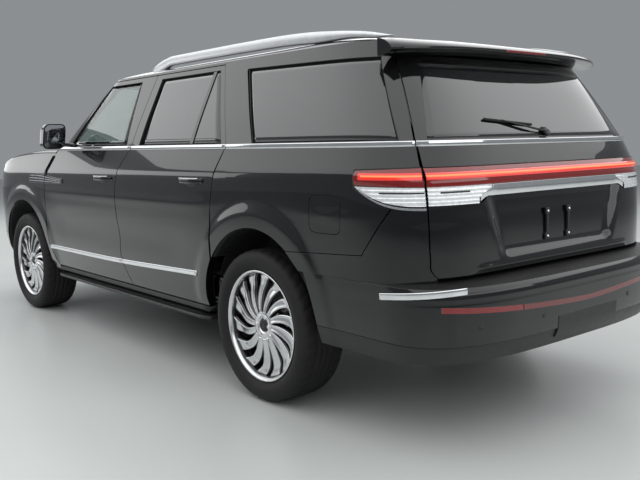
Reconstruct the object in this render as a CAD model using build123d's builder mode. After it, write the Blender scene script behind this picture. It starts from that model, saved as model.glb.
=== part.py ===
from build123d import *
import os
from math import cos, pi, radians, sin

# Full-size sport utility vehicle in millimetres.
# X is lateral (+X is the vehicle's left), the front faces -Y, +Z is up.
# The origin is on the ground, on the centre line, midway along the length.

# ---- overall sizes
WHEELBASE = 3343
FRONT_OVERHANG = 965
REAR_OVERHANG = 1328
HALF_WIDTH = 1008
BELT_Z = 1350
CABIN_TOP_Z = 1825
ROOF_CROWN = 75

# ---- body walls, gaps and openings
DOOR_SKIN = 26
DOOR_THICKNESS = 88
FRAME_SKIN = 16
FRAME_THICKNESS = 50
PILLAR_DEPTH = 46
BODY_WALL = 88
FENDER_WALL = 22
PANEL_GAP = 5
SEAT_GAP = 0.3
HINGE_EASE = 1.5
SCREEN_SILL = 7
DOOR_RABBET = 20
DOOR_BOTTOM_Z = 436
DOOR_TOP_Z = 1806
WINDOW_TOP_Z = 1780
WINDOW_SILL = 12
GLASS = 6
GLASS_SETBACK = 7

# ---- how round the plan outline is: depth of each rounded end and its superellipse power
NOSE_DEPTH = 820
NOSE_POWER = 4
TAIL_DEPTH = 900
TAIL_POWER = 6
SCREEN_POWER = 3

# ---- wheels, brakes and steering
TYRE_RADIUS = 407
TYRE_WIDTH = 285
RIM_RADIUS = 297
RIM_WIDTH = 244
TRACK_FRONT = 1725
TRACK_REAR = 1717
ARCH_RADIUS = 500
ARCH_Z = 430
LINER_WALL = 8
HUB_RADIUS = 80
SPINDLE_RADIUS = 30
RUNNING_CLEARANCE = 0.1
DISC_RADIUS = 178
SPOKE_COUNT = 14
KINGPIN_INSET = 82
KINGPIN_RADIUS = 25
BEAD_RADIUS = RIM_RADIUS - 12
HUB_FACE = 44
DISC_INNER = -32
DISC_THICKNESS = 26
SPOKE_BACK = 66
SPOKE_THICKNESS = 32
ARM_LIFT = 150
ARM_THICKNESS = 36
POST_GAP = 0.5
CALIPER_GAP = 5
SEAT_X = 405

# ---- underbody
ROCKER_BOTTOM_Z = 400
RAIL_X = 450
RAIL_WIDTH = 70
RAIL_BOTTOM_Z = 440
RAIL_TOP_Z = 570
FLOOR_Z = 605
FLOOR_THICKNESS = 25
FLOOR_X = HALF_WIDTH - 160
CARGO_FLOOR_Z = 785

# ---- places worked out from the sizes above
LENGTH = FRONT_OVERHANG + WHEELBASE + REAR_OVERHANG
NOSE_Y = -LENGTH / 2
TAIL_Y = LENGTH / 2
FRONT_AXLE = NOSE_Y + FRONT_OVERHANG
REAR_AXLE = FRONT_AXLE + WHEELBASE
FRONT_CUT = FRONT_AXLE + 487
CENTRE_CUT = FRONT_AXLE + 1752
REAR_CUT = REAR_AXLE - 400
HINGE_Y = TAIL_Y - 580
SPOILER_Z = CABIN_TOP_Z - 80
OUTSIDE = HALF_WIDTH + 300

# Each body level: height, tuck-in of the side, setback of the nose, setback of the tail.
BODY_LEVELS = [
    (BELT_Z - 1060, 90, 130, 190),
    (BELT_Z - 950, 53, 60, 178),
    (BELT_Z - 790, 18, 10, 168),
    (BELT_Z - 550, 2, 0, 163),
    (BELT_Z - 340, 0, 20, 168),
    (BELT_Z - 190, 8, 60, 178),
    (BELT_Z - 80, 28, 110, 213),
    (BELT_Z, 51, 150, 243),
]
# Each cabin level: height, tuck-in, front of the screen behind the front axle, setback of the
# tail, depth of the rounded front corner.
CABIN_LEVELS = [
    (BELT_Z, 55, 418, 247, 560),
    (BELT_Z + 150, 101, 660, 338, 480),
    (BELT_Z + 300, 154, 915, 432, 400),
    (CABIN_TOP_Z, 218, 1225, 556, 320),
]


def quarter_round(centre_y, width, depth, power, facing):
    """Points of a quarter superellipse, from the side (widest) to the centre line."""
    points = []
    for step in range(11):
        turn = pi / 2 * step / 10
        radius = (abs(cos(turn)) ** power + abs(sin(turn)) ** power) ** (-1 / power)
        points.append((width * radius * cos(turn), centre_y + facing * depth * radius * sin(turn)))
    return points[:-1] + [(0, centre_y + facing * depth)]


def plan_points(half_width, nose, tail, nose_depth, tail_depth, nose_power, tail_power):
    """Half of a plan outline: rounded nose, straight side, rounded tail."""
    front = quarter_round(nose + nose_depth, half_width, nose_depth, nose_power, -1)
    back = quarter_round(tail - tail_depth, half_width, tail_depth, tail_power, 1)
    side_start = nose + nose_depth
    side_length = tail - tail_depth - side_start
    side = [(half_width, side_start + side_length * step / 5) for step in range(1, 5)]
    return front[::-1] + side + back


def half_solid(sections):
    """Left half of a closed body lofted through plan outlines, given as (height, points)."""
    with BuildPart() as body:
        for height, points in sections:
            with BuildSketch(Plane.XY.offset(height)):
                with BuildLine():
                    curve = Spline(points, tangents=[(1, 0), (-1, 0)])
                    Line(curve @ 1, curve @ 0)
                make_face()
        loft()
    return body.part


def body_half(inset):
    """Left half of the lower body, shrunk by inset."""
    return half_solid([
        (z, plan_points(HALF_WIDTH - tuck - inset, NOSE_Y + nose + inset, TAIL_Y - tail - inset,
                        NOSE_DEPTH, TAIL_DEPTH, NOSE_POWER, TAIL_POWER))
        for z, tuck, nose, tail in BODY_LEVELS])


def cabin_half(inset):
    """Left half of the glasshouse, shrunk by inset."""
    return half_solid([
        (z, plan_points(HALF_WIDTH - tuck - inset, FRONT_AXLE + screen + inset,
                        TAIL_Y - tail - inset, corner, TAIL_DEPTH, SCREEN_POWER, TAIL_POWER))
        for z, tuck, screen, tail, corner in CABIN_LEVELS])


def side_prism(points, inner=0, outer=OUTSIDE):
    """A block with a side-view outline (y, z), from x = inner to x = outer."""
    with BuildPart() as block:
        with BuildSketch(Plane.YZ.offset(inner)):
            with BuildLine():
                Polyline(*points, close=True)
            make_face()
        extrude(amount=outer - inner)
    return block.part


def rear_prism(points, front, back):
    """A block with a rear-view outline (x, z), from y = front to y = back."""
    with BuildPart() as block:
        with BuildSketch(Plane.XZ.offset(-front)):
            with BuildLine():
                Polyline(*points, close=True)
            make_face()
        extrude(amount=-(back - front))
    return block.part


def axle_cylinder(y, z, radius, inner, outer):
    """A cylinder along X."""
    with BuildPart() as drum:
        with BuildSketch(Plane.YZ.offset(inner)):
            with Locations((y, z)):
                Circle(radius)
        extrude(amount=outer - inner)
    return drum.part


def block(x, y, z):
    """A box from (low, high) pairs."""
    size = [b - a for a, b in (x, y, z)]
    middle = [(a + b) / 2 for a, b in (x, y, z)]
    return Pos(*middle) * Box(*size, mode=Mode.PRIVATE)


def mirrored(part):
    return mirror(part, about=Plane.YZ)


def both(part):
    """A piece and its mirror image, as one node of two solids."""
    return Compound(children=[*part.solids(), *mirrored(part).solids()])


def whole(part):
    """A left half joined to its mirror image."""
    return part + mirrored(part)


def save(name, part):
    part.label = name
    export_step(part, f"parts/{name}.step")


os.makedirs("parts", exist_ok=True)

# ---- nested shells of the body, from the outside in
BODY = {inset: body_half(inset) for inset in
        (0, DOOR_SKIN, DOOR_THICKNESS, DOOR_THICKNESS + PILLAR_DEPTH + PANEL_GAP,
         DOOR_THICKNESS + PANEL_GAP, FENDER_WALL, FENDER_WALL + SEAT_GAP, BODY_WALL + SEAT_GAP)}
CABIN = {inset: cabin_half(inset) for inset in
         (0, FRAME_SKIN, FRAME_THICKNESS, FRAME_THICKNESS + PANEL_GAP,
          FRAME_THICKNESS + PANEL_GAP + PILLAR_DEPTH, GLASS_SETBACK, GLASS_SETBACK + GLASS)}
door_skin = BODY[0] - BODY[DOOR_SKIN]
door_core = BODY[DOOR_SKIN] - BODY[DOOR_THICKNESS]
frame_skin = CABIN[0] - CABIN[FRAME_SKIN]
frame_core = CABIN[FRAME_SKIN] - CABIN[FRAME_THICKNESS]
glass_shell = CABIN[GLASS_SETBACK] - CABIN[GLASS_SETBACK + GLASS]
body_wall = BODY[0] - BODY[DOOR_THICKNESS]
cabin_wall = CABIN[0] - CABIN[FRAME_THICKNESS]


# ---- side-view outlines. gap pulls every edge in, or pushes it out when negative.
def front_door_outline(gap):
    y = FRONT_CUT + gap
    back = CENTRE_CUT - gap
    return [
        (y + 132, DOOR_BOTTOM_Z + gap), (y + 33, BELT_Z - 736), (y + 5, BELT_Z - 525),
        (y, BELT_Z - 347), (y + 14, BELT_Z - 260), (y + 40, BELT_Z - 200), (y + 108, BELT_Z - 110),
        (y + 194, BELT_Z - 32), (y + 866, DOOR_TOP_Z - gap),
        (back + 286, DOOR_TOP_Z - gap), (back + 163, BELT_Z - 7), (back + 88, BELT_Z - 93),
        (back + 32, BELT_Z - 175), (back + 6, BELT_Z - 260), (back, BELT_Z - 367),
        (back + 12, BELT_Z - 480), (back + 31, BELT_Z - 572), (back + 28, BELT_Z - 724),
        (back + 130, DOOR_BOTTOM_Z + gap)]


def rear_door_outline(gap):
    y = CENTRE_CUT + gap + HINGE_EASE
    back = REAR_CUT - gap
    return [
        (y + 130, DOOR_BOTTOM_Z + gap), (y + 28, BELT_Z - 724), (y + 31, BELT_Z - 572),
        (y + 12, BELT_Z - 480), (y, BELT_Z - 367), (y + 6, BELT_Z - 260), (y + 32, BELT_Z - 175),
        (y + 88, BELT_Z - 93), (y + 163, BELT_Z - 7), (y + 286, DOOR_TOP_Z - gap),
        (back - 115, DOOR_TOP_Z - gap), (back + 111, BELT_Z - 19), (back + 77, BELT_Z - 63),
        (back + 27, BELT_Z - 196), (back, BELT_Z - 340), (back, DOOR_BOTTOM_Z + gap)]


def front_window_outline(gap):
    y = FRONT_CUT + 431 + gap
    back = CENTRE_CUT + 98 - gap
    return [(y, BELT_Z + WINDOW_SILL + gap), (y + 440, WINDOW_TOP_Z - gap),
            (back - 6, WINDOW_TOP_Z - gap), (back, BELT_Z + WINDOW_SILL + gap)]


def rear_window_outline(gap):
    y = CENTRE_CUT + 268 + gap
    back = REAR_CUT + 50 - gap
    return [(y, BELT_Z + WINDOW_SILL + gap), (y + 92, WINDOW_TOP_Z - gap),
            (back - 195, WINDOW_TOP_Z - gap), (back, BELT_Z + WINDOW_SILL + gap)]


def quarter_window_outline(gap):
    y = REAR_CUT + 340 + gap
    back = TAIL_Y - 372 - gap
    return [(y, BELT_Z + WINDOW_SILL + gap), (y - 205, WINDOW_TOP_Z - 14 - gap),
            (back - 165, WINDOW_TOP_Z - 42 - gap), (back, BELT_Z + WINDOW_SILL + gap)]


def liftgate_outline(gap):
    """Half of the liftgate, in rear view, up to the spoiler."""
    x = HALF_WIDTH - 146 - gap
    return [(0, 775 + gap), (x - 60, 775 + gap), (x - 6, 860 + gap), (x, BELT_Z - 170),
            (x - 22, BELT_Z), (x - 150, SPOILER_Z), (0, SPOILER_Z)]


def gate_prism(gap):
    return rear_prism(liftgate_outline(gap), REAR_AXLE, TAIL_Y + 100)


REAR_WINDOW = [(0, BELT_Z + 18), (HALF_WIDTH - 222, BELT_Z + 18), (HALF_WIDTH - 370, SPOILER_Z - 40),
               (0, SPOILER_Z - 40)]


def screen_outline(gap):
    """Half of the windscreen opening, in front view."""
    return [(0, BELT_Z - 1 + gap), (HALF_WIDTH - 170 - gap, BELT_Z - 1 + gap),
            (HALF_WIDTH - 300 - gap, CABIN_TOP_Z - 17 - gap), (0, CABIN_TOP_Z - 17 - gap)]


def rear_arch(radius):
    return axle_cylinder(REAR_AXLE, ARCH_Z, radius, 0, OUTSIDE)


def front_arch(radius):
    return axle_cylinder(FRONT_AXLE, ARCH_Z, radius, 0, OUTSIDE)


# ---- side doors: a skin over a narrower core, with the window frame above the belt
def door(outline, window):
    skin_block = side_prism(outline(PANEL_GAP / 2), HALF_WIDTH / 2)
    core_block = side_prism(outline(DOOR_RABBET), HALF_WIDTH / 2)
    opening = side_prism(window(0), HALF_WIDTH / 2)
    with BuildPart() as panel:
        add(door_skin & skin_block)
        add(door_core & core_block)
        add(frame_skin & skin_block)
        add(frame_core & core_block)
        add(opening, mode=Mode.SUBTRACT)
    return panel.part


front_door = door(front_door_outline, front_window_outline)
rear_door = door(rear_door_outline, rear_window_outline) - rear_arch(ARCH_RADIUS + PANEL_GAP)
front_window = glass_shell & side_prism(front_window_outline(SEAT_GAP), HALF_WIDTH / 2)
rear_window = glass_shell & side_prism(rear_window_outline(SEAT_GAP), HALF_WIDTH / 2)

# ---- fuel filler door in the left quarter panel
FUEL_Y = REAR_AXLE + 580
FUEL_Z = BELT_Z - 318
FUEL_LENGTH = 220
FUEL_HEIGHT = 175
FUEL_RECESS = 60


def fuel_prism(gap):
    with BuildPart() as plug:
        with BuildSketch(Plane.YZ.offset(HALF_WIDTH - FUEL_RECESS)):
            with Locations((FUEL_Y, FUEL_Z)):
                RectangleRounded(FUEL_LENGTH + 2 * gap, FUEL_HEIGHT + 2 * gap, 30 + gap)
        extrude(amount=FUEL_RECESS + 100)
    return plug.part


fuel_door = (BODY[0] - BODY[DOOR_SKIN]) & fuel_prism(0)

# ---- tail lamp on the corner of the quarter panel
def corner_lamp_outline(gap):
    y = TAIL_Y - 560 + gap
    return [(y, BELT_Z - 182), (y + 14, BELT_Z - 117 - gap), (TAIL_Y, BELT_Z - 95 - gap),
            (TAIL_Y, BELT_Z - 262 + gap), (y + 120, BELT_Z - 240 + gap)]


def bumper_corner_outline(gap):
    y = REAR_AXLE + 330 + gap
    return [(y, 300), (y, BELT_Z - 513 - gap), (REAR_AXLE + 816, BELT_Z - 483 - gap),
            (REAR_AXLE + 971, BELT_Z - 264 - gap), (TAIL_Y, BELT_Z - 264 - gap), (TAIL_Y, 300)]


corner_lamp = door_skin & side_prism(corner_lamp_outline(SEAT_GAP), HALF_WIDTH / 2)
corner_lamp -= gate_prism(-PANEL_GAP)

# ---- body side: hinge pillar, sill, middle pillar, quarter panel and the cabin frame
PILLAR_IN = DOOR_THICKNESS + PANEL_GAP
HINGE_PILLAR_TOP = BELT_Z - 50
QUARTER_POST = 14
quarter_block = side_prism([(REAR_CUT - 10, BELT_Z - 660), (REAR_CUT - 10, BELT_Z),
                            (TAIL_Y, BELT_Z), (TAIL_Y, BELT_Z - 660)])
side_openings = [
    side_prism(front_door_outline(-PANEL_GAP / 2)),
    side_prism(rear_door_outline(-PANEL_GAP / 2)),
    side_prism(quarter_window_outline(0), HALF_WIDTH / 2) - gate_prism(-QUARTER_POST),
    rear_arch(ARCH_RADIUS),
    gate_prism(-PANEL_GAP / 2 - HINGE_EASE),
    block((0, OUTSIDE), (HINGE_Y - PANEL_GAP, TAIL_Y), (SPOILER_Z - PANEL_GAP, 2000)),
    side_prism(bumper_corner_outline(-SEAT_GAP)),
    rear_prism(screen_outline(0), NOSE_Y, 0),
]
with BuildPart() as body_side:
    add(body_wall & quarter_block)
    add(cabin_wall)
    for opening in side_openings:
        add(opening, mode=Mode.SUBTRACT)
body_side = body_side.part
body_side -= side_prism(corner_lamp_outline(0)) & door_skin
body_side_left = body_side - fuel_prism(PANEL_GAP)
# a post in the recess carries the fuel door at its hinge edge
FUEL_POST = 16
fuel_post = block((HALF_WIDTH - FUEL_RECESS - 2, HALF_WIDTH),
                  (FUEL_Y - FUEL_LENGTH / 2 + 10, FUEL_Y - FUEL_LENGTH / 2 + 10 + FUEL_POST),
                  (FUEL_Z - FUEL_POST, FUEL_Z + FUEL_POST))
body_side_left += fuel_post & (Pos(-SEAT_GAP, 0, 0) * BODY[DOOR_SKIN])
pillar = (BODY[PILLAR_IN] - BODY[PILLAR_IN + PILLAR_DEPTH]) & side_prism(
    [(CENTRE_CUT - 20, FLOOR_Z), (CENTRE_CUT + 60, BELT_Z), (CENTRE_CUT + 170, BELT_Z),
     (CENTRE_CUT + 140, FLOOR_Z)])
pillar += (CABIN[FRAME_THICKNESS + PANEL_GAP]
           - CABIN[FRAME_THICKNESS + PANEL_GAP + PILLAR_DEPTH]) & side_prism(
    [(CENTRE_CUT + 60, BELT_Z), (CENTRE_CUT + 170, CABIN_TOP_Z), (CENTRE_CUT + 300, CABIN_TOP_Z),
     (CENTRE_CUT + 170, BELT_Z)])

pillar += (BODY[PILLAR_IN] - BODY[PILLAR_IN + PILLAR_DEPTH]) & side_prism(
    [(FRONT_CUT + 30, FLOOR_Z - 60), (FRONT_CUT + 30, HINGE_PILLAR_TOP),
     (FRONT_CUT + 190, HINGE_PILLAR_TOP), (FRONT_CUT + 160, FLOOR_Z - 60)])
rocker = BODY[PILLAR_IN] & block((FLOOR_X + SEAT_GAP, OUTSIDE), (FRONT_CUT + 30, REAR_CUT - 60),
                                 (ROCKER_BOTTOM_Z, FLOOR_Z))
side_left = body_side_left + pillar + rocker
side_right = mirrored(body_side + pillar + rocker)

# ---- liftgate with its window, lamp bar and spoiler
lower_gate = gate_prism(PANEL_GAP / 2)
core_gate = gate_prism(DOOR_RABBET)
gate_window = rear_prism(REAR_WINDOW, REAR_AXLE, TAIL_Y + 100)
lamp_band = rear_prism([(0, BELT_Z - 176), (HALF_WIDTH, BELT_Z - 176), (HALF_WIDTH, BELT_Z - 98),
                        (0, BELT_Z - 98)], REAR_AXLE, TAIL_Y + 100)
RECESS_DEPTH = 20
RECESS_TOP = BELT_Z - 312
plate_recess = BODY[0] - Pos(0, -RECESS_DEPTH, 0) * BODY[0]
plate_recess &= rear_prism([(0, BELT_Z - 555), (250, BELT_Z - 555), (285, BELT_Z - 500), (285, RECESS_TOP),
                            (0, RECESS_TOP)], REAR_AXLE + 600, TAIL_Y)
with BuildPart() as spoiler:
    with BuildSketch(Plane.YZ):
        with BuildLine():
            Polyline((HINGE_Y, CABIN_TOP_Z), (HINGE_Y + 120, CABIN_TOP_Z - 18),
                     (HINGE_Y + 205, CABIN_TOP_Z - 46), (HINGE_Y + 200, CABIN_TOP_Z - 62),
                     (HINGE_Y + 100, SPOILER_Z), (HINGE_Y, SPOILER_Z), close=True)
        make_face()
    extrude(amount=HALF_WIDTH - 190)
liftgate = door_skin & lower_gate
liftgate += door_core & core_gate
liftgate += frame_skin & lower_gate
liftgate += frame_core & core_gate
liftgate -= gate_window
lamp_shell = BODY[0] - BODY[DOOR_SKIN]
gate_lamp = lamp_shell & lower_gate & lamp_band
liftgate -= lamp_shell & lamp_band
liftgate -= plate_recess
liftgate += spoiler.part
liftgate = whole(liftgate)
gate_lamp = whole(gate_lamp)
gate_glass = whole(glass_shell & rear_prism(
    [(0, BELT_Z + 18 + SEAT_GAP), (HALF_WIDTH - 222.6, BELT_Z + 18 + SEAT_GAP),
     (HALF_WIDTH - 370.6, SPOILER_Z - 40 - SEAT_GAP), (0, SPOILER_Z - 40 - SEAT_GAP)],
    REAR_AXLE, TAIL_Y + 100))
save("liftgate", liftgate)
save("liftgate_lamp", gate_lamp)
save("liftgate_window", gate_glass)
save("body_side_left", side_left)
save("body_side_right", side_right)
for part, left, right in (("front_door", front_door, mirrored(front_door)),
                          ("rear_door", rear_door, mirrored(rear_door)),
                          ("front_door_window", front_window, mirrored(front_window)),
                          ("rear_door_window", rear_window, mirrored(rear_window))):
    save(f"{part}_left", left)
    save(f"{part}_right", right)
save("fuel_door", fuel_door)
save("tail_lamps", both(corner_lamp))

# ---- windscreen and quarter windows
windscreen_half = glass_shell & rear_prism(screen_outline(SEAT_GAP), NOSE_Y, 0)
windscreen_half &= block((0, OUTSIDE), (NOSE_Y, 0), (BELT_Z + SCREEN_SILL, CABIN_TOP_Z))
save("windscreen", whole(windscreen_half))
quarter_window = glass_shell & side_prism(quarter_window_outline(SEAT_GAP), HALF_WIDTH / 2)
quarter_window -= gate_prism(-QUARTER_POST - SEAT_GAP)
save("quarter_windows", both(quarter_window))

# ---- roof: a shallow dome on the cabin frame
ROOF_LEVELS = [(0, 0, 0, 0), (14, 30, 110, 70), (33, 95, 280, 180), (55, 240, 480, 320),
               (ROOF_CROWN, 460, 700, 500)]
HEADLINER_LEVELS = [(-1, 52, 52, 52), (6, 130, 240, 160), (20, 290, 420, 300), (33, 480, 640, 460)]


def roof_half(levels, lift):
    return half_solid([
        (CABIN_TOP_Z + rise + lift,
         plan_points(HALF_WIDTH - 218 - side, FRONT_AXLE + 1225 + front, TAIL_Y - 556 - back,
                     320, TAIL_DEPTH, SCREEN_POWER, TAIL_POWER))
        for rise, side, front, back in levels])


roof_dome = roof_half(ROOF_LEVELS, 0)
roof_front = block((0, OUTSIDE), (NOSE_Y, HINGE_Y - PANEL_GAP), (CABIN_TOP_Z, CABIN_TOP_Z + 200))
roof_panel = (roof_dome - roof_half(HEADLINER_LEVELS, 0)) & roof_front
save("roof_panel", whole(roof_panel))

# ---- roof rails, each foot shaped to the roof
RAIL_FRONT = FRONT_AXLE + 1823
RAIL_REAR = REAR_AXLE + 735
RAIL_TOP = CABIN_TOP_Z + 108
ROOF_RAIL_X = HALF_WIDTH - 308
ROOF_RAIL_WIDTH = 36
with BuildPart() as roof_rail:
    with BuildSketch(Plane.YZ.offset(ROOF_RAIL_X - ROOF_RAIL_WIDTH / 2)):
        with BuildLine():
            Polyline((RAIL_FRONT, CABIN_TOP_Z + 20), (RAIL_FRONT, CABIN_TOP_Z + 46),
                     (RAIL_FRONT + 180, RAIL_TOP), (RAIL_FRONT + 1000, RAIL_TOP),
                     (RAIL_REAR - 260, RAIL_TOP - 42), (RAIL_REAR, CABIN_TOP_Z + 22),
                     (RAIL_REAR, CABIN_TOP_Z + 10), (RAIL_REAR - 190, CABIN_TOP_Z + 10),
                     (RAIL_REAR - 290, CABIN_TOP_Z + 42), (RAIL_FRONT + 1000, CABIN_TOP_Z + 72),
                     (RAIL_FRONT + 230, CABIN_TOP_Z + 72), (RAIL_FRONT + 160, CABIN_TOP_Z + 20),
                     close=True)
        make_face()
    extrude(amount=ROOF_RAIL_WIDTH)
    add(roof_half(ROOF_LEVELS, SEAT_GAP), mode=Mode.SUBTRACT)
save("roof_rails", both(roof_rail.part))

# ---- front end: the bonnet surface falls forward and to each side
# Each bonnet station: distance behind the nose, height of the edge below the belt, crown.
BONNET_STATIONS = [(-60, 290, 40), (110, 205, 44), (280, 152, 46), (440, 100, 48), (760, 42, 50),
                   (1080, 17, 50), (1420, 5, 50), (1700, 5, 50)]
BONNET_THICKNESS = 40
BONNET_EDGE_X = HALF_WIDTH - 218


def bonnet_half(drop):
    """Everything under the bonnet surface, left half, lowered by drop."""
    with BuildPart() as under:
        for back, below, crown in BONNET_STATIONS:
            edge = BELT_Z - below - drop
            with BuildSketch(Plane.XZ.offset(-(NOSE_Y + back))):
                with BuildLine():
                    top = Spline((0, edge + crown), (HALF_WIDTH / 2, edge + crown * 0.69),
                                 (HALF_WIDTH, edge - crown * 0.24),
                                 (HALF_WIDTH + 80, edge - crown * 0.44), tangents=[(1, 0), (1, -0.12)])
                    Polyline(top @ 1, (HALF_WIDTH + 80, 200), (0, 200), top @ 0)
                make_face()
        loft()
    return under.part


bonnet_outer = bonnet_half(0)
bonnet_inner = bonnet_half(BONNET_THICKNESS)
under_bonnet = bonnet_half(BONNET_THICKNESS + PANEL_GAP)
BONNET_FRONT = NOSE_Y + 70
BONNET_REAR = FRONT_AXLE + 560
with BuildPart() as bonnet_plan:
    with BuildSketch(Plane.XY.offset(BELT_Z - 500)):
        with BuildLine():
            nose_arc = ThreePointArc((BONNET_EDGE_X, BONNET_FRONT + 130),
                                     (BONNET_EDGE_X / 2, BONNET_FRONT + 35), (0, BONNET_FRONT))
            cowl_arc = ThreePointArc((0, BONNET_REAR - 210),
                                     (BONNET_EDGE_X / 2, BONNET_REAR - 160), (BONNET_EDGE_X, BONNET_REAR))
            Line(nose_arc @ 1, cowl_arc @ 0)
            Line(cowl_arc @ 1, nose_arc @ 0)
        make_face()
    extrude(amount=700)
bonnet = (bonnet_outer - bonnet_inner) & bonnet_plan.part
save("bonnet", whole(bonnet))

FENDER_SEAM = FRONT_AXLE - 640
LAMP_BOTTOM = BELT_Z - 405
LAMP_TOP = BELT_Z - 272
GRILLE_X = HALF_WIDTH - 508
GRILLE_BOTTOM = BELT_Z - 728
GRILLE_TOP = BELT_Z - 232
door_front_edge = front_door_outline(-PANEL_GAP / 2 - HINGE_EASE)[:8]
fender_outline = [(NOSE_Y - 100, BELT_Z + 60), (NOSE_Y - 100, LAMP_TOP + 6),
                  (FENDER_SEAM, LAMP_TOP + 6), (FENDER_SEAM, LAMP_BOTTOM), (FRONT_AXLE - 460, 643),
                  (FRONT_AXLE - 300, 643), (FRONT_AXLE - 300, 396), (door_front_edge[0][0], 396),
                  *door_front_edge, (door_front_edge[-1][0], BELT_Z + 60)]
fender = (BODY[0] & bonnet_outer) - (BODY[FENDER_WALL] & bonnet_half(FENDER_WALL))
fender &= side_prism(fender_outline, BONNET_EDGE_X + PANEL_GAP)
fender -= front_arch(ARCH_RADIUS)
save("front_fenders", both(fender))

front_wall = (BODY[0] - BODY[DOOR_THICKNESS]) & under_bonnet
front_bumper = front_wall & side_prism([
    (NOSE_Y - 100, 250), (FRONT_AXLE - 300, 250), (FRONT_AXLE - 300, 642),
    (FRONT_AXLE - 461, 642), (FENDER_SEAM - SEAT_GAP, LAMP_BOTTOM),
    (FENDER_SEAM - SEAT_GAP, LAMP_TOP + 5), (NOSE_Y - 100, LAMP_TOP + 5)])
front_bumper += front_wall & block((0, BONNET_EDGE_X), (NOSE_Y - 100, FENDER_SEAM - 100),
                                   (LAMP_TOP, BELT_Z))
front_bumper -= front_arch(ARCH_RADIUS)
front_bumper -= block((0, GRILLE_X), (NOSE_Y - 100, FRONT_AXLE), (GRILLE_BOTTOM, GRILLE_TOP))
front_bumper -= block((GRILLE_X + 22, OUTSIDE), (NOSE_Y - 100, FRONT_AXLE), (LAMP_BOTTOM, LAMP_TOP))
save("front_bumper", whole(front_bumper))
headlamp = (BODY[0] - BODY[DOOR_THICKNESS]) & block(
    (GRILLE_X + 22 + SEAT_GAP, OUTSIDE), (NOSE_Y - 100, FENDER_SEAM - 2 * SEAT_GAP),
    (LAMP_BOTTOM + SEAT_GAP, LAMP_TOP - SEAT_GAP))
save("headlamps", both(headlamp))
grille = (BODY[FENDER_WALL] - BODY[DOOR_THICKNESS]) & block(
    (0, GRILLE_X - SEAT_GAP), (NOSE_Y - 100, FRONT_AXLE), (GRILLE_BOTTOM + SEAT_GAP, GRILLE_TOP - SEAT_GAP))
save("grille", whole(grille))

# ---- rear bumper: a deep bumper with a step, and body-coloured corners up to the lamps
BUMPER_TOP_Z = BELT_Z - 602
BUMPER_LEVELS = [(407, 45, 60), (480, 22, 12), (560, 12, 0), (700, 12, 0), (BUMPER_TOP_Z, 14, 8)]
BUMPER_WALL = 60


def rear_bumper_half(inset):
    return half_solid([
        (z, plan_points(HALF_WIDTH - tuck - inset, REAR_AXLE - 900, TAIL_Y - tail - inset,
                        300, 420, 4, 3.4))
        for z, tuck, tail in BUMPER_LEVELS])


bumper_outer = rear_bumper_half(0)
rear_bumper = bumper_outer - rear_bumper_half(BUMPER_WALL)
rear_bumper += bumper_outer & block((0, OUTSIDE), (TAIL_Y - 260, TAIL_Y), (BUMPER_TOP_Z - 32, BUMPER_TOP_Z))
rear_bumper &= block((0, OUTSIDE), (REAR_AXLE + 330, TAIL_Y), (300, BELT_Z))
corner = (BODY[0] - BODY[DOOR_THICKNESS]) & side_prism(bumper_corner_outline(SEAT_GAP), HALF_WIDTH / 2)
corner &= block((0, OUTSIDE), (REAR_AXLE, TAIL_Y), (BUMPER_TOP_Z - 20, BELT_Z))
corner -= gate_prism(-PANEL_GAP)
rear_bumper += corner
rear_bumper -= rear_arch(ARCH_RADIUS)
save("rear_bumper", whole(rear_bumper))

# ---- number plate brackets in the liftgate recess
PLATE_SPACING_X = 177.8
PLATE_SPACING_Z = 120.65
PLATE_Z = BELT_Z - 395
PLATE_SCREW_RADIUS = 3.2
BRACKET_WIDTH = 34
BRACKET_HEIGHT = 152
BRACKET_FACE = TAIL_Y - 172
with BuildPart() as plate_bracket:
    with BuildSketch(Plane.XZ.offset(-BRACKET_FACE)):
        with Locations((PLATE_SPACING_X / 2, PLATE_Z)):
            RectangleRounded(BRACKET_WIDTH, BRACKET_HEIGHT, 8)
        with Locations((PLATE_SPACING_X / 2, PLATE_Z - PLATE_SPACING_Z / 2),
                       (PLATE_SPACING_X / 2, PLATE_Z + PLATE_SPACING_Z / 2)):
            Circle(PLATE_SCREW_RADIUS, mode=Mode.SUBTRACT)
    extrude(amount=30)
    add(Pos(0, SEAT_GAP - RECESS_DEPTH, 0) * BODY[0], mode=Mode.SUBTRACT)
save("plate_brackets", both(plate_bracket.part))

# ---- door mirrors
with BuildPart() as mirror_left:
    with BuildSketch(Plane.XY.offset(BELT_Z)) as mirror_low:
        with Locations((HALF_WIDTH + 92, FRONT_AXLE + 960)):
            RectangleRounded(190, 110, 40)
    with BuildSketch(Plane.XY.offset(BELT_Z + 95)):
        with Locations((HALF_WIDTH + 90, FRONT_AXLE + 960)):
            RectangleRounded(186, 128, 45)
    with BuildSketch(Plane.XY.offset(BELT_Z + 190)):
        with Locations((HALF_WIDTH + 78, FRONT_AXLE + 968)):
            RectangleRounded(150, 96, 40)
    loft()
    with BuildSketch(Plane.YZ.offset(HALF_WIDTH - 60)):
        with Locations((FRONT_AXLE + 965, BELT_Z + 22)):
            RectangleRounded(90, 44, 12)
    extrude(amount=140)
    add(Pos(SEAT_GAP, 0, 0) * CABIN[0], mode=Mode.SUBTRACT)
    add(Pos(SEAT_GAP, 0, 0) * BODY[0], mode=Mode.SUBTRACT)
save("mirror_left", mirror_left.part)
save("mirror_right", mirrored(mirror_left.part))

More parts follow.
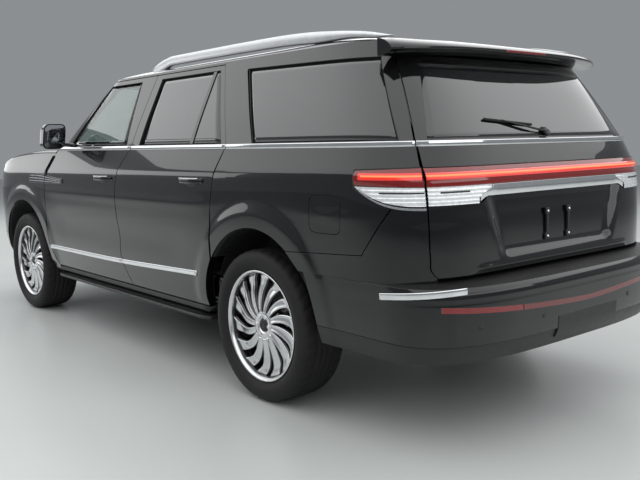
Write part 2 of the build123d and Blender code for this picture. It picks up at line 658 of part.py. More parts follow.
# ---- bulkhead and cowl
BULKHEAD_Y = FRONT_AXLE + 680
BULKHEAD_X = HALF_WIDTH - 172
COWL_Z = BELT_Z - 54
bulkhead = block((-BULKHEAD_X, BULKHEAD_X), (BULKHEAD_Y - 30, BULKHEAD_Y), (FLOOR_Z, COWL_Z - 30))
bulkhead += block((-BULKHEAD_X + 40, BULKHEAD_X - 40), (FRONT_AXLE + 330, BULKHEAD_Y), (COWL_Z - 30, COWL_Z))
save("bulkhead", bulkhead)

# ---- floor with its raised cargo deck, cut round the rear wheel housings
STEP_Y = REAR_AXLE - 340
REAR_HOUSING_X = TRACK_REAR / 2 - TYRE_WIDTH / 2 - 70
floor_pan = block((-FLOOR_X, FLOOR_X), (BULKHEAD_Y - 30, STEP_Y), (FLOOR_Z - FLOOR_THICKNESS, FLOOR_Z))
floor_pan += block((-FLOOR_X + 20, FLOOR_X - 20), (STEP_Y - FLOOR_THICKNESS, STEP_Y),
                   (FLOOR_Z, CARGO_FLOOR_Z))
floor_pan += block((-FLOOR_X + 20, FLOOR_X - 20), (STEP_Y - FLOOR_THICKNESS, TAIL_Y - 262),
                   (CARGO_FLOOR_Z - FLOOR_THICKNESS, CARGO_FLOOR_Z))
housing = axle_cylinder(REAR_AXLE, ARCH_Z, ARCH_RADIUS + LINER_WALL + SEAT_GAP, REAR_HOUSING_X - SEAT_GAP,
                        OUTSIDE)
floor_pan = (floor_pan - housing - mirrored(housing)) & whole(BODY[BODY_WALL + SEAT_GAP])
save("floor_pan", floor_pan)

# ---- wheel housings: thin arches behind each opening, closed inboard at the rear
rear_liner = axle_cylinder(REAR_AXLE, ARCH_Z, ARCH_RADIUS + LINER_WALL, REAR_HOUSING_X, HALF_WIDTH)
rear_liner -= axle_cylinder(REAR_AXLE, ARCH_Z, ARCH_RADIUS, REAR_HOUSING_X + LINER_WALL, HALF_WIDTH)
rear_liner &= block((0, HALF_WIDTH), (REAR_AXLE - 600, REAR_AXLE + 600), (RAIL_TOP_Z + 60, 1000))
rear_liner &= BODY[BODY_WALL + SEAT_GAP]
FRONT_HOUSING_X = RAIL_X + RAIL_WIDTH / 2 + 10
front_liner = axle_cylinder(FRONT_AXLE, ARCH_Z, ARCH_RADIUS + LINER_WALL, FRONT_HOUSING_X, HALF_WIDTH)
front_liner -= axle_cylinder(FRONT_AXLE, ARCH_Z, ARCH_RADIUS, 0, HALF_WIDTH)
front_liner &= block((0, HALF_WIDTH), (FRONT_AXLE - 600, FRONT_AXLE + 600), (ARCH_Z + 160, 1000))
front_liner &= BODY[BODY_WALL + SEAT_GAP]
save("wheel_liners", Compound(children=[
    *front_liner.solids(), *mirrored(front_liner).solids(),
    *rear_liner.solids(), *mirrored(rear_liner).solids()]))

# ---- ladder frame with body mounts
CROSSMEMBER_BOTTOM_Z = 470
ENGINE_CRADLE_Z = 450
FRAME_FRONT = NOSE_Y + 190
frame = block((RAIL_X - RAIL_WIDTH / 2, RAIL_X + RAIL_WIDTH / 2), (FRAME_FRONT, TAIL_Y - 110),
              (RAIL_BOTTOM_Z, RAIL_TOP_Z))
GEARBOX_MEMBER = BULKHEAD_Y + 350
for y in (GEARBOX_MEMBER, CENTRE_CUT + 360, REAR_AXLE - 510, REAR_AXLE + 700, TAIL_Y - 190):
    frame += block((0, RAIL_X), (y, y + 80), (CROSSMEMBER_BOTTOM_Z, RAIL_TOP_Z))
for y in (FRAME_FRONT, FRONT_AXLE - 50):
    frame += block((0, RAIL_X + RAIL_WIDTH / 2), (y, y + 100), (ENGINE_CRADLE_Z - 80, ENGINE_CRADLE_Z))
JACK_PAD = 8
for y in (FRONT_CUT + 266, REAR_AXLE - 640):
    frame += block((RAIL_X - 30, RAIL_X + 30), (y - 50, y + 50), (RAIL_BOTTOM_Z - JACK_PAD, RAIL_BOTTOM_Z))
for y in (FRONT_CUT + 260, CENTRE_CUT, REAR_CUT - 100):
    frame += Pos(RAIL_X, y, (RAIL_TOP_Z + FLOOR_Z - FLOOR_THICKNESS) / 2) * Cylinder(
        32, FLOOR_Z - FLOOR_THICKNESS - RAIL_TOP_Z)
for y in (REAR_AXLE + 560, TAIL_Y - 330):
    frame += Pos(RAIL_X, y, (RAIL_TOP_Z + CARGO_FLOOR_Z - FLOOR_THICKNESS) / 2) * Cylinder(
        32, CARGO_FLOOR_Z - FLOOR_THICKNESS - RAIL_TOP_Z)
save("frame", whole(frame))

# ---- engine, radiator, gearbox and propeller shaft, tank, spare wheel
engine = block((-330, 330), (FRONT_AXLE - 430, FRONT_AXLE + 400), (ENGINE_CRADLE_Z, ENGINE_CRADLE_Z + 600))
save("engine_block", engine)
RADIATOR_X = RAIL_X - RAIL_WIDTH / 2 - SEAT_GAP
radiator = block((-RADIATOR_X, RADIATOR_X), (FRAME_FRONT + 20, FRAME_FRONT + 80),
                 (ENGINE_CRADLE_Z, ENGINE_CRADLE_Z + 620))
save("radiator", radiator)
SHAFT_Z = 416
GEARBOX_END = GEARBOX_MEMBER - 10
half_shafts = axle_cylinder(REAR_AXLE, TYRE_RADIUS, 22, -TRACK_REAR / 2 + TYRE_WIDTH / 2 + 10,
                            TRACK_REAR / 2 - TYRE_WIDTH / 2 - 10)
with BuildPart() as driveline:
    with BuildSketch(Plane.XZ.offset(-(FRONT_AXLE + 400))):
        with Locations((0, ENGINE_CRADLE_Z - 20)):
            Circle(140)
    extrude(amount=-(GEARBOX_END - FRONT_AXLE - 400))
    with BuildSketch(Plane.XZ.offset(-GEARBOX_END)):
        with Locations((0, SHAFT_Z)):
            Circle(38)
    extrude(amount=-(REAR_AXLE - 140 - GEARBOX_END))
    with BuildSketch(Plane.XZ.offset(-(REAR_AXLE - 140))):
        with Locations((0, TYRE_RADIUS)):
            Circle(105)
    extrude(amount=-280)
    add(half_shafts)
save("driveline", driveline.part)
TANK_Y = CENTRE_CUT + 440
with BuildPart() as fuel_tank:
    with BuildSketch(Plane.XY.offset(400)):
        with Locations((235, TANK_Y + 320)):
            RectangleRounded(330, 640 - 2 * SEAT_GAP, 40)
    extrude(amount=170)
    fillet(fuel_tank.edges().filter_by(Plane.XY), 20)
save("fuel_tank", fuel_tank.part)
SPARE_RADIUS = 370
with BuildPart() as spare_wheel:
    with BuildSketch(Plane.XZ):
        with BuildLine():
            Polyline((0, 570 + SEAT_GAP), (SPARE_RADIUS - 30, 570 + SEAT_GAP), (SPARE_RADIUS, 600),
                     (SPARE_RADIUS, 725), (SPARE_RADIUS - 30, 752), (220, 752), (200, 690), (0, 690),
                     close=True)
        make_face()
    revolve(axis=Axis.Z)
save("spare_wheel", Pos(0, REAR_AXLE + 690, 0) * spare_wheel.part)

# ---- exhaust: muffler under the floor, tail pipe over the axle
EXHAUST_X = -300
with BuildPart() as exhaust:
    with BuildLine():
        pipe = FilletPolyline(
            (EXHAUST_X, FRONT_AXLE + 1000, 400), (EXHAUST_X, REAR_AXLE - 440, 400),
            (EXHAUST_X, REAR_AXLE - 140, 640), (EXHAUST_X, REAR_AXLE + 210, 640),
            (EXHAUST_X, REAR_AXLE + 480, 400), (EXHAUST_X, TAIL_Y - 150, 400), radius=110)
    with BuildSketch(Plane(origin=pipe @ 0, z_dir=pipe % 0)):
        Circle(30)
    sweep()
    with BuildSketch(Plane.XZ.offset(-(CENTRE_CUT + 500))):
        with Locations((EXHAUST_X, 400)):
            Ellipse(110, 62)
    extrude(amount=-480)
    for y in (BULKHEAD_Y + 390, CENTRE_CUT + 400, REAR_AXLE + 740):
        with BuildSketch(Plane.XY.offset(425)):
            with Locations((EXHAUST_X, y)):
                Rectangle(16, 16)
        extrude(amount=CROSSMEMBER_BOTTOM_Z - 425 - SEAT_GAP)
save("exhaust", exhaust.part)

# ---- running boards below the sills
BOARD_Z = 374
with BuildPart() as running_board:
    with BuildSketch(Plane.XY.offset(BOARD_Z - 28)):
        with Locations(((HALF_WIDTH - 118), (FRONT_CUT + REAR_CUT) / 2 - 10)):
            RectangleRounded(190, REAR_CUT - FRONT_CUT - 210, 30)
    extrude(amount=28)
    for y in (FRONT_CUT + 300, CENTRE_CUT, REAR_CUT - 300):
        with BuildSketch(Plane.XY.offset(BOARD_Z)):
            with Locations((FLOOR_X + 10, y)):
                Rectangle(30, 60)
        extrude(amount=ROCKER_BOTTOM_Z - BOARD_Z - SEAT_GAP)
save("running_boards", both(running_board.part))

# ---- wheels, built about the wheel centre with +X outboard
def placed(part, x, y, facing):
    return Location((x, y, TYRE_RADIUS), (0, 0, 0 if facing > 0 else 180)) * part


with BuildPart() as tyre:
    with BuildSketch(Plane.XY):
        with BuildLine():
            half = TYRE_WIDTH / 2
            inner = BEAD_RADIUS + SEAT_GAP
            bead = RIM_WIDTH / 2 - 14
            shoulder = TYRE_RADIUS - 5
            Polyline((-bead, inner), (-bead - 5, inner + 16), (-half + 4, inner + 40),
                     (-half, inner + 60), (-half + 12, TYRE_RADIUS - 24), (-half + 30, shoulder),
                     (-half + 60, TYRE_RADIUS), (half - 60, TYRE_RADIUS), (half - 30, shoulder),
                     (half - 12, TYRE_RADIUS - 24), (half, inner + 60), (half - 4, inner + 40),
                     (bead + 5, inner + 16), (bead, inner), close=True)
        make_face()
    revolve(axis=Axis.X)

with BuildPart() as rim:
    # barrel with its two flanges
    with BuildSketch(Plane.XY):
        with BuildLine():
            half = RIM_WIDTH / 2
            Polyline((-half, BEAD_RADIUS - 16), (-half, RIM_RADIUS), (-half + 8, RIM_RADIUS),
                     (-half + 12, BEAD_RADIUS), (half - 12, BEAD_RADIUS), (half - 8, RIM_RADIUS),
                     (half, RIM_RADIUS), (half, BEAD_RADIUS - 10), (half - 30, BEAD_RADIUS - 18), close=True)
        make_face()
    revolve(axis=Axis.X)
    # curved spokes
    with BuildSketch(Plane.YZ.offset(SPOKE_BACK)) as one_spoke:
        with BuildLine():
            lead = ThreePointArc((60, -12), (165, -2), (BEAD_RADIUS - 13, 40))
            trail = ThreePointArc((BEAD_RADIUS - 13, -4), (165, -26), (60, -24))
            Line(lead @ 1, trail @ 0)
            Line(trail @ 1, lead @ 0)
        make_face()
    spoke = extrude(amount=SPOKE_THICKNESS, mode=Mode.PRIVATE)
    for turn in range(SPOKE_COUNT):
        add(spoke.rotate(Axis.X, turn * 360 / SPOKE_COUNT))
    # hub, brake disc and the spindle bore
    with BuildSketch(Plane.YZ.offset(DISC_INNER)):
        Circle(HUB_RADIUS)
    extrude(amount=HUB_FACE + 48 - DISC_INNER)
    with BuildSketch(Plane.YZ.offset(DISC_INNER)):
        Circle(DISC_RADIUS)
    extrude(amount=DISC_THICKNESS)
    with BuildSketch(Plane.YZ.offset(DISC_INNER)):
        Circle(SPINDLE_RADIUS + RUNNING_CLEARANCE)
    extrude(amount=HUB_FACE + 10 - DISC_INNER, mode=Mode.SUBTRACT)

WHEELS = {
    "front_left": (TRACK_FRONT / 2, FRONT_AXLE, 1),
    "front_right": (-TRACK_FRONT / 2, FRONT_AXLE, -1),
    "rear_left": (TRACK_REAR / 2, REAR_AXLE, 1),
    "rear_right": (-TRACK_REAR / 2, REAR_AXLE, -1),
}
for corner_name, place in WHEELS.items():
    save(f"tyre_{corner_name}", placed(tyre.part, *place))
    save(f"rim_{corner_name}", placed(rim.part, *place))


# ---- knuckle: kingpin post, spindle and brake caliper; the rear carrier is the same but fixed
def knuckle_part(caliper_side):
    """About the wheel centre, +X outboard, with the caliper at that side of the axle."""
    caliper = sorted((caliper_side * 118, caliper_side * 214))
    slot = sorted((caliper_side * 98, caliper_side * 200))
    arm = sorted((0, caliper_side * 150))
    caliper_in = DISC_INNER - 30
    caliper_out = DISC_INNER + DISC_THICKNESS + 26
    spindle = axle_cylinder(0, 0, SPINDLE_RADIUS, -KINGPIN_INSET, HUB_FACE + 4)
    with BuildPart() as post:
        with BuildSketch(Plane.XY.offset(-ARM_LIFT + ARM_THICKNESS / 2 + POST_GAP)):
            with Locations((-KINGPIN_INSET, 0)):
                Circle(KINGPIN_RADIUS)
        extrude(amount=2 * ARM_LIFT - ARM_THICKNESS - 2 * POST_GAP)
        add(block((caliper_in, caliper_out), caliper, (-85, 85)))
        add(block((DISC_INNER - CALIPER_GAP, DISC_INNER + DISC_THICKNESS + CALIPER_GAP), slot, (-90, 90)),
            mode=Mode.SUBTRACT)
        add(block((caliper_in - 4, caliper_in + 16), arm, (-30, 30)))
        add(block((-KINGPIN_INSET, caliper_in + 16), (-16, 16), (-30, 30)))
        add(spindle)
    return post.part


save("knuckle_left", placed(knuckle_part(1), TRACK_FRONT / 2, FRONT_AXLE, 1))
save("knuckle_right", placed(knuckle_part(-1), -TRACK_FRONT / 2, FRONT_AXLE, -1))


def control_arm(track, axle, lift):
    """An A-arm from the frame rail to the ball joint on the kingpin axis."""
    rail = RAIL_X + RAIL_WIDTH / 2
    joint = track / 2 - KINGPIN_INSET
    with BuildPart() as arm:
        with BuildSketch(Plane.XY.offset(TYRE_RADIUS + lift - ARM_THICKNESS / 2)):
            with BuildLine():
                Polyline((rail, axle - 150), (joint, axle - 26), (joint, axle + 26), (rail, axle + 150),
                         (rail, axle + 80), (joint - 90, axle), (rail, axle - 80), close=True)
            make_face()
            with Locations((joint, axle)):
                Circle(30)
        extrude(amount=ARM_THICKNESS)
    return arm.part


def suspension(track, axle):
    """Upper and lower arms of the left side, with the brackets that hang the lower arm."""
    rail = RAIL_X + RAIL_WIDTH / 2
    arms = [control_arm(track, axle, ARM_LIFT)]
    lower = control_arm(track, axle, -ARM_LIFT)
    for side in (-1, 1):
        y = axle + side * 115
        lower += block((rail - 60, rail + 1), (y - 34, y + 34),
                       (TYRE_RADIUS - ARM_LIFT - ARM_THICKNESS / 2, RAIL_BOTTOM_Z))
    return arms + [lower]


front_arms = suspension(TRACK_FRONT, FRONT_AXLE)
save("front_suspension", Compound(children=[s for arm in front_arms for p in (arm, mirrored(arm))
                                            for s in p.solids()]))
carrier = placed(knuckle_part(1), TRACK_REAR / 2, REAR_AXLE, 1)
carrier += Pos(TRACK_REAR / 2 - KINGPIN_INSET, REAR_AXLE, TYRE_RADIUS) * Cylinder(KINGPIN_RADIUS, 2 * ARM_LIFT)
for arm in suspension(TRACK_REAR, REAR_AXLE):
    carrier += arm
save("rear_suspension", both(carrier))

# ---- cabin: dashboard with console, steering wheel, seats
DASH_X = HALF_WIDTH - 235
CONSOLE_X = 140
STEERING_Y = BULKHEAD_Y + 530
STEERING_Z = BELT_Z - 235
COLUMN_TILT = radians(25)
COLUMN_RADIUS = 34
COLUMN_STUB = 100
steering_plane = Plane(origin=(SEAT_X, STEERING_Y, STEERING_Z),
                       z_dir=(0, cos(COLUMN_TILT), sin(COLUMN_TILT)))
with BuildPart() as dashboard:
    with BuildSketch(Plane.YZ):
        with BuildLine():
            Polyline((BULKHEAD_Y + SEAT_GAP, BELT_Z - 60), (BULKHEAD_Y + 60, BELT_Z - 34),
                     (BULKHEAD_Y + 260, BELT_Z - 40), (BULKHEAD_Y + 390, BELT_Z - 130),
                     (BULKHEAD_Y + 370, BELT_Z - 330), (BULKHEAD_Y + 220, BELT_Z - 520),
                     (BULKHEAD_Y + SEAT_GAP, BELT_Z - 560), close=True)
        make_face()
    extrude(amount=DASH_X, both=True)
    with BuildSketch(Plane.YZ):
        with BuildLine():
            Polyline((BULKHEAD_Y + 200, FLOOR_Z + SEAT_GAP), (BULKHEAD_Y + 200, BELT_Z - 400),
                     (BULKHEAD_Y + 420, FLOOR_Z + 330), (CENTRE_CUT + 150, FLOOR_Z + 330),
                     (CENTRE_CUT + 170, FLOOR_Z + SEAT_GAP), close=True)
        make_face()
    extrude(amount=CONSOLE_X, both=True)
    # the fixed half of the steering column meets the wheel's stub
    with BuildSketch(steering_plane.offset(-COLUMN_STUB - SEAT_GAP)):
        Circle(COLUMN_RADIUS)
    extrude(amount=-COLUMN_STUB)
save("dashboard", dashboard.part)

with BuildPart() as steering_wheel:
    with BuildSketch(steering_plane):
        Circle(190)
        Circle(160, mode=Mode.SUBTRACT)
    extrude(amount=14, both=True)
    with BuildSketch(steering_plane):
        Rectangle(340, 56)
        Circle(70)
    extrude(amount=12, both=True)
    with BuildSketch(steering_plane):
        Circle(COLUMN_RADIUS)
    extrude(amount=-COLUMN_STUB)
save("steering_wheel", steering_wheel.part)


def seat(x, y, floor, width, cushion_z, back_top):
    """Base, cushion, leaning back and head restraint, as one upholstered piece."""
    with BuildPart() as chair:
        with BuildSketch(Plane.YZ.offset(x - width / 2)):
            with BuildLine():
                Polyline((y, floor + SEAT_GAP), (y, cushion_z - 30), (y + 40, cushion_z),
                         (y + 430, cushion_z - 30), (y + 590, back_top), (y + 690, back_top - 10),
                         (y + 600, cushion_z - 120), (y + 520, floor + SEAT_GAP), close=True)
            make_face()
        extrude(amount=width)
        with BuildSketch(Plane.YZ.offset(x - 130)):
            with BuildLine():
                Polyline((y + 600, back_top - 8), (y + 590, back_top + 150), (y + 620, back_top + 185),
                         (y + 680, back_top + 175), (y + 688, back_top - 12), close=True)
            make_face()
        extrude(amount=260)
    return chair.part


front_seat = seat(SEAT_X, BULKHEAD_Y + 640, FLOOR_Z, 500, FLOOR_Z + 330, FLOOR_Z + 880)
save("front_seats", both(front_seat))
middle_seat = seat(SEAT_X, CENTRE_CUT + 440, FLOOR_Z, 500, FLOOR_Z + 340, FLOOR_Z + 870)
third_seat = seat(300, REAR_AXLE - 90, CARGO_FLOOR_Z, 560, CARGO_FLOOR_Z + 220, CARGO_FLOOR_Z + 680)
save("rear_seats", Compound(children=[*middle_seat.solids(), *mirrored(middle_seat).solids(),
                                      *third_seat.solids(), *mirrored(third_seat).solids()]))
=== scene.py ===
# %% [markdown]
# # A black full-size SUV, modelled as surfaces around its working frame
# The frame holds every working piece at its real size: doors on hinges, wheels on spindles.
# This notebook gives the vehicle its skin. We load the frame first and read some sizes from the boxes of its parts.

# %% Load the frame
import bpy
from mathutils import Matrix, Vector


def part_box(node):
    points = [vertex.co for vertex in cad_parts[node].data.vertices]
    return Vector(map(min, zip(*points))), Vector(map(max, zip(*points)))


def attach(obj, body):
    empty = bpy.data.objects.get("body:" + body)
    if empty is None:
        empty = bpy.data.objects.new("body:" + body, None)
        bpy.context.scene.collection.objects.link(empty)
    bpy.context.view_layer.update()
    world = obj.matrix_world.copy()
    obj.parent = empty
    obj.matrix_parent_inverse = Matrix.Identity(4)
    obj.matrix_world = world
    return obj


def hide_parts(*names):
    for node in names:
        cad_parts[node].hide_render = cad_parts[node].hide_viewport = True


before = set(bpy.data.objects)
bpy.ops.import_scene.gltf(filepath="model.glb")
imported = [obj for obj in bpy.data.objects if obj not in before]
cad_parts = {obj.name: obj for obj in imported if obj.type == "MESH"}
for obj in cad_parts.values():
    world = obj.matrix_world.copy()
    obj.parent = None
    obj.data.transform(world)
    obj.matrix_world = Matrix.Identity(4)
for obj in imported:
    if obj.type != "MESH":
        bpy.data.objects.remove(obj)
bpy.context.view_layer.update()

# %% [markdown]
# The front of the vehicle faces -Y, +X is its left side and the ground is z = 0. A handful of
# places repeat through every piece: the axles, the belt line where the glass starts and the half
# width. They are read from the frame where a part of it gives them.

# %% Sizes that the pieces share
import bmesh
import bpy
import numpy as np
from math import cos, pi, radians, sin, tau
from mathutils import Matrix

FRONT_AXLE = sum(corner[1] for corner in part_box("tyre_front_left")) / 2
REAR_AXLE = sum(corner[1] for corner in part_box("tyre_rear_left")) / 2
TYRE_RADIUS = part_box("tyre_rear_left")[1][2] / 2
HALF_WIDTH = 1.008
BELT_Z = 1.350
NOSE_Y = FRONT_AXLE - 0.965
TAIL_Y = REAR_AXLE + 1.328
ARCH_RADIUS, ARCH_Z = 0.500, 0.430
FRONT_CUT = FRONT_AXLE + 0.487
CENTRE_CUT = FRONT_AXLE + 1.752
REAR_CUT = REAR_AXLE - 0.400
GAP = 0.005
SIDES = (("left", 1), ("right", -1))
print("wheelbase", round(REAR_AXLE - FRONT_AXLE, 3), "tyre radius", round(TYRE_RADIUS, 3))

# %% [markdown]
# ## Camera
# The camera stands behind the left rear corner at head height with a mild wide lens. Its
# matrix is built from where it looks: forward, then right, then up, turned by the roll.

# %% Camera
CAMERA_PLACE = np.array([3.2967, 4.7843, 1.3682])
CAMERA_YAW, CAMERA_PITCH, CAMERA_ROLL = radians(-39.816), radians(7.251), radians(-1.182)
CAMERA_LENS = 43.81


def camera_axes(yaw, pitch, roll):
    """Right, up and forward unit vectors: forward from yaw and pitch, the other two rolled about it."""
    forward = np.array([sin(yaw) * cos(pitch), -cos(yaw) * cos(pitch), -sin(pitch)])
    level = np.cross(forward, [0, 0, 1])
    level /= np.linalg.norm(level)
    upright = np.cross(level, forward)
    return level * cos(roll) + upright * sin(roll), -level * sin(roll) + upright * cos(roll), forward


right, up, forward = camera_axes(CAMERA_YAW, CAMERA_PITCH, CAMERA_ROLL)
camera = bpy.data.objects.new("camera", bpy.data.cameras.new("camera"))
camera.data.lens = CAMERA_LENS
camera.matrix_world = Matrix.Translation(CAMERA_PLACE) @ Matrix(np.array([right, up, -forward]).T).to_4x4()
bpy.context.scene.collection.objects.link(camera)
bpy.context.scene.camera = camera
print("camera at", CAMERA_PLACE)

# %% [markdown]
# ## Turning arrays into pieces
# Every surface below is a grid of points in an array shaped (rows, columns, 3). One function
# makes the mesh: it links neighbouring points into quads, closes the loops that are closed, and
# turns the faces so that they point away from a given inner point. Solidify then gives sheet
# metal its thickness and Bevel rounds its edges, which is what catches light along a shut line.

# %% Grids
def coords(*axes):
    """Coordinates spread over one shape and put side by side: points of an array (..., 3)."""
    return np.stack(np.broadcast_arrays(*axes), axis=-1)


def down(start, stop, count):
    """Even numbers for the rows of a grid."""
    return np.linspace(start, stop, count)[:, None]


def across(start, stop, count):
    """Even numbers for the columns of a grid."""
    return np.linspace(start, stop, count)[None, :]


def full_turn(count):
    """Angles once round, the last one step short of the first."""
    return np.linspace(0, tau, count, endpoint=False)


def blend(first, second, share):
    """first at share 0, second at share 1 and straight between."""
    return first * (1 - share) + second * share


def squared(turn, power):
    """Cosine and sine of a superellipse: |cos|^power and |sin|^power with their signs kept."""
    return [np.sign(f) * np.abs(f) ** power for f in (np.cos(turn), np.sin(turn))]


def grid_faces(rows, columns, close_rows=False, close_columns=False):
    """Quads between neighbours of a (rows, columns) grid, wrapping round where it is closed."""
    index = np.arange(rows * columns).reshape(rows, columns)
    if close_rows:
        index = np.vstack([index, index[:1]])
    if close_columns:
        index = np.hstack([index, index[:, :1]])
    quads = np.stack([index[:-1, :-1], index[:-1, 1:], index[1:, 1:], index[1:, :-1]], axis=-1)
    return quads.reshape(-1, 4)


def facing_out(points, faces, inside):
    """Whether the quads look away from the point called inside, weighed by their area."""
    a, b, c, d = (points[faces[:, k]] for k in range(4))
    normal = np.cross(c - a, d - b)
    return np.einsum("ij,ij->i", normal, (a + c) / 2 - inside).sum() > 0


print("grid tools ready")

# %% [markdown]
# Most pieces come in a left and a right copy. A maker that meets SIDE in a name makes both: the
# right one is the mirror image, with its faces turned back outwards. Each piece rides on a body
# of the frame, the fixed root unless another is named, and may replace a node of the frame.


def piece(name, points, faces, material, body="root", slot=None, replaces=None, smooth=True):
    """A mesh object from arrays, riding on a body of the frame."""
    mesh = bpy.data.meshes.new(name)
    mesh.from_pydata(np.asarray(points, float).reshape(-1, 3).tolist(), [], [list(map(int, f)) for f in faces])
    mesh.materials.append(material)
    mesh.polygons.foreach_set("use_smooth", [smooth] * len(mesh.polygons))
    mesh.update()
    made = bpy.data.objects.new(name, mesh)
    bpy.context.scene.collection.objects.link(made)
    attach(made, body)
    if replaces:
        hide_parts(replaces)
    return made


def sides_of(*names):
    """For a name with SIDE, the names of both sides and their mirror scales; else just the names."""
    for side, sign in SIDES if "SIDE" in names[0] else SIDES[:1]:
        yield np.array([sign, 1, 1]), *[name and name.replace("SIDE", side) for name in names]


def finished(made, thickness, bevel, angle=40):
    """A wall behind the surface, and a small rounded edge wherever two faces meet sharply."""
    if thickness:
        wall = made.modifiers.new("wall", "SOLIDIFY")
        wall.thickness, wall.offset, wall.use_even_offset = thickness, -1, False
    if bevel:
        edge = made.modifiers.new("edge", "BEVEL")
        edge.width, edge.segments, edge.limit_method = bevel, 2, "ANGLE"
        edge.angle_limit, edge.harden_normals = radians(angle), True
    return made


def sheet_piece(name, grid, material, body="root", slot=None, thickness=0.012, inside=None, bevel=0.0012,
                closed=False, replaces=None, faces=None):
    """An open surface with a wall behind it, turned away from the point inside. Returns the last made."""
    flat = np.array(grid, float).reshape(-1, 3)
    faces = grid_faces(*grid.shape[:2], close_columns=closed) if faces is None else faces
    if inside is None:
        inside = [0, np.clip(flat[:, 1].mean(), NOSE_Y + 0.9, TAIL_Y - 0.9), 0.9]
    for mirror, own_name, own_body, node in sides_of(name, body, replaces):
        out = facing_out(flat * mirror, faces, inside * mirror)
        made = piece(own_name, flat * mirror, faces if out else faces[:, ::-1], material, own_body, slot, node)
        finished(made, thickness, bevel)
    return made


def solid_piece(name, grid, material, body="root", slot=None, ring=False, bevel=0, replaces=None):
    """A closed body whose rows are closed loops. Its ends are capped, or joined when it is a ring.
    The volume of the tetrahedra under all faces tells whether they look outwards."""
    rows, columns = grid.shape[:2]
    quads = grid_faces(rows, columns, ring, True)
    caps = [] if ring else [list(range(columns))[::-1], list(range((rows - 1) * columns, rows * columns))]
    for mirror, own_name, own_body, node in sides_of(name, body, replaces):
        flat = np.array(grid, float).reshape(-1, 3) * mirror
        a, b, c, d = (flat[quads[:, k]] - flat.mean(0) for k in range(4))
        polygons = quads.tolist() + caps
        if np.einsum("ij,ij->", a, np.cross(b, c) + np.cross(c, d)) < 0:
            polygons = [polygon[::-1] for polygon in polygons]
        made = piece(own_name, flat, polygons, material, own_body, slot, node)
        finished(made, 0, bevel, 35)
    return made


print("makers of sheets and solids ready")

# %% [markdown]
# Bars, posts and mouldings are a section carried along a path, and round parts are a profile turned
# about an axle. Curve objects could do both, but arrays keep every point within reach.

# %% Swept and turned forms
def swept(path, section, up=(0, 0, 1), scale=None):
    """Loops of a section carried along a path: each loop stands square to the path, section (a, b)
    runs along side = tangent x up and along side x tangent."""
    path, section = np.asarray(path, float), np.asarray(section, float)
    tangent = np.gradient(path, axis=0)
    tangent /= np.linalg.norm(tangent, axis=1, keepdims=True)
    side = np.cross(tangent, up)
    side /= np.linalg.norm(side, axis=1, keepdims=True)
    over = np.cross(side, tangent)
    size = np.ones(len(path)) if scale is None else np.asarray(scale, float)
    return (path[:, None] + section[None, :, :1] * side[:, None] * size[:, None, None]
            + section[None, :, 1:] * over[:, None] * size[:, None, None])


def round_section(width, height, radius, steps=4):
    """A rectangle with rounded corners, as a closed loop of points about its middle."""
    corners = []
    for quarter, (x, y) in enumerate(((1, 1), (-1, 1), (-1, -1), (1, -1))):
        turn = quarter * pi / 2 + np.linspace(0, pi / 2, steps)
        corners.append(coords(x * (width / 2 - radius) + radius * np.cos(turn),
                              y * (height / 2 - radius) + radius * np.sin(turn)))
    return np.vstack(corners)


def revolved(profile, centre, steps):
    """A profile of (radius, x) points turned about an axle along X through the centre."""
    turn = full_turn(steps)[None, :]
    radius, x = (np.asarray(profile, float)[:, k][:, None] for k in range(2))
    return coords(x, radius * np.cos(turn), radius * np.sin(turn)) + np.asarray(centre, float)


print("piece makers ready")

# %% [markdown]
# ## Finishes
# A finish is a Principled shader whose colour, roughness and bump vary over the surface. The
# effects that several finishes share are node groups: a soft mottle for colour, a fine grain for
# moulded plastic and leather, brush lines for metal, and a thin film of dust that gathers low on
# the body. Each group is built once and placed with its own values.

# %% Node groups shared by the finishes
def new_group(name, inputs, outputs):
    """An empty shader node group with named number inputs and outputs, and its two end nodes."""
    group = bpy.data.node_groups.new(name, "ShaderNodeTree")
    for label, value in inputs:
        group.interface.new_socket(label, in_out="INPUT", socket_type="NodeSocketFloat").default_value = value
    for label in outputs:
        group.interface.new_socket(label, in_out="OUTPUT", socket_type="NodeSocketFloat")
    return group, group.nodes.new("NodeGroupInput"), group.nodes.new("NodeGroupOutput")


def math_node(tree, operation, first, second, third=None):
    """A Math node fed by sockets or numbers; its result socket."""
    node = tree.nodes.new("ShaderNodeMath")
    node.operation = operation
    for socket, value in zip(node.inputs, (first, second, third)):
        if hasattr(value, "is_output"):
            tree.links.new(value, socket)
        elif value is not None:
            socket.default_value = value
    return node.outputs[0]


def object_noise(tree, scale, detail, roughness=0.5, stretch=None):
    """A noise value on Object coordinates, stretched along an axis where asked; its socket."""
    place = tree.nodes.new("ShaderNodeTexCoord").outputs["Object"]
    if stretch:
        mapping = tree.nodes.new("ShaderNodeMapping")
        mapping.inputs["Scale"].default_value = stretch
        tree.links.new(place, mapping.inputs["Vector"])
        place = mapping.outputs["Vector"]
    noise = tree.nodes.new("ShaderNodeTexNoise")
    noise.inputs["Detail"].default_value, noise.inputs["Roughness"].default_value = detail, roughness
    tree.links.new(place, noise.inputs["Vector"])
    if hasattr(scale, "is_output"):
        tree.links.new(scale, noise.inputs["Scale"])
    else:
        noise.inputs["Scale"].default_value = scale
    return noise.outputs["Fac"]


print("node helpers ready")

# %% [markdown]
# The groups themselves: each works out one mask or height from Object coordinates, so a finish stays
# put on a piece when the piece moves.

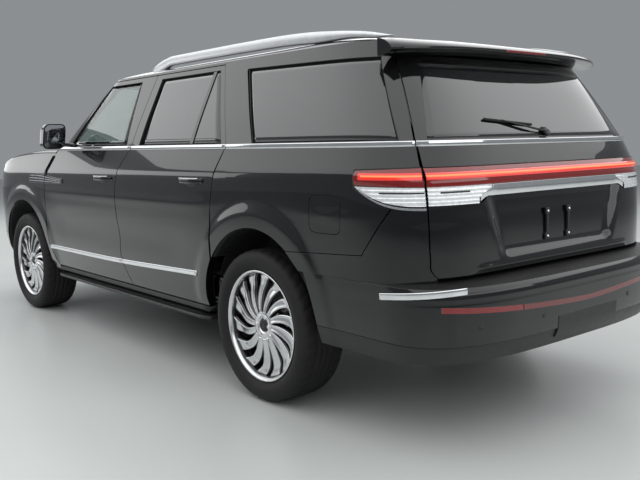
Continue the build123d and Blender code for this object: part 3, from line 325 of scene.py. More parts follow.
# %% The shared effects
def mottle_group():
    """Mask = noise at the given scale, sharpened about one half by the contrast."""
    group, start, end = new_group("mottle", [("Scale", 8), ("Contrast", 1)], ["Mask"])
    noise = object_noise(group, start.outputs["Scale"], 3)
    spread = math_node(group, "MULTIPLY", math_node(group, "SUBTRACT", noise, 0.5), start.outputs["Contrast"])
    end_value = math_node(group, "ADD", spread, 0.5)
    group.links.new(end_value, end.inputs["Mask"])
    return group


def grain_group():
    """Height = cell distance of small pebbles plus a fine noise, for leather and moulded plastic."""
    group, start, end = new_group("grain", [("Scale", 400)], ["Height"])
    cells = group.nodes.new("ShaderNodeTexVoronoi")
    place = group.nodes.new("ShaderNodeTexCoord")
    group.links.new(place.outputs["Object"], cells.inputs["Vector"])
    group.links.new(start.outputs["Scale"], cells.inputs["Scale"])
    fine = object_noise(group, math_node(group, "MULTIPLY", start.outputs["Scale"], 2.5), 2)
    height = math_node(group, "ADD", cells.outputs["Distance"], math_node(group, "MULTIPLY", fine, 0.35))
    group.links.new(height, end.inputs["Height"])
    return group


def brush_group():
    """Height and Mask = noise pulled out 60 times along the brushing direction, which is Y."""
    group, start, end = new_group("brush", [("Scale", 900)], ["Height", "Mask"])
    lines = object_noise(group, start.outputs["Scale"], 2, stretch=(1, 1 / 60, 1))
    group.links.new(lines, end.inputs["Height"])
    broad = object_noise(group, math_node(group, "MULTIPLY", start.outputs["Scale"], 0.01), 2)
    group.links.new(math_node(group, "ADD", math_node(group, "MULTIPLY", lines, 0.5),
                              math_node(group, "MULTIPLY", broad, 0.5)), end.inputs["Mask"])
    return group


def dust_group():
    """Mask = one near the ground, falling to nothing at the given height, broken up by noise."""
    group, start, end = new_group("road_dust", [("Height", 0.7), ("Amount", 1)], ["Mask"])
    place = group.nodes.new("ShaderNodeTexCoord")
    split = group.nodes.new("ShaderNodeSeparateXYZ")
    group.links.new(place.outputs["Object"], split.inputs[0])
    rise = math_node(group, "DIVIDE", split.outputs["Z"], start.outputs["Height"])
    low = math_node(group, "MAXIMUM", math_node(group, "SUBTRACT", 1, rise), 0)
    patches = math_node(group, "MULTIPLY", object_noise(group, 23, 5, 0.65), start.outputs["Amount"])
    group.links.new(math_node(group, "MULTIPLY", low, patches), end.inputs["Mask"])
    return group


MOTTLE, GRAIN, BRUSH, DUST = mottle_group(), grain_group(), brush_group(), dust_group()
print("groups:", [g.name for g in (MOTTLE, GRAIN, BRUSH, DUST)])

# %% [markdown]
# One maker writes every finish. Two colours are mixed by the mottle, roughness runs between two
# values by the same mask, dust lightens the low parts, and a Bump node turns grain, brush lines
# or the faint ripple of sprayed paint into a normal. Constants stay on the shader's own sockets.

# %% The finish maker
def placed_group(tree, group, **values):
    """A group node in a material, with its inputs set."""
    node = tree.nodes.new("ShaderNodeGroup")
    node.node_tree = group
    for label, value in values.items():
        node.inputs[label].default_value = value
    return node


def finish(name, dark, light, rough=(0.3, 0.4), slot=None, mottle=8.0, contrast=1.4, dust=0.0, dust_height=0.9,
           bump=None, bump_scale=400, strength=0.1, distance=0.0005, **constants):
    """The slot argument is not used.
    Pieces that wear it go to the slot of its own name, unless another is given."""
    material = bpy.data.materials.new(name)
    material.use_nodes = True
    tree = material.node_tree
    shader = tree.nodes["Principled BSDF"]
    mask = placed_group(tree, MOTTLE, Scale=mottle, Contrast=contrast).outputs["Mask"]
    clamped = tree.nodes.new("ShaderNodeClamp")
    tree.links.new(mask, clamped.inputs["Value"])
    mask = clamped.outputs["Result"]
    colour = tree.nodes.new("ShaderNodeMix")
    colour.data_type = "RGBA"
    colour_out = [s for s in colour.outputs if s.type == "RGBA"][0]
    ends = [s for s in colour.inputs if s.type == "RGBA"]
    ends[0].default_value, ends[1].default_value = (*dark, 1), (*light, 1)
    tree.links.new(mask, colour.inputs["Factor"])
    rough_value = math_node(tree, "MULTIPLY_ADD", mask, rough[1] - rough[0], rough[0])
    if dust:
        film = placed_group(tree, DUST, Height=dust_height, Amount=dust).outputs["Mask"]
        over = tree.nodes.new("ShaderNodeMix")
        over.data_type = "RGBA"
        over_ends = [s for s in over.inputs if s.type == "RGBA"]
        tree.links.new(film, over.inputs["Factor"])
        tree.links.new(colour_out, over_ends[0])
        over_ends[1].default_value = (0.16, 0.15, 0.14, 1)
        colour_out = [s for s in over.outputs if s.type == "RGBA"][0]
        rough_value = math_node(tree, "MULTIPLY_ADD", film, 0.5, rough_value)
    tree.links.new(colour_out, shader.inputs["Base Color"])
    tree.links.new(rough_value, shader.inputs["Roughness"])
    if bump:
        source = (placed_group(tree, bump, Scale=bump_scale).outputs["Height"]
                  if bump != "ripple" else object_noise(tree, bump_scale, 2))
        relief = tree.nodes.new("ShaderNodeBump")
        relief.inputs["Strength"].default_value = strength
        relief.inputs["Distance"].default_value = distance
        tree.links.new(source, relief.inputs["Height"])
        tree.links.new(relief.outputs["Normal"], shader.inputs["Normal"])
    for label, value in constants.items():
        shader.inputs[label.replace("_", " ")].default_value = value
    return material


print("finish maker ready")

# %% [markdown]
# The paint is a nearly black base under clear coat. Sprayed coat is never flat: a ripple a few
# millimetres across bends reflections slightly. Bright mouldings are polished metal, the roof
# rails satin, and each plastic has its own grain.

# %% The vehicle's finishes
PAINT = finish("gloss_black_paint", (0.0022, 0.0025, 0.0031), (0.0035, 0.0038, 0.0045), (0.16, 0.22), mottle=3,
               dust=0.010, dust_height=0.8, bump="ripple", bump_scale=160, strength=0.02,
               distance=0.0004, Coat_Weight=1.0, Coat_Roughness=0.02, Specular_IOR_Level=0.1)
PILLAR_GLOSS = finish("gloss_black_trim", (0.003, 0.003, 0.003), (0.005, 0.005, 0.005), (0.06, 0.1), "black_trim",
                      mottle=5, Coat_Weight=0.6, Coat_Roughness=0.03)
CHROME = finish("bright_chrome", (0.74, 0.75, 0.77), (0.84, 0.85, 0.86), (0.05, 0.09), "chrome", mottle=14,
                Metallic=1.0, bump="ripple", bump_scale=90, strength=0.02, distance=0.0004)
SATIN = finish("satin_rail", (0.60, 0.61, 0.62), (0.70, 0.71, 0.72), (0.26, 0.34), "satin_silver", mottle=20,
               Metallic=0.85, bump=BRUSH, bump_scale=700, strength=0.05)
TRIM = finish("black_trim", (0.007, 0.007, 0.0075), (0.013, 0.013, 0.013), (0.35, 0.5), mottle=30,
              dust=0.05, bump=GRAIN, bump_scale=900, strength=0.15)
TEXTURED = finish("textured_black", (0.022, 0.023, 0.024), (0.035, 0.036, 0.037), (0.5, 0.62), mottle=25,
                  dust=0.12, bump=GRAIN, bump_scale=650, strength=0.3)
SEAL = finish("seal_rubber", (0.002, 0.002, 0.002), (0.006, 0.006, 0.006), (0.6, 0.8), "black_trim", mottle=40)
RUBBER = finish("tyre_rubber", (0.010, 0.010, 0.010), (0.019, 0.018, 0.018), (0.55, 0.75), mottle=18,
                dust=0.05, bump=GRAIN, bump_scale=1200, strength=0.2, Specular_IOR_Level=0.25)
MACHINED = finish("machined_alloy", (0.66, 0.67, 0.68), (0.80, 0.80, 0.81), (0.18, 0.28), mottle=60, Metallic=1.0,
                  bump=BRUSH, bump_scale=1500, strength=0.04)
WHEEL_BLACK = finish("wheel_black", (0.006, 0.006, 0.007), (0.012, 0.012, 0.013), (0.15, 0.25), "machined_alloy",
                     mottle=20, Coat_Weight=0.7, Coat_Roughness=0.05)
CHASSIS = finish("chassis_black", (0.010, 0.010, 0.010), (0.024, 0.022, 0.020), (0.5, 0.75), mottle=12,
                 dust=0.22, bump=GRAIN, bump_scale=250, strength=0.3)
STEEL = finish("bare_steel", (0.30, 0.29, 0.28), (0.45, 0.44, 0.43), (0.25, 0.45), mottle=30, Metallic=1.0,
               bump=BRUSH, bump_scale=1200, strength=0.06)
CAST = finish("cast_alloy", (0.20, 0.20, 0.20), (0.32, 0.32, 0.33), (0.4, 0.6), mottle=50, Metallic=0.9,
              bump=GRAIN, bump_scale=500, strength=0.25)
LEATHER = finish("seat_leather", (0.020, 0.018, 0.017), (0.036, 0.033, 0.031), (0.38, 0.55), mottle=9,
                 bump=GRAIN, bump_scale=800, strength=0.35, distance=0.0008, Sheen_Weight=0.15)
CABIN = finish("cabin_plastic", (0.016, 0.016, 0.017), (0.028, 0.027, 0.028), (0.45, 0.6), mottle=20,
               bump=GRAIN, bump_scale=700, strength=0.3)
CARPET = finish("carpet", (0.018, 0.018, 0.019), (0.045, 0.044, 0.046), (0.85, 0.98), mottle=350,
                contrast=2.5, bump=GRAIN, bump_scale=1600, strength=0.8, distance=0.003, Sheen_Weight=0.4)
HEADLINER = finish("headliner", (0.30, 0.29, 0.28), (0.36, 0.35, 0.34), (0.8, 0.95), "carpet", mottle=300,
                   bump=GRAIN, bump_scale=1500, strength=0.3)
print("finishes:", len(bpy.data.materials))

# %% [markdown]
# Glass is a thin closed pane. The rear panes are privacy glass: so dark that they mostly mirror
# the room. The front door glass and windscreen are clear with a green cast. Lamp lenses are
# coloured clear plastic over bright reflectors, and the light bar glows.

# %% Glass and lamps
PRIVACY = finish("privacy_glass", (0.010, 0.011, 0.012), (0.014, 0.015, 0.016), (0.02, 0.03), mottle=2,
                 IOR=1.52, Transmission_Weight=0.35, Coat_Weight=1.0, Coat_Roughness=0.01)
CLEAR = finish("clear_glass", (0.62, 0.72, 0.68), (0.66, 0.76, 0.72), (0.01, 0.02), mottle=2,
               IOR=1.5, Transmission_Weight=1.0)
RED_LENS = finish("lamp_red", (0.20, 0.002, 0.0015), (0.28, 0.003, 0.002), (0.06, 0.1), mottle=40,
                  Transmission_Weight=0.25, Coat_Weight=0.8, Coat_Roughness=0.02, IOR=1.49)
DARK_RED = finish("reflector_red", (0.10, 0.003, 0.003), (0.16, 0.006, 0.005), (0.1, 0.16), "lamp_red", mottle=200,
                  contrast=3, Coat_Weight=0.8, Coat_Roughness=0.03)
WHITE_LENS = finish("lamp_clear", (0.62, 0.64, 0.66), (0.86, 0.88, 0.90), (0.08, 0.16), mottle=60,
                    contrast=2, Metallic=0.35, Coat_Weight=1.0, Coat_Roughness=0.02)
GLOW = finish("light_bar", (0.9, 0.10, 0.03), (1.0, 0.16, 0.05), (0.3, 0.4), "lamp_red", mottle=60,
              Emission_Color=(1.0, 0.16, 0.06, 1), Emission_Strength=1.6)
MIRROR = finish("mirror_glass", (0.10, 0.11, 0.12), (0.13, 0.14, 0.15), (0.01, 0.02), "bare_steel", mottle=3,
                Metallic=1.0)
HALO = finish("light_bar_halo", (0.55, 0.02, 0.012), (0.70, 0.03, 0.02), (0.1, 0.2), "lamp_red", mottle=60,
              Coat_Weight=0.8, Coat_Roughness=0.03, Emission_Color=(0.9, 0.03, 0.015, 1), Emission_Strength=0.45)
print("glass and lamps ready")

# %% [markdown]
# ## The form of the body
# The body is a stack of plan outlines. Each outline has straight sides and two rounded ends that
# are quarter superellipses, |x/a|^p + |y/b|^p = 1. Because the formula can be solved for x or for
# y, one form answers both questions that panels ask: how far out is the side at (y, z), and how
# far back is the tail at (x, z). Between the levels each size follows a cubic curve.

# %% Levels and the curves between them
BODY_LEVELS = np.array([  # height, tuck-in of the side, setback of the nose, setback of the tail
    (0.290, 0.090, 0.130, 0.190), (0.400, 0.053, 0.060, 0.178), (0.560, 0.018, 0.010, 0.168),
    (0.800, 0.002, 0.000, 0.163), (1.010, 0.000, 0.020, 0.168), (1.160, 0.008, 0.060, 0.178),
    (1.270, 0.028, 0.110, 0.213), (BELT_Z, 0.051, 0.150, 0.243)])
CABIN_LEVELS = np.array([  # height, tuck-in, screen behind the front axle, tail setback, corner depth
    (BELT_Z, 0.055, 0.418, 0.247, 0.560), (1.500, 0.101, 0.660, 0.338, 0.480),
    (1.650, 0.154, 0.915, 0.432, 0.400), (1.825, 0.218, 1.225, 0.556, 0.320)])
ROOF_Z = CABIN_LEVELS[-1, 0]
NOSE_DEPTH, TAIL_DEPTH = 0.82, 0.90
NOSE_POWER, SCREEN_POWER, TAIL_POWER = 4, 3, 6


def flow(x, knots, values):
    """Cubic Hermite curve through the knots; the slope at a knot is the chord between its neighbours."""
    x, knots, values = np.asarray(x, float), np.asarray(knots, float), np.asarray(values, float)
    slopes = np.gradient(values, knots)
    k = np.clip(np.searchsorted(knots, x) - 1, 0, len(knots) - 2)
    h = knots[k + 1] - knots[k]
    t = np.clip((x - knots[k]) / h, 0, 1)
    a, b = 2 * t**3 - 3 * t**2 + 1, t**3 - 2 * t**2 + t
    return a * values[k] + (1 - a) * values[k + 1] + (b * slopes[k] + (t**3 - t**2) * slopes[k + 1]) * h


def read(table, place, column):
    """One column of a table as a smooth function of its first column."""
    return flow(place, table[:, 0], table[:, column])


def smooth(x, low, high):
    """0 below low, 1 above high and 3t^2 - 2t^3 between."""
    t = np.clip((x - low) / (high - low), 0, 1)
    return t * t * (3 - 2 * t)


def near(x, centre, width):
    """A soft bump, exp(-((x - centre) / width)^2)."""
    return np.exp(-(((x - centre) / width) ** 2))


def rounded_end(share, power):
    """The other share of a superellipse quarter: (1 - share^p)^(1/p)."""
    return np.maximum(1 - np.clip(share, 0, 1) ** power, 0) ** (1 / power)


print("body levels", len(BODY_LEVELS), "cabin levels", len(CABIN_LEVELS))

# %% [markdown]
# The side has its own sculpture. A crease runs under the belt: below it the side stands upright,
# above it leans in, so it is the lower of two widths. The doors are scooped between the axles,
# and a flat flare stands proud around each wheel arch.

# %% The side of the lower body
SCOOP_DEPTH, FLARE = 0.007, 0.009
CREASE_FRONT, CREASE_RISE = 1.176, 0.011


def crease_z(y):
    """Height of the crease, rising gently towards the tail."""
    return CREASE_FRONT + CREASE_RISE * (y - NOSE_Y - 0.9)


def arch_distance(y, z):
    """Distance from the nearer wheel arch centre."""
    return np.minimum(np.hypot(y - FRONT_AXLE, z - ARCH_Z), np.hypot(y - REAR_AXLE, z - ARCH_Z))


def half_width(y, z):
    """The lower of the upright side and the plane leaning in above the crease, with a soft corner."""
    low = HALF_WIDTH - read(BODY_LEVELS, np.minimum(z, 1.01), 1)
    low = low - 0.006 * smooth(z, 1.01, 1.30)
    lean = 0.045 / (BELT_Z - crease_z(y))
    high = HALF_WIDTH - 0.051 + lean * (BELT_Z - z)
    soft = 0.0016
    return -soft * np.logaddexp(-low / soft, -high / soft)


def side_relief(y, z):
    """How far sculpture pulls the side in: the door scoop, less the flares round the arches."""
    r = arch_distance(y, z)
    away = smooth(r, 0.60, 0.95)
    scoop = SCOOP_DEPTH * near(z, 0.76, 0.13) * away - 0.003 * near(z, 1.02, 0.035) * away
    return scoop - FLARE * (1 - smooth(r, 0.570, 0.640)) * smooth(z, 0.42, 0.5)


print("side sculpture ready")

# %% [markdown]
# With breadth and sculpture known, the outline's formula is solved both ways: x from (y, z) for the
# sides, and y from (x, z) for the two ends, once for the lower body and once for the glasshouse.

# %% The form solved for x and for y
def end_shares(y, z, table, nose_depth, tail_depth, nose_y):
    """How far a point is into the rounded nose and tail, each from 0 to 1."""
    tail = TAIL_Y - read(table, z, 3)
    return (nose_y + nose_depth - y) / nose_depth, (y - tail + tail_depth) / tail_depth


def nose_front(z):
    """The foremost y of the lower body at height z."""
    return NOSE_Y + np.maximum(read(BODY_LEVELS, z, 2), 0.004)


def side_x(y, z):
    """Half breadth of the lower body at (y, z)."""
    y, z = np.broadcast_arrays(np.asarray(y, float), np.asarray(z, float))
    nose = nose_front(z)
    front, back = end_shares(y, z, BODY_LEVELS, NOSE_DEPTH, TAIL_DEPTH, nose)
    width = half_width(y, z) - side_relief(y, z) * (1 - smooth(back, 0.3, 0.8)) * (1 - smooth(front, 0.5, 0.9))
    return width * rounded_end(front, NOSE_POWER) * rounded_end(back, TAIL_POWER)


def tail_y(x, z):
    """How far back the lower body is at (x, z)."""
    x, z = np.broadcast_arrays(np.asarray(x, float), np.asarray(z, float))
    tail = TAIL_Y - read(BODY_LEVELS, z, 3)
    return tail - TAIL_DEPTH + TAIL_DEPTH * rounded_end(np.abs(x) / half_width(TAIL_Y - 0.3, z), TAIL_POWER)


def nose_y(x, z):
    """How far forward the lower body is at (x, z)."""
    x, z = np.broadcast_arrays(np.asarray(x, float), np.asarray(z, float))
    nose = nose_front(z)
    return nose + NOSE_DEPTH - NOSE_DEPTH * rounded_end(np.abs(x) / half_width(NOSE_Y + 0.9, z), NOSE_POWER)


def cabin_x(y, z):
    """Half breadth of the glasshouse at (y, z)."""
    y, z = np.broadcast_arrays(np.asarray(y, float), np.asarray(z, float))
    table = CABIN_LEVELS
    corner = read(table, z, 4)
    screen = FRONT_AXLE + read(table, z, 2)
    front, back = end_shares(y, z, table, corner, TAIL_DEPTH, screen)
    width = HALF_WIDTH - read(table, z, 1)
    return width * rounded_end(front, SCREEN_POWER) * rounded_end(back, TAIL_POWER)


def cabin_tail_y(x, z):
    """How far back the glasshouse is at (x, z)."""
    x, z = np.broadcast_arrays(np.asarray(x, float), np.asarray(z, float))
    width = HALF_WIDTH - read(CABIN_LEVELS, z, 1)
    tail = TAIL_Y - read(CABIN_LEVELS, z, 3)
    return tail - TAIL_DEPTH + TAIL_DEPTH * rounded_end(np.abs(x) / width, TAIL_POWER)


def screen_y(x, z):
    """How far forward the glasshouse is at (x, z)."""
    x, z = np.broadcast_arrays(np.asarray(x, float), np.asarray(z, float))
    width = HALF_WIDTH - read(CABIN_LEVELS, z, 1)
    corner = read(CABIN_LEVELS, z, 4)
    return (FRONT_AXLE + read(CABIN_LEVELS, z, 2) + corner
            - corner * rounded_end(np.abs(x) / width, SCREEN_POWER))


print("breadth at the doors", round(float(2 * side_x(0, 0.9)), 3), "tail at", round(float(tail_y(0, 0.9)), 3))

# %% [markdown]
# Panels are drawn in side view or rear view and then laid on the form. A panel between two curves
# is a ruled grid: matching points on its two edges are joined by straight rows. A frame round a
# window is the same thing with a closed edge inside a closed edge.

# %% Laying drawn panels on the form
def along(points, steps, closed=False):
    """Evenly divides each stretch of a polyline; steps is a number for each stretch."""
    points = np.asarray(points, float)
    if closed:
        points = np.concatenate([points, points[:1]])
    parts = [np.linspace(a, b, n, endpoint=False) for a, b, n in zip(points[:-1], points[1:], steps)]
    return np.concatenate(parts if closed else parts + [points[-1:]])


def ruled(first, second, rows):
    """A grid of straight rows from one curve to another with the same number of points."""
    t = np.linspace(0, 1, rows)[:, None, None]
    return blend(first[None], second[None], t)


def fixed(value):
    """An edge that stays at one value."""
    return lambda place: value + 0 * place


def on_side(plan, surface, out=0.0):
    """Side view points (y, z) placed on a surface x = f(y, z)."""
    y, z = plan[..., 0], plan[..., 1]
    return coords(surface(y, z) + out, y, z)


def on_end(plan, surface, out=0.0):
    """End view points (x, z) placed on a surface y = f(x, z)."""
    x, z = plan[..., 0], plan[..., 1]
    return coords(x, surface(x, z) + out, z)


def between_edges(heights, first, second, columns):
    """A grid of (y, z): each row at one height runs from the first edge to the second."""
    heights = np.asarray(heights, float)[:, None]
    t = across(0, 1, columns)
    y = blend(first(heights), second(heights), t)
    return coords(y, heights)


print("panel tools ready")

# %% [markdown]
# ## Side doors
# A pressed door is one skin that carries the crease, the scoop and the wheel-arch flare across
# its shut lines without a step. Each edge is a curve y = f(z); the front door starts along the
# fender, the two doors share a cut, and the rear door bends round the arch.

# %% Door edges
LOWER_Z, UPPER_Z = 0.4385, 1.335
DOOR_TOP_Z, WINDOW_LOW_Z, WINDOW_TOP_Z = 1.806, 1.362, 1.780
FRONT_EDGE = np.array([(0.436, 0.132), (0.614, 0.033), (0.825, 0.005), (1.003, 0.000), (1.090, 0.014),
                       (1.150, 0.040), (1.240, 0.108), (1.318, 0.194), (1.345, 0.231)])
MIDDLE_EDGE = np.array([(0.436, 0.130), (0.626, 0.028), (0.778, 0.026), (0.870, 0.010), (0.983, 0.000),
                        (1.090, 0.006), (1.175, 0.032), (1.257, 0.088), (1.345, 0.164)])
BACK_EDGE = np.array([(0.436, 0.000), (1.010, 0.000), (1.154, 0.027), (1.287, 0.077), (1.345, 0.106)])


def edge_curve(table, start, shift):
    """y of a shut line at height z, moved by shift."""
    return lambda z: start + shift + read(table, z, 1)


def arch_front_y(radius):
    """y where a circle round the rear arch centre meets height z, ahead of the axle."""
    return lambda z: REAR_AXLE - np.sqrt(np.maximum(radius**2 - (z - ARCH_Z) ** 2, 0))


front_edge = edge_curve(FRONT_EDGE, FRONT_CUT, GAP / 2)
middle_edge_front = edge_curve(MIDDLE_EDGE, CENTRE_CUT, -GAP / 2)
middle_edge_back = edge_curve(MIDDLE_EDGE, CENTRE_CUT, GAP / 2)
back_edge_straight = edge_curve(BACK_EDGE, REAR_CUT, -GAP / 2)


def back_edge(z):
    """The rear door ends at its shut line or at the wheel arch, whichever comes first."""
    return np.minimum(back_edge_straight(z), arch_front_y(ARCH_RADIUS + GAP)(z))


DOORS = {"front_door": (front_edge, middle_edge_front), "rear_door": (middle_edge_back, back_edge)}
print("front door length at the belt", round(float(middle_edge_front(1.3) - front_edge(1.3)), 3))

# %% [markdown]
# The skin is laid on the side, given a slab's thickness and a small rounded edge. Behind it lies
# the trim card, set in from every edge, with an armrest that bulges into the cabin.

# %% Door skins and trim cards
SKIN_THICKNESS, CARD_OUT = 0.055, 0.066


def door_card_depth(y, z, centre):
    """The card's distance behind the skin: flat, with an armrest and a pocket standing out."""
    arm = 0.035 * near(z, 0.98, 0.05) * smooth(y, centre - 0.55, centre - 0.35)
    pocket = 0.022 * near(z, 0.62, 0.09)
    return CARD_OUT + (arm + pocket) * (1 - smooth(np.abs(y - centre), 0.35, 0.5))


for part, (start, stop) in DOORS.items():
    plan = between_edges(np.linspace(LOWER_Z, UPPER_Z, 64), start, stop, 38)
    card = between_edges(np.linspace(LOWER_Z + 0.03, UPPER_Z - 0.01, 24), lambda z: start(z) + 0.03,
                         lambda z: stop(z) - 0.03, 18)
    body = f"{part}_SIDE_panel"
    sheet_piece(f"{part}_skin_SIDE", on_side(plan, side_x), PAINT, body, thickness=SKIN_THICKNESS, bevel=0.0022,
                replaces=f"{part}_SIDE")
    lining = on_side(card, side_x)
    lining[..., 0] -= door_card_depth(card[..., 0], card[..., 1], card[..., 0].mean())
    sheet_piece(f"{part}_card_SIDE", lining, CABIN, body, thickness=0.008)
print("door skins", plan.shape)

# %% [markdown]
# The window frames are rings: a closed outer edge, a closed inner edge, and rows between. They
# follow the glasshouse, which leans in more than the doors. A second ring, rounded and narrow,
# is the rubber seal that the glass runs in.

# %% Window frames, glass and seals
def cabin_front_y(z):
    """y of the front door frame's leading edge along the windscreen pillar."""
    return FRONT_CUT + 0.194 + (z - 1.318) * (0.866 - 0.194) / (DOOR_TOP_Z - 1.318)


FRAME_LOW = 1.345
FRAMES = {
    "front_door": (
        [(cabin_front_y(FRAME_LOW) + GAP, FRAME_LOW), (cabin_front_y(DOOR_TOP_Z) + GAP, DOOR_TOP_Z),
         (CENTRE_CUT + 0.286 - GAP / 2, DOOR_TOP_Z), (CENTRE_CUT + 0.164 - GAP / 2, FRAME_LOW)],
        [(FRONT_CUT + 0.431, WINDOW_LOW_Z), (FRONT_CUT + 0.871, WINDOW_TOP_Z),
         (CENTRE_CUT + 0.092, WINDOW_TOP_Z), (CENTRE_CUT + 0.098, WINDOW_LOW_Z)]),
    "rear_door": (
        [(CENTRE_CUT + 0.164 + GAP / 2, FRAME_LOW), (CENTRE_CUT + 0.286 + GAP / 2, DOOR_TOP_Z),
         (REAR_CUT - 0.115, DOOR_TOP_Z), (REAR_CUT + 0.104, FRAME_LOW)],
        [(CENTRE_CUT + 0.268, WINDOW_LOW_Z), (CENTRE_CUT + 0.360, WINDOW_TOP_Z),
         (REAR_CUT - 0.145, WINDOW_TOP_Z), (REAR_CUT + 0.050, WINDOW_LOW_Z)]),
}
FRAME_STEPS = (24, 30, 24, 30)
PANE_SET, PANE_THICK = 0.007, 0.005


def inner_ring(opening, share):
    """A narrow ring inside a closed outline, drawn towards its middle."""
    middle = opening.mean(0)
    return ruled(opening, middle + (opening - middle) * share, 3)


def window_parts(name, outer, inner, body, glass, node):
    """Frame ring, seal ring and pane of one side window."""
    outside, opening = along(outer, FRAME_STEPS, True), along(inner, FRAME_STEPS, True)
    sheet_piece(f"{name}_frame_SIDE", on_side(ruled(outside, opening, 5), cabin_x), PILLAR_GLOSS, body,
                thickness=0.034, bevel=0.0015, closed=True)
    sheet_piece(f"{name}_seal_SIDE", on_side(inner_ring(opening, 0.982), cabin_x, -0.004), SEAL, body,
                thickness=0.004, bevel=0, closed=True)
    low, top = np.array(inner, float)[[0, 3]], np.array(inner, float)[[1, 2]]
    pane_plan = ruled(np.linspace(*low, 14), np.linspace(*top, 14), 12)
    sheet_piece(f"{name}_glass_SIDE", on_side(pane_plan, cabin_x, -PANE_SET), glass, body,
                thickness=PANE_THICK, bevel=0, replaces=node)


for part, (outer, inner) in FRAMES.items():
    window_parts(f"{part}_window", outer, inner, f"{part}_SIDE_panel",
                 CLEAR if part == "front_door" else PRIVACY, f"{part}_window_SIDE")
print("window frames", len(FRAMES) * 2)

# %% [markdown]
# A bright moulding runs along the belt, and a second one low on the doors. Each is a rounded bar
# swept along the surface, cut at every shut line so that the doors can open. The handle is a
# bowed grip with a bright upper edge and a cup pressed into the door behind it.

# %% Mouldings along the side
BELT_BAR = round_section(0.010, 0.026, 0.004)
LOW_BAR = round_section(0.012, 0.030, 0.004)


def bar_along_side(name, y_from, y_to, height, section, out, body="root", steps=40):
    """A bright bar swept along the body side from one y to another at height(y)."""
    y = np.linspace(y_from, y_to, steps)
    z = height(y)
    solid_piece(f"{name}_SIDE", swept(coords(side_x(y, z) + out, y, z), section), CHROME, body)


def low_height(y):
    """The lower moulding rises towards the rear wheel."""
    return flow(y, [-1.32, -0.07, 0.92], [0.581, 0.592, 0.624])


BELT_BAR_Z = 1.348
belt_height = fixed(BELT_BAR_Z)
BELT_SPANS = {"front_door": (cabin_front_y(1.335) + 0.012, float(middle_edge_front(FRAME_LOW))),
              "rear_door": (float(middle_edge_back(FRAME_LOW)), float(back_edge(FRAME_LOW)))}
LOW_SPANS = {"front_door": (float(front_edge(0.58)) + 0.012, float(middle_edge_front(0.6))),
             "rear_door": (float(middle_edge_back(0.6)), 0.912)}
for part in DOORS:
    bar_along_side(f"{part}_belt_bar", *BELT_SPANS[part], belt_height, BELT_BAR, 0.001, f"{part}_SIDE_panel")
    bar_along_side(f"{part}_low_bar", *LOW_SPANS[part], low_height, LOW_BAR, 0.002, f"{part}_SIDE_panel")
print("mouldings placed")

# %% [markdown]
# A handle is a bar you can get a hand behind. It could be a bent cylinder, but a flat rounded section
# swept along a bow keeps the blade-like face of the real one, so the path does the bending.

# %% Door handles
HANDLES = {"front_door": (-0.395, -0.150, 1.146), "rear_door": (0.780, 1.015, 1.158)}
GRIP = round_section(0.018, 0.030, 0.008, 5)
GRIP_BOW = 0.040


def handle_path(y_from, y_to, z):
    """The grip leaves the skin at both ends and runs level between: bow x (1 - |u|^4)."""
    u = np.linspace(-1, 1, 28)
    y = (y_from + y_to) / 2 + u * (y_to - y_from) / 2
    return coords(side_x(y, z) - 0.006 + GRIP_BOW * (1 - u**4), y, z)


for part, (y_from, y_to, z) in HANDLES.items():
    body = f"{part}_SIDE_panel"
    path = handle_path(y_from, y_to, z)
    ease = 1 - 0.35 * np.abs(np.linspace(-1, 1, len(path))) ** 3
    solid_piece(f"{part}_grip_SIDE", swept(path, GRIP, scale=ease), PAINT, body)
    strip = path + [0.003, 0, 0.0145]
    solid_piece(f"{part}_grip_strip_SIDE", swept(strip[2:-2], round_section(0.014, 0.006, 0.002)), CHROME, body)
    turn, reach = full_turn(40), down(0.1, 1, 8)
    cup_y = (y_from + y_to) / 2 + 0.085 * reach * np.cos(turn)
    cup_z = z + 0.026 * reach * np.sin(turn) - 0.006
    sheet_piece(f"{part}_cup_SIDE", coords(side_x(cup_y, cup_z) + 0.0012, cup_y, cup_z), TRIM, body,
                thickness=0.002, bevel=0, closed=True)
print("handles placed")

# %% [markdown]
# The rear door window is divided by an upright bar, and black appliques cover the pillar ends.
# The mirror is a rounded box on a short foot: its outline shrinks towards the back, and its
# glass sits in the rear face.

# %% Division bars and mirrors
DIVISION = ((0.813, 1.367), (0.888, 1.778))
t = down(0, 1, 16)
bar_line = blend(np.array(DIVISION[0]), np.array(DIVISION[1]), t)
bar_plan = np.stack([bar_line + [offset, 0] for offset in (-0.016, -0.006, 0.006, 0.016)], axis=1)
sheet_piece("rear_door_division_SIDE", on_side(bar_plan, cabin_x, -0.002), PILLAR_GLOSS,
            body="rear_door_SIDE_panel", thickness=0.008)


def mirror_shell():
    """Rounded box: superellipse sections (x, z) from front to back, bulging then flat at the glass."""
    low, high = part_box("mirror_left")
    centre = np.array([(HALF_WIDTH + 0.022 + high[0]) / 2, (low[1] + high[1]) / 2, 1.440])
    depth = down(-0.058, 0.050, 12)
    bulge = (1 - np.clip(-(depth - 0.005) / 0.070, 0, 1) ** 2.4) ** 0.5
    x, z = squared(full_turn(48), 2 / 4.5)
    x = x * (high[0] - HALF_WIDTH - 0.022) / 2 * bulge
    z = z * 0.092 * bulge
    return centre + coords(x - 0.12 * (z + 0.09), depth, z)


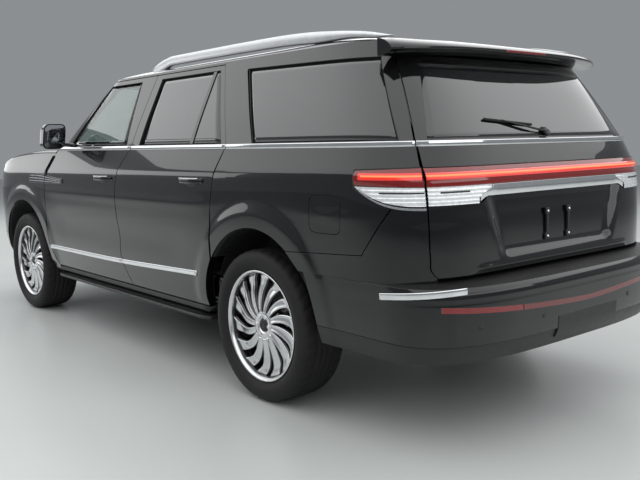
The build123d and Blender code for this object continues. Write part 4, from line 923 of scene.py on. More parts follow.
shell = mirror_shell()
body = "front_door_SIDE_panel"
solid_piece("mirror_case_SIDE", shell, PAINT, body, bevel=0.003, replaces="mirror_SIDE")
back = shell[-1]
pane = np.stack([back.mean(0) + (back - back.mean(0)) * share + [0, 0.001, 0] for share in (0.02, 0.5, 0.9)])
sheet_piece("mirror_glass_SIDE", pane, MIRROR, body, thickness=0.002, bevel=0, inside=(1.1, FRONT_AXLE, 1.44),
            closed=True)
foot_path = np.linspace([0.915, -0.875, 1.366], [1.075, -0.893, 1.392], 8)
solid_piece("mirror_foot_SIDE", swept(foot_path, round_section(0.070, 0.030, 0.012, 5)), PILLAR_GLOSS, body)
print("mirrors placed")

# %% [markdown]
# ## Quarter panel
# The panel behind the rear door is one pressing from the door to the tail. Its inner edge is the
# wheel arch and then the bumper seam; its outer edge is the door cut, the belt and the liftgate
# gap. Both edges are divided at matching points, and straight rows join them.

# %% Quarter panel
GATE_EDGE = np.array([(0.775, 0.828), (0.805, 0.852), (0.860, 0.858), (1.000, 0.861), (1.180, 0.862),
                      (BELT_Z, 0.840)])
SEAM_KNEE, SEAM_TOP = (REAR_AXLE + 0.816, 0.867), (REAR_AXLE + 0.971, 1.086)


def gate_half_width(z):
    """Half breadth of the liftgate at height z, below and above the belt."""
    upper = 0.840 - (z - BELT_Z) * (0.840 - 0.712) / (1.745 - BELT_Z)
    return np.where(z < BELT_Z, read(GATE_EDGE, z, 1), upper)


def gap_y(z):
    """Side view y of the body's edge at the liftgate gap."""
    return tail_y(gate_half_width(z) + GAP / 2, z)


def arch_point(degrees_up, radius=ARCH_RADIUS, axle=REAR_AXLE):
    """A point (y, z) of the arch; 0 is rearward, 90 is straight up."""
    turn = np.radians(degrees_up)
    return coords(axle + radius * np.cos(turn), ARCH_Z + radius * np.sin(turn))


def along_arch(degrees, steps, axle=REAR_AXLE):
    """Points round an arch through the given angles, with a number of steps for each stretch."""
    return arch_point(along(degrees, steps), ARCH_RADIUS, axle)


QUARTER_STEPS = (10, 8, 8, 16, 18, 12)
ARCH_KEYS = (142.5, 128, 116, 105, 85, 70, 54.6)
door_side = REAR_CUT + GAP / 2
outer_keys = [(door_side, 0.738), (door_side, 1.010), (door_side + 0.027, 1.154), (door_side + 0.106, FRAME_LOW),
              (1.50, FRAME_LOW), (1.86, FRAME_LOW), (2.20, FRAME_LOW)]
outer_first = along(outer_keys, QUARTER_STEPS)
seam_keys = [tuple(arch_point(54.6)), SEAM_KNEE, SEAM_TOP, (float(gap_y(1.12)) - 0.055, 1.0865),
             (float(gap_y(1.0865)) - 0.012, 1.0865)]
top_keys = [(2.20, FRAME_LOW), (2.42, FRAME_LOW), (float(gap_y(FRAME_LOW)), FRAME_LOW), (float(gap_y(1.19)), 1.19),
            (float(gap_y(1.0865)), 1.0865)]
SEAM_STEPS = (26, 16, 10, 6)
inner_curve = np.vstack([along_arch(ARCH_KEYS, QUARTER_STEPS)[:-1], along(seam_keys, SEAM_STEPS)])
outer_curve = np.vstack([outer_first[:-1], along(top_keys, SEAM_STEPS)])
quarter_plan = ruled(inner_curve, outer_curve, 30)
FLAP_CENTRE, FLAP_HALF = np.array([REAR_AXLE + 0.580, 1.032]), np.array([0.110, 0.0875])


def flap_line(grow, count=56, share=1.0):
    """Outline of the fuel flap as (y, z): a superellipse, grown by a margin."""
    turn = full_turn(count)
    return FLAP_CENTRE + coords(*squared(turn, 2 / 6)) * (FLAP_HALF + grow) * share


def cut_opening(made, outline):
    """Cuts a mesh along each stretch of a (y, z) outline and takes the faces inside it away."""
    work = bmesh.new()
    work.from_mesh(made.data)
    centre = outline.mean(0)
    reach = np.abs(outline - centre).max() * 1.25
    for first, second in zip(outline, np.roll(outline, -1, 0)):
        near_faces = [f for f in work.faces if abs(f.calc_center_median().y - centre[0]) < reach
                      and abs(f.calc_center_median().z - centre[1]) < reach]
        around = list({e for f in near_faces for e in f.edges}) + list({v for f in near_faces for v in f.verts})
        step = second - first
        bmesh.ops.bisect_plane(work, geom=near_faces + around, plane_co=(0, *first), plane_no=(0, -step[1], step[0]),
                               dist=1e-6)
    sides = np.roll(outline, -1, 0) - outline
    inside = []
    for face in work.faces:
        middle = np.array(face.calc_center_median())[1:]
        if np.abs(middle - centre).max() < reach:
            away = middle - outline
            if (sides[:, 0] * away[:, 1] - sides[:, 1] * away[:, 0] > 0).all():
                inside.append(face)
    bmesh.ops.delete(work, geom=inside, context="FACES")
    work.to_mesh(made.data)
    work.free()


sheet_piece("quarter_panel_SIDE", on_side(quarter_plan, side_x), PAINT, thickness=0.018, bevel=0.002,
            replaces="body_side_SIDE")
cut_opening(bpy.data.objects["quarter_panel_left"], flap_line(0.0))
bar_along_side("quarter_belt_bar", float(back_edge(FRAME_LOW)) + GAP, float(gap_y(BELT_BAR_Z)) - 0.001, belt_height,
               BELT_BAR, 0.001, steps=120)
print("quarter panel", quarter_plan.shape)

# %% [markdown]
# Above the belt, the frame round the quarter window reaches from the rear door to the liftgate
# and up to the roof. Over the doors it narrows to a rail, and the windscreen pillar closes it at
# the front. Behind the doors stand the real pillars and the sill, which show when a door opens.

# %% Cabin frame, pillars and sills
SPOILER_Z = 1.745
UPPER_BACK = REAR_CUT - 0.115 + GAP / 2
QUARTER_WINDOW = [(REAR_CUT + 0.340, WINDOW_LOW_Z), (REAR_CUT + 0.135, 1.766),
                  (TAIL_Y - 0.622, 1.744), (TAIL_Y - 0.392, WINDOW_LOW_Z)]


def upper_gap_y(z):
    """Side view y of the cabin frame's edge at the liftgate."""
    return float(cabin_tail_y(gate_half_width(np.array(z)) + GAP / 2, z))


frame_outer = [(REAR_CUT + 0.104 + GAP / 2, FRAME_LOW), (UPPER_BACK, DOOR_TOP_Z), (UPPER_BACK + 0.02, ROOF_Z),
               (TAIL_Y - 0.590, ROOF_Z), (upper_gap_y(1.742), 1.742), (upper_gap_y(FRAME_LOW), FRAME_LOW)]
window = [np.array(p) for p in QUARTER_WINDOW]
frame_inner = [window[0], window[1] - (0.004, 0.01), window[1], window[2], window[2] + (0.008, -0.02), window[3]]
CABIN_STEPS = (26, 3, 36, 10, 26, 36)
frame_line = along(frame_outer, CABIN_STEPS, True)
gate_side = slice(sum(CABIN_STEPS[:4]), sum(CABIN_STEPS[:5]) + 1)
frame_line[gate_side, 0] = [upper_gap_y(z) for z in frame_line[gate_side, 1]]
cabin_plan = ruled(frame_line, along(frame_inner, CABIN_STEPS, True), 6)
sheet_piece("quarter_frame_SIDE", on_side(cabin_plan, cabin_x), PILLAR_GLOSS, slot="gloss_black_paint",
            thickness=0.030, bevel=0.0015, closed=True)
window_line = along(QUARTER_WINDOW, (20, 30, 20, 30), True)
sheet_piece("quarter_seal_SIDE", on_side(inner_ring(window_line, 0.985), cabin_x, -0.004), SEAL,
            thickness=0.004, bevel=0, closed=True)
low_edge = window[0] + (window[3] - window[0]) * down(0, 1, 30)
top_edge = window[1] + (window[2] - window[1]) * down(0, 1, 30)
sheet_piece("quarter_glass_SIDE", on_side(ruled(low_edge, top_edge, 12), cabin_x, -PANE_SET), PRIVACY,
            thickness=PANE_THICK, bevel=0, replaces="quarter_windows")
print("quarter window frame", cabin_plan.shape)

# %% [markdown]
# The painted rail over the doors and the pillar beside the windscreen are one frame on the real body.
# Here they are two grids on the glasshouse: the pillar's front edge follows the screen's edge.

# %% Rail above the doors, windscreen pillar
def screen_edge_x(z):
    """Half breadth of the windscreen opening at height z."""
    return HALF_WIDTH - 0.170 - 0.130 * (z - BELT_Z) / (CABIN_LEVELS[-1, 0] - 0.017 - BELT_Z)


pillar_z = across(FRAME_LOW + 0.01, DOOR_TOP_Z, 26)
share = down(0, 1, 9)
x_front = screen_edge_x(pillar_z)
y_line = blend(screen_y(x_front, pillar_z), cabin_front_y(pillar_z), share)
pillar_grid = coords(np.where(share == 0, x_front, cabin_x(y_line, pillar_z)), y_line, pillar_z)
rail_y = np.linspace(cabin_front_y(DOOR_TOP_Z) - 0.01, UPPER_BACK + 0.02, 60)
rail_plan = np.stack([coords(rail_y, z) for z in (DOOR_TOP_Z + GAP, 1.8175, ROOF_Z)])
sheet_piece("screen_pillar_SIDE", pillar_grid, PILLAR_GLOSS, slot="gloss_black_paint", thickness=0.035)
sheet_piece("roof_rail_frame_SIDE", on_side(rail_plan, cabin_x), PILLAR_GLOSS, slot="gloss_black_paint",
            thickness=0.040)
print("pillars placed")

# %% [markdown]
# An open door shows the painted posts it closes against, and the sill under it. Each post is a strip
# of the side, set inwards by its depth, so it keeps clear of the doors however they are shaped.

# %% Inner pillars and sills
def jamb(name, front, back, z_from, z_to, rows=20, surface=side_x, depth=0.100):
    """An upright box section behind the doors, following the side at a set depth."""
    plan = between_edges(np.linspace(z_from, z_to, rows), front, back, 8)
    sheet_piece(f"{name}_SIDE", on_side(plan, surface, -depth), PAINT, thickness=0.038, bevel=0.004)


jamb("middle_pillar_low", lambda z: CENTRE_CUT + 0.01 + 0.05 * (z - 0.6) / 0.75,
     lambda z: CENTRE_CUT + 0.14 + 0.03 * (z - 0.6) / 0.75, 0.60, FRAME_LOW)
jamb("middle_pillar_top", lambda z: CENTRE_CUT + 0.06 + 0.11 * (z - BELT_Z) / 0.475,
     lambda z: CENTRE_CUT + 0.17 + 0.13 * (z - BELT_Z) / 0.475, FRAME_LOW, 1.815, 20, cabin_x, 0.060)
jamb("hinge_pillar", fixed(FRONT_CUT + 0.03), fixed(FRONT_CUT + 0.17), 0.545, 1.32)
jamb("lock_pillar", fixed(REAR_CUT - 0.02), fixed(REAR_CUT + 0.09), 0.93, FRAME_LOW, 14)
sill_path = coords(0.905, np.linspace(FRONT_CUT + 0.06, REAR_AXLE - 0.53, 40), 0.412)
solid_piece("sill_SIDE", swept(sill_path, round_section(0.105, 0.036, 0.010)), TRIM)
solid_piece("sill_box_SIDE", swept(sill_path + [-0.060, 0, 0.105], round_section(0.070, 0.150, 0.012)), PAINT)
print("jambs and sills placed")

# %% [markdown]
# ## Roof
# The roof is a shallow dome: its outline is the top of the glasshouse, and every level above it
# is the same outline drawn in by a little more. The last level closes on the centre line.

# %% Roof skin
ROOF_LEVELS = np.array([  # rise, side inset, front inset, back inset
    (0.000, 0.000, 0.000, 0.000), (0.014, 0.030, 0.110, 0.070), (0.033, 0.095, 0.280, 0.180),
    (0.055, 0.240, 0.480, 0.320), (0.071, 0.420, 0.680, 0.480), (0.0745, 0.600, 0.860, 0.640),
    (0.075, 0.785, 1.000, 0.780)])


def roof_outline(level):
    """A closed plan outline: superellipse nose and tail with straight sides, at one roof level."""
    rise, side_in, front_in, back_in = level
    half = HALF_WIDTH - 0.218 - side_in
    nose, tail = FRONT_AXLE + 1.225 + front_in, TAIL_Y - 0.556 - back_in
    turn = np.linspace(0, pi / 2, 40)
    corner = min(0.320, (tail - nose) / 2)
    front = np.abs(np.cos(turn)) ** (2 / 3), np.abs(np.sin(turn)) ** (2 / 3)
    rear = np.abs(np.sin(turn)) ** (2 / 6), np.abs(np.cos(turn)) ** (2 / 6)
    x = np.concatenate([half * front[1], [half] * 8, half * rear[1]])
    depth = min(TAIL_DEPTH, (tail - nose) / 2)
    straight = np.linspace(nose + corner, tail - depth, 10)[1:-1]
    y = np.concatenate([nose + corner - corner * front[0], straight, tail - depth + depth * rear[0]])
    line = coords(x, y, ROOF_Z + rise)
    return np.vstack([line, line[-2:0:-1] * [-1, 1, 1]])


levels = np.linspace(0, len(ROOF_LEVELS) - 1, 26)
roof_steps = np.stack([flow(levels, np.arange(len(ROOF_LEVELS)), ROOF_LEVELS[:, k]) for k in range(4)], -1)
roof_grid = np.array([roof_outline(level) for level in roof_steps])
roof_grid[..., 1] = np.minimum(roof_grid[..., 1], TAIL_Y - 0.590)
roof_grid = np.concatenate([roof_grid, roof_grid[-1:] * [0, 1, 1]])
sheet_piece("roof_skin", roof_grid, PAINT, thickness=0.0, bevel=0, inside=(0, 0, 0.5), closed=True,
            replaces="roof_panel")
liner_grid = roof_grid[::2, ::2] * [0.93, 0.95, 1] + [0, 0.03, -0.040]
liner_grid[..., 2] = np.maximum(liner_grid[..., 2] - 0.012, 1.775)
sheet_piece("roof_lining", liner_grid, HEADLINER, thickness=0.004, bevel=0, inside=(0, 0, 3.0), closed=True)
print("roof", roof_grid.shape)

# %% [markdown]
# The roof rails are satin castings. Each rises from a front foot, runs level, falls along the
# roof, and ends in a rear foot.

# %% Roof rails
RAIL_X, RAIL_HALF = HALF_WIDTH - 0.308, 0.018
rail_length = down(0, 1, 70)
rail_run = FRONT_AXLE + 1.823 + rail_length * (REAR_AXLE + 0.735 - FRONT_AXLE - 1.823)
rail_top = np.minimum(flow(rail_length, [0, 0.03, 0.09, 0.45, 0.80, 0.93, 1.0],
                           [1.874, 1.900, 1.926, 1.9325, 1.908, 1.872, 1.838]), 1.9325)
rail_foot = np.maximum(smooth(rail_length, 0.10, 0.02), smooth(rail_length, 0.86, 0.97))
rail_under = blend(np.maximum(rail_top - 0.060, 1.856), 1.836, rail_foot)
section_turn = full_turn(20)
rail_grid = coords(RAIL_X + RAIL_HALF * squared(section_turn, 0.55)[0], rail_run,
                   (rail_top + rail_under) / 2 + (rail_top - rail_under) / 2 * squared(section_turn, 0.6)[1])
solid_piece("roof_rail_SIDE", rail_grid, SATIN, replaces="roof_rails")
print("roof rails", rail_grid.shape)

# %% [markdown]
# ## Liftgate
# The liftgate is drawn in rear view. Its lower skin ends above at the lamps and the bright band,
# so its top edge steps. A soft-walled recess for the number plate is pressed into it: the depth
# is a product of two smooth steps, one in x and one in z.

# %% Liftgate lower skin
GATE, GATE_LOW = "liftgate_panel", 0.7775
LAMP_LOW, BAND_LOW, BAR_LOW, BAR_TOP = 1.084, 1.112, 1.166, 1.246
LAMP_END, BAND_END = 0.600, 0.535
RECESS_DEPTH = 0.024


def gate_top(x):
    """Top edge of the lower skin: under the white lamps, a slanted step, then under the band."""
    return LAMP_LOW + (BAND_LOW - LAMP_LOW) * (1 - smooth(np.abs(x), BAND_END, LAMP_END))


def plate_recess(x, z):
    """Depth of the plate recess, with slanted sides, deepest in the upper middle."""
    wall_x = 1 - smooth(np.abs(x) + 0.35 * (1.06 - z), 0.47, 0.56)
    wall_z = smooth(z, 0.815, 0.875)
    lip = 0.004 * near(z, 0.800, 0.012) * (1 - smooth(np.abs(x), 0.55, 0.65))
    return RECESS_DEPTH * wall_x * wall_z - lip


def gate_plan(low, top, columns, rows):
    """Rear view grid: columns share out the liftgate's breadth at each height."""
    share, t = across(-1, 1, columns), down(0, 1, rows)
    guess = share * gate_half_width(np.array((low(share * 0.85) + top(share * 0.85)) / 2))
    z = blend(low(guess), top(guess), t)
    return coords(share * (gate_half_width(z) - GAP / 2), z)


lower_plan = gate_plan(fixed(GATE_LOW), gate_top, 104, 46)
lower_grid = on_end(lower_plan, tail_y)
lower_grid[..., 1] -= plate_recess(lower_plan[..., 0], lower_plan[..., 1])
sheet_piece("liftgate_skin", lower_grid, PAINT, body=GATE, thickness=0.045, bevel=0.002,
            replaces="liftgate")
upper_plan = gate_plan(fixed(BAR_TOP + 0.002), fixed(1.337), 80, 10)
sheet_piece("liftgate_belt_panel", on_end(upper_plan, tail_y), PAINT, body=GATE, thickness=0.045,
            bevel=0.002)
print("liftgate skins", lower_plan.shape, upper_plan.shape)

# %% [markdown]
# A single light bar crosses the whole tail and wraps round both corners. It is a bulging red
# lens with a glowing line. Under it sit white lamps with fine horizontal light guides, framed in
# black, and a bright band joins them across the liftgate.

# %% Lamps on the liftgate
BULGE = 0.007


def bulged(z, low, top):
    """1 at the middle of a strip, 0 at its edges: 1 - u^2."""
    return 1 - ((2 * z - low - top) / (top - low)) ** 2


def guides(z):
    """Light guides: five fine ridges up the lamp."""
    return 0.0014 * np.cos((z - LAMP_LOW) * tau / 0.0165)


GLOW_LOW, GLOW_TOP = 1.2095, 1.2165
HALO_LOW, HALO_TOP = 1.196, 1.226


def light_strip(name, low, top, rows, out, material, **more):
    """A strip right across the liftgate that bulges with the light bar."""
    plan = gate_plan(fixed(low), fixed(top), 80, rows)
    grid = on_end(plan, tail_y)
    grid[..., 1] += BULGE * bulged(plan[..., 1], BAR_LOW, BAR_TOP) + out
    sheet_piece(name, grid, material, GATE, **more)


light_strip("liftgate_light_bar", BAR_LOW, BAR_TOP, 9, -0.002, RED_LENS, thickness=0.020, replaces="liftgate_lamp")
light_strip("liftgate_light_halo", HALO_LOW, HALO_TOP, 5, -0.0014, HALO, thickness=0.002, bevel=0)
light_strip("liftgate_light_line", GLOW_LOW, GLOW_TOP, 3, -0.0006, GLOW, thickness=0.002, bevel=0)


def lamp_inner(z):
    """The slanted inner end of the white lamps: further in at the top."""
    return LAMP_END + 0.006 - (LAMP_END - BAND_END + 0.03) * smooth(z, LAMP_LOW + 0.02, BAR_LOW)


lamp_rows = down(0, 1, 27)
lamp_share = across(0, 1, 16)
z = LAMP_LOW + 0.003 + (BAR_LOW - LAMP_LOW - 0.005) * lamp_rows
x = blend(lamp_inner(z), gate_half_width(z) - GAP / 2, lamp_share)
lens = on_end(coords(x, z), tail_y)
lens[..., 1] += guides(z) + 0.002
sheet_piece("liftgate_white_lamp_SIDE", lens, WHITE_LENS, body=GATE, thickness=0.015, bevel=0.0008)
rim = on_end(coords(x - 0.010 * (1 - lamp_share), z - 0.004 * (1 - lamp_rows)), tail_y)
sheet_piece("liftgate_lamp_bed_SIDE", rim, SEAL, body=GATE, thickness=0.014, bevel=0)
slot_z = 1.1385 + 0.006 * lamp_rows[:8] / lamp_rows[7]
slot_x = 0.66 + 0.15 * lamp_share
slot_grid = on_end(coords(slot_x, slot_z), tail_y)
slot_grid[..., 1] += 0.0042
sheet_piece("liftgate_lamp_slot_SIDE", slot_grid, TRIM, body=GATE, thickness=0.001, bevel=0)
band_share = across(-1, 1, 70)
band_t = down(0, 1, 9)
band_foot = gate_top(band_share * BAND_END * 1.1) + 0.003
band_z = band_foot + (BAR_LOW - 0.001 - band_foot) * band_t
band_x = band_share * (lamp_inner(band_z) - 0.005)
band_grid = on_end(coords(band_x, band_z), tail_y)
band_grid[..., 1] += 0.004 - 0.0072 * (1 - band_t) ** 2
sheet_piece("liftgate_bright_band", band_grid, CHROME, body=GATE, thickness=0.012)
print("liftgate lamps placed")

# %% [markdown]
# The corner lamps carry the same strips round to the side, where they end in a swept tip. One maker
# draws every strip between a lower and an upper edge, which are functions of the way along it.

# %% Lamps on the body corners
LAMP_TIP_Y = 2.262


def swept_low(z, drop):
    """A lower edge that falls away from the lamp's tip and levels out towards the gap."""
    return lambda s: z - drop * (1 - (1 - s) ** 2.2)


def rising(z, rise):
    """An edge that rises evenly from the tip to the gap."""
    return lambda s: z + rise * s


def corner_lamp(name, low, top, start, material, out, rows=12, thickness=0.006, relief=None, **more):
    """A strip on the body side from a rounded start to the liftgate gap."""
    share, t = across(0, 1, 30) ** 0.8, down(0, 1, rows)
    z = blend(low(share), top(share), t)
    grid = on_side(coords(blend(start(z), gap_y(z) - 0.001, share), z), side_x, out)
    if relief is not None:
        grid[..., 0] += relief(z)
    sheet_piece(f"{name}_SIDE", grid, material, thickness=thickness, bevel=0.0006, **more)


def corner_bulge(z):
    """The light bar's bulge, softer round the corner."""
    return BULGE * 0.7 * bulged(z, 1.166, 1.246)


corner_lamp("corner_red_lamp", rising(1.172, -0.006), rising(1.236, 0.010),
            lambda z: LAMP_TIP_Y + 0.012 * (1 - bulged(z, 1.165, 1.243)), RED_LENS, 0.003, relief=corner_bulge,
            replaces="tail_lamps")
corner_lamp("corner_light_halo", fixed(HALO_LOW), fixed(HALO_TOP), fixed(LAMP_TIP_Y + 0.030), HALO, 0.0038,
            rows=6, thickness=0.002, relief=corner_bulge)
corner_lamp("corner_light_line", fixed(GLOW_LOW), fixed(GLOW_TOP), fixed(LAMP_TIP_Y + 0.045), GLOW, 0.0046,
            rows=4, thickness=0.002, relief=corner_bulge)
corner_lamp("corner_white_lamp", swept_low(1.166, 0.080), rising(1.168, -0.004), fixed(LAMP_TIP_Y + 0.012),
            WHITE_LENS, 0.0035, rows=30, relief=guides)
corner_lamp("corner_lamp_bed", swept_low(1.160, 0.083), rising(1.242, 0.009), fixed(LAMP_TIP_Y - 0.006), SEAL,
            0.0012, rows=20, thickness=0.004)
corner_lamp("corner_bright_lip", swept_low(1.156, 0.088), swept_low(1.160, 0.083), fixed(LAMP_TIP_Y + 0.02),
            CHROME, 0.0022, rows=3, thickness=0.003)
corner_lamp("corner_lamp_slot", fixed(1.1385), fixed(1.1445), fixed(2.405), TRIM, 0.0058, rows=3,
            thickness=0.001)
print("corner lamps placed")

# %% [markdown]
# Above the belt the liftgate frames a wide rear window with rounded corners, closed by the
# spoiler, whose trailing edge sweeps forward at its ends. The wiper rests across the glass.

# %% Liftgate window, spoiler and wiper
window_low, window_top = 1.368, 1.705
GATE_STEPS = (70, 36, 60, 36)
gate_outer = [(-0.837, FRAME_LOW), (0.837, FRAME_LOW), (0.7095, SPOILER_Z), (-0.7095, SPOILER_Z)]
gate_window = [(-0.786, window_low), (0.786, window_low), (0.638, window_top), (-0.638, window_top)]
frame_plan = ruled(along(gate_outer, GATE_STEPS, True), along(gate_window, GATE_STEPS, True), 6)
sheet_piece("liftgate_window_frame", on_end(frame_plan, cabin_tail_y), PILLAR_GLOSS, body=GATE,
            thickness=0.035, bevel=0.0015, closed=True)
pane_low = np.linspace((-0.7855, window_low + 0.0005), (0.7855, window_low + 0.0005), 44)
pane_top = np.linspace((-0.6375, window_top - 0.0005), (0.6375, window_top - 0.0005), 44)
sheet_piece("liftgate_glass", on_end(ruled(pane_low, pane_top, 14), cabin_tail_y, -0.001), PRIVACY,
            body=GATE, thickness=PANE_THICK, bevel=0, replaces="liftgate_window")
belt_x = np.linspace(-0.842, 0.842, 60)
belt_path = coords(belt_x, tail_y(belt_x, FRAME_LOW) + 0.001, BELT_BAR_Z)
solid_piece("liftgate_belt_bar", swept(belt_path, BELT_BAR), CHROME, body=GATE)

SPOILER_HALF = 0.815
spoiler_x = down(-SPOILER_HALF, SPOILER_HALF, 60)
end_share = np.abs(spoiler_x) / SPOILER_HALF
trail_y = 2.443 - 0.125 * end_share**4
front_y = 2.231
crown = ROOF_Z + 0.004 * (1 - end_share**2) - 0.0072 * end_share**3
section = np.array([(0.0, 0.0), (0.28, -0.004), (0.55, -0.012), (0.80, -0.026), (0.95, -0.038), (1.0, -0.046),
                    (0.995, -0.056), (0.93, -0.062), (0.60, -0.074), (0.25, -0.080), (0.0, -0.080),
                    (0.0, -0.040)])
spoiler_grid = coords(spoiler_x, front_y + section[:, 0] * (trail_y - front_y), crown + section[:, 1])
solid_piece("spoiler", spoiler_grid, PAINT, body=GATE, bevel=0.002)
brake_x = np.linspace(-0.16, 0.16, 24)
brake_path = coords(brake_x, 2.4415 - 0.125 * (np.abs(brake_x) / SPOILER_HALF) ** 4, 1.7775)
solid_piece("high_brake_lamp", swept(brake_path, round_section(0.006, 0.012, 0.002)), RED_LENS,
            body=GATE)


def on_glass(x, z, out):
    """Points a little behind the rear window."""
    return coords(x, cabin_tail_y(x, z) + out, z)


hub_turn = full_turn(28)
hub_grid = np.stack([on_glass(r * np.cos(hub_turn), 1.392 + r * np.sin(hub_turn), out)
                     for r, out in ((0.001, 0.030), (0.014, 0.029), (0.021, 0.022), (0.023, 0.004))])
sheet_piece("wiper_hub", hub_grid, TRIM, body=GATE, thickness=0.003, bevel=0, inside=(0, 2.3, 1.39),
            closed=True)
arm_x = np.linspace(0.0, 0.30, 20)
arm_path = on_glass(arm_x, 1.392 + 0.055 * (arm_x / 0.30), 0.022 - 0.010 * arm_x / 0.30)
solid_piece("wiper_arm", swept(arm_path, round_section(0.016, 0.009, 0.003), scale=1 - 0.35 * arm_x / 0.30), TRIM,
            body=GATE)
blade_x = np.linspace(0.08, 0.42, 26)
blade_path = on_glass(blade_x, 1.420 + 0.032 * (blade_x / 0.42), 0.007)
solid_piece("wiper_blade", swept(blade_path, round_section(0.011, 0.011, 0.003)), SEAL, body=GATE)
print("liftgate window and spoiler placed")

# %% [markdown]
# Two bare brackets stand where the number plate would be screwed on. Each is a narrow plate, wider
# at its ends, with a domed screw head at the top and the bottom.

# %% Plate brackets
BRACKET_X, PLATE_Z = 0.0889, 0.955
bracket_z = np.linspace(-0.076, 0.076, 31)
bracket_half = 0.0085 + 0.0085 * smooth(np.abs(bracket_z), 0.040, 0.052)
face_y = float(tail_y(0, PLATE_Z)) - RECESS_DEPTH + 0.0125
plate = coords(BRACKET_X + bracket_half[:, None] * [-1, 1], face_y, PLATE_Z + bracket_z[:, None])
sheet_piece("plate_bracket_SIDE", plate, TRIM, body=GATE, slot="textured_black", thickness=0.012, bevel=0.0025,
            inside=(0, 2.0, 0.95), replaces="plate_brackets")
turn = full_turn(24)
SCREW_RINGS = ((0.0005, 0.0052), (0.004, 0.0048), (0.0062, 0.003), (0.0066, 0.0))  # radius, out
for tag, height in (("low", -0.0603), ("top", 0.0603)):
    head = np.stack([coords(BRACKET_X + r * np.cos(turn), face_y + out, PLATE_Z + height + r * np.sin(turn))
                     for r, out in SCREW_RINGS])
    sheet_piece(f"plate_screw_SIDE_{tag}", head, CHROME, body=GATE,
                slot="bare_steel", thickness=0, bevel=0, inside=(0, 2.0, 0.95), closed=True)
print("plate brackets placed")

# %% [markdown]
# ## Rear bumper
# The bumper wraps from one rear arch to the other. Its outline is its own superellipse, fuller
# than the body's, so it stands out as a step. The corner above it belongs to the bumper but
# follows the body. Height by height: valance, face, shelf.

# %% Bumper form
BUMPER_LEVELS = np.array([  # height, tuck-in, tail setback
    (0.407, 0.045, 0.060), (0.480, 0.022, 0.014), (0.560, 0.012, 0.004), (0.700, 0.012, 0.004),
    (0.748, 0.014, 0.011)])
BUMPER_DEPTH, BUMPER_POWER, BUMPER_TOP = 0.420, 3.4, 0.748


def bumper_tail(z):
    """The rearmost y of the bumper at height z."""
    return TAIL_Y - np.maximum(read(BUMPER_LEVELS, z, 2), 0.004)


def bumper_line(z, shares):
    """Half outline of the bumper at height z: side from the arch, then the rounded corner to x = 0."""
    width = HALF_WIDTH - read(BUMPER_LEVELS, z, 1)
    tail = bumper_tail(z)
    start = REAR_AXLE + np.sqrt(np.maximum(ARCH_RADIUS**2 - (z - ARCH_Z) ** 2, 0))
    bend = tail - BUMPER_DEPTH
    s = shares[None, :]
    turn = np.clip((s - 0.3) / 0.7, 0, 1) * pi / 2
    radius = (np.cos(turn) ** BUMPER_POWER + np.sin(turn) ** BUMPER_POWER) ** (-1 / BUMPER_POWER)
    x = width * radius * np.cos(turn)
    y = np.where(s < 0.3, start + (bend - start) * s / 0.3, bend + BUMPER_DEPTH * radius * np.sin(turn))
    flare = 0.004 * (1 - smooth(np.hypot(y - REAR_AXLE, z - ARCH_Z), 0.585, 0.63))
    return coords(np.where(s < 0.999999, x, 0) + flare, y, z)


def bumper_y(x, z):
    """How far back the bumper is at (x, z)."""
    width = HALF_WIDTH - read(BUMPER_LEVELS, z, 1)
    tail = bumper_tail(z)
    return tail - BUMPER_DEPTH + BUMPER_DEPTH * rounded_end(np.abs(x) / width, BUMPER_POWER)


def whole_line(grid):
    """A half grid that ends on the centre line, continued by its mirror image."""
    grid = grid.copy()
    grid[:, -1, 0] = 0
    return np.concatenate([grid, grid[:, -2::-1] * [-1, 1, 1]], axis=1)


shares = np.linspace(0, 1, 64)
face_z = down(0.500, BUMPER_TOP, 26)
face_grid = bumper_line(face_z, shares)
round_over = smooth(face_z, 0.725, BUMPER_TOP)
face_grid[..., 1] -= 0.012 * round_over**2
groove = 0.003 * near(face_z, 0.5 * (0.700 + 0.682), 0.004)
face_grid[..., 1] -= groove * smooth(shares, 0.35, 0.5)[None, :]
sheet_piece("bumper_face", whole_line(face_grid), PAINT, thickness=0.014, replaces="rear_bumper")
valance_z = down(0.409, 0.4975, 7)
valance_grid = bumper_line(valance_z, shares)
valance_grid[..., 1] -= 0.006 * smooth(shares, 0.3, 0.5)[None, :]
sheet_piece("bumper_valance", whole_line(valance_grid), TRIM, slot="textured_black", thickness=0.012)
shelf_t = np.linspace(0, 1, 6)[:, None, None]
shelf_edge = bumper_line(np.array([[BUMPER_TOP]]), shares[14:])[0]
shelf_edge[:, 1] -= 0.012
inner_x = shelf_edge[:, 0] * 0.955
shelf_inner = coords(inner_x, np.minimum(tail_y(inner_x, 0.77) - 0.055, shelf_edge[:, 1] - 0.01), 0.760)
shelf_grid = blend(shelf_edge[None], shelf_inner[None], shelf_t)
sheet_piece("bumper_shelf", whole_line(shelf_grid), TRIM, slot="textured_black", thickness=0.010,
            inside=(0, 2.3, 0.3))
print("bumper", face_grid.shape)

# %% [markdown]
# Above the bumper's face its painted corners climb to the lamps. They are laid on the body side, not
# on the bumper, so that the seam between them is an even gap. Strips follow the bumper's own curve.

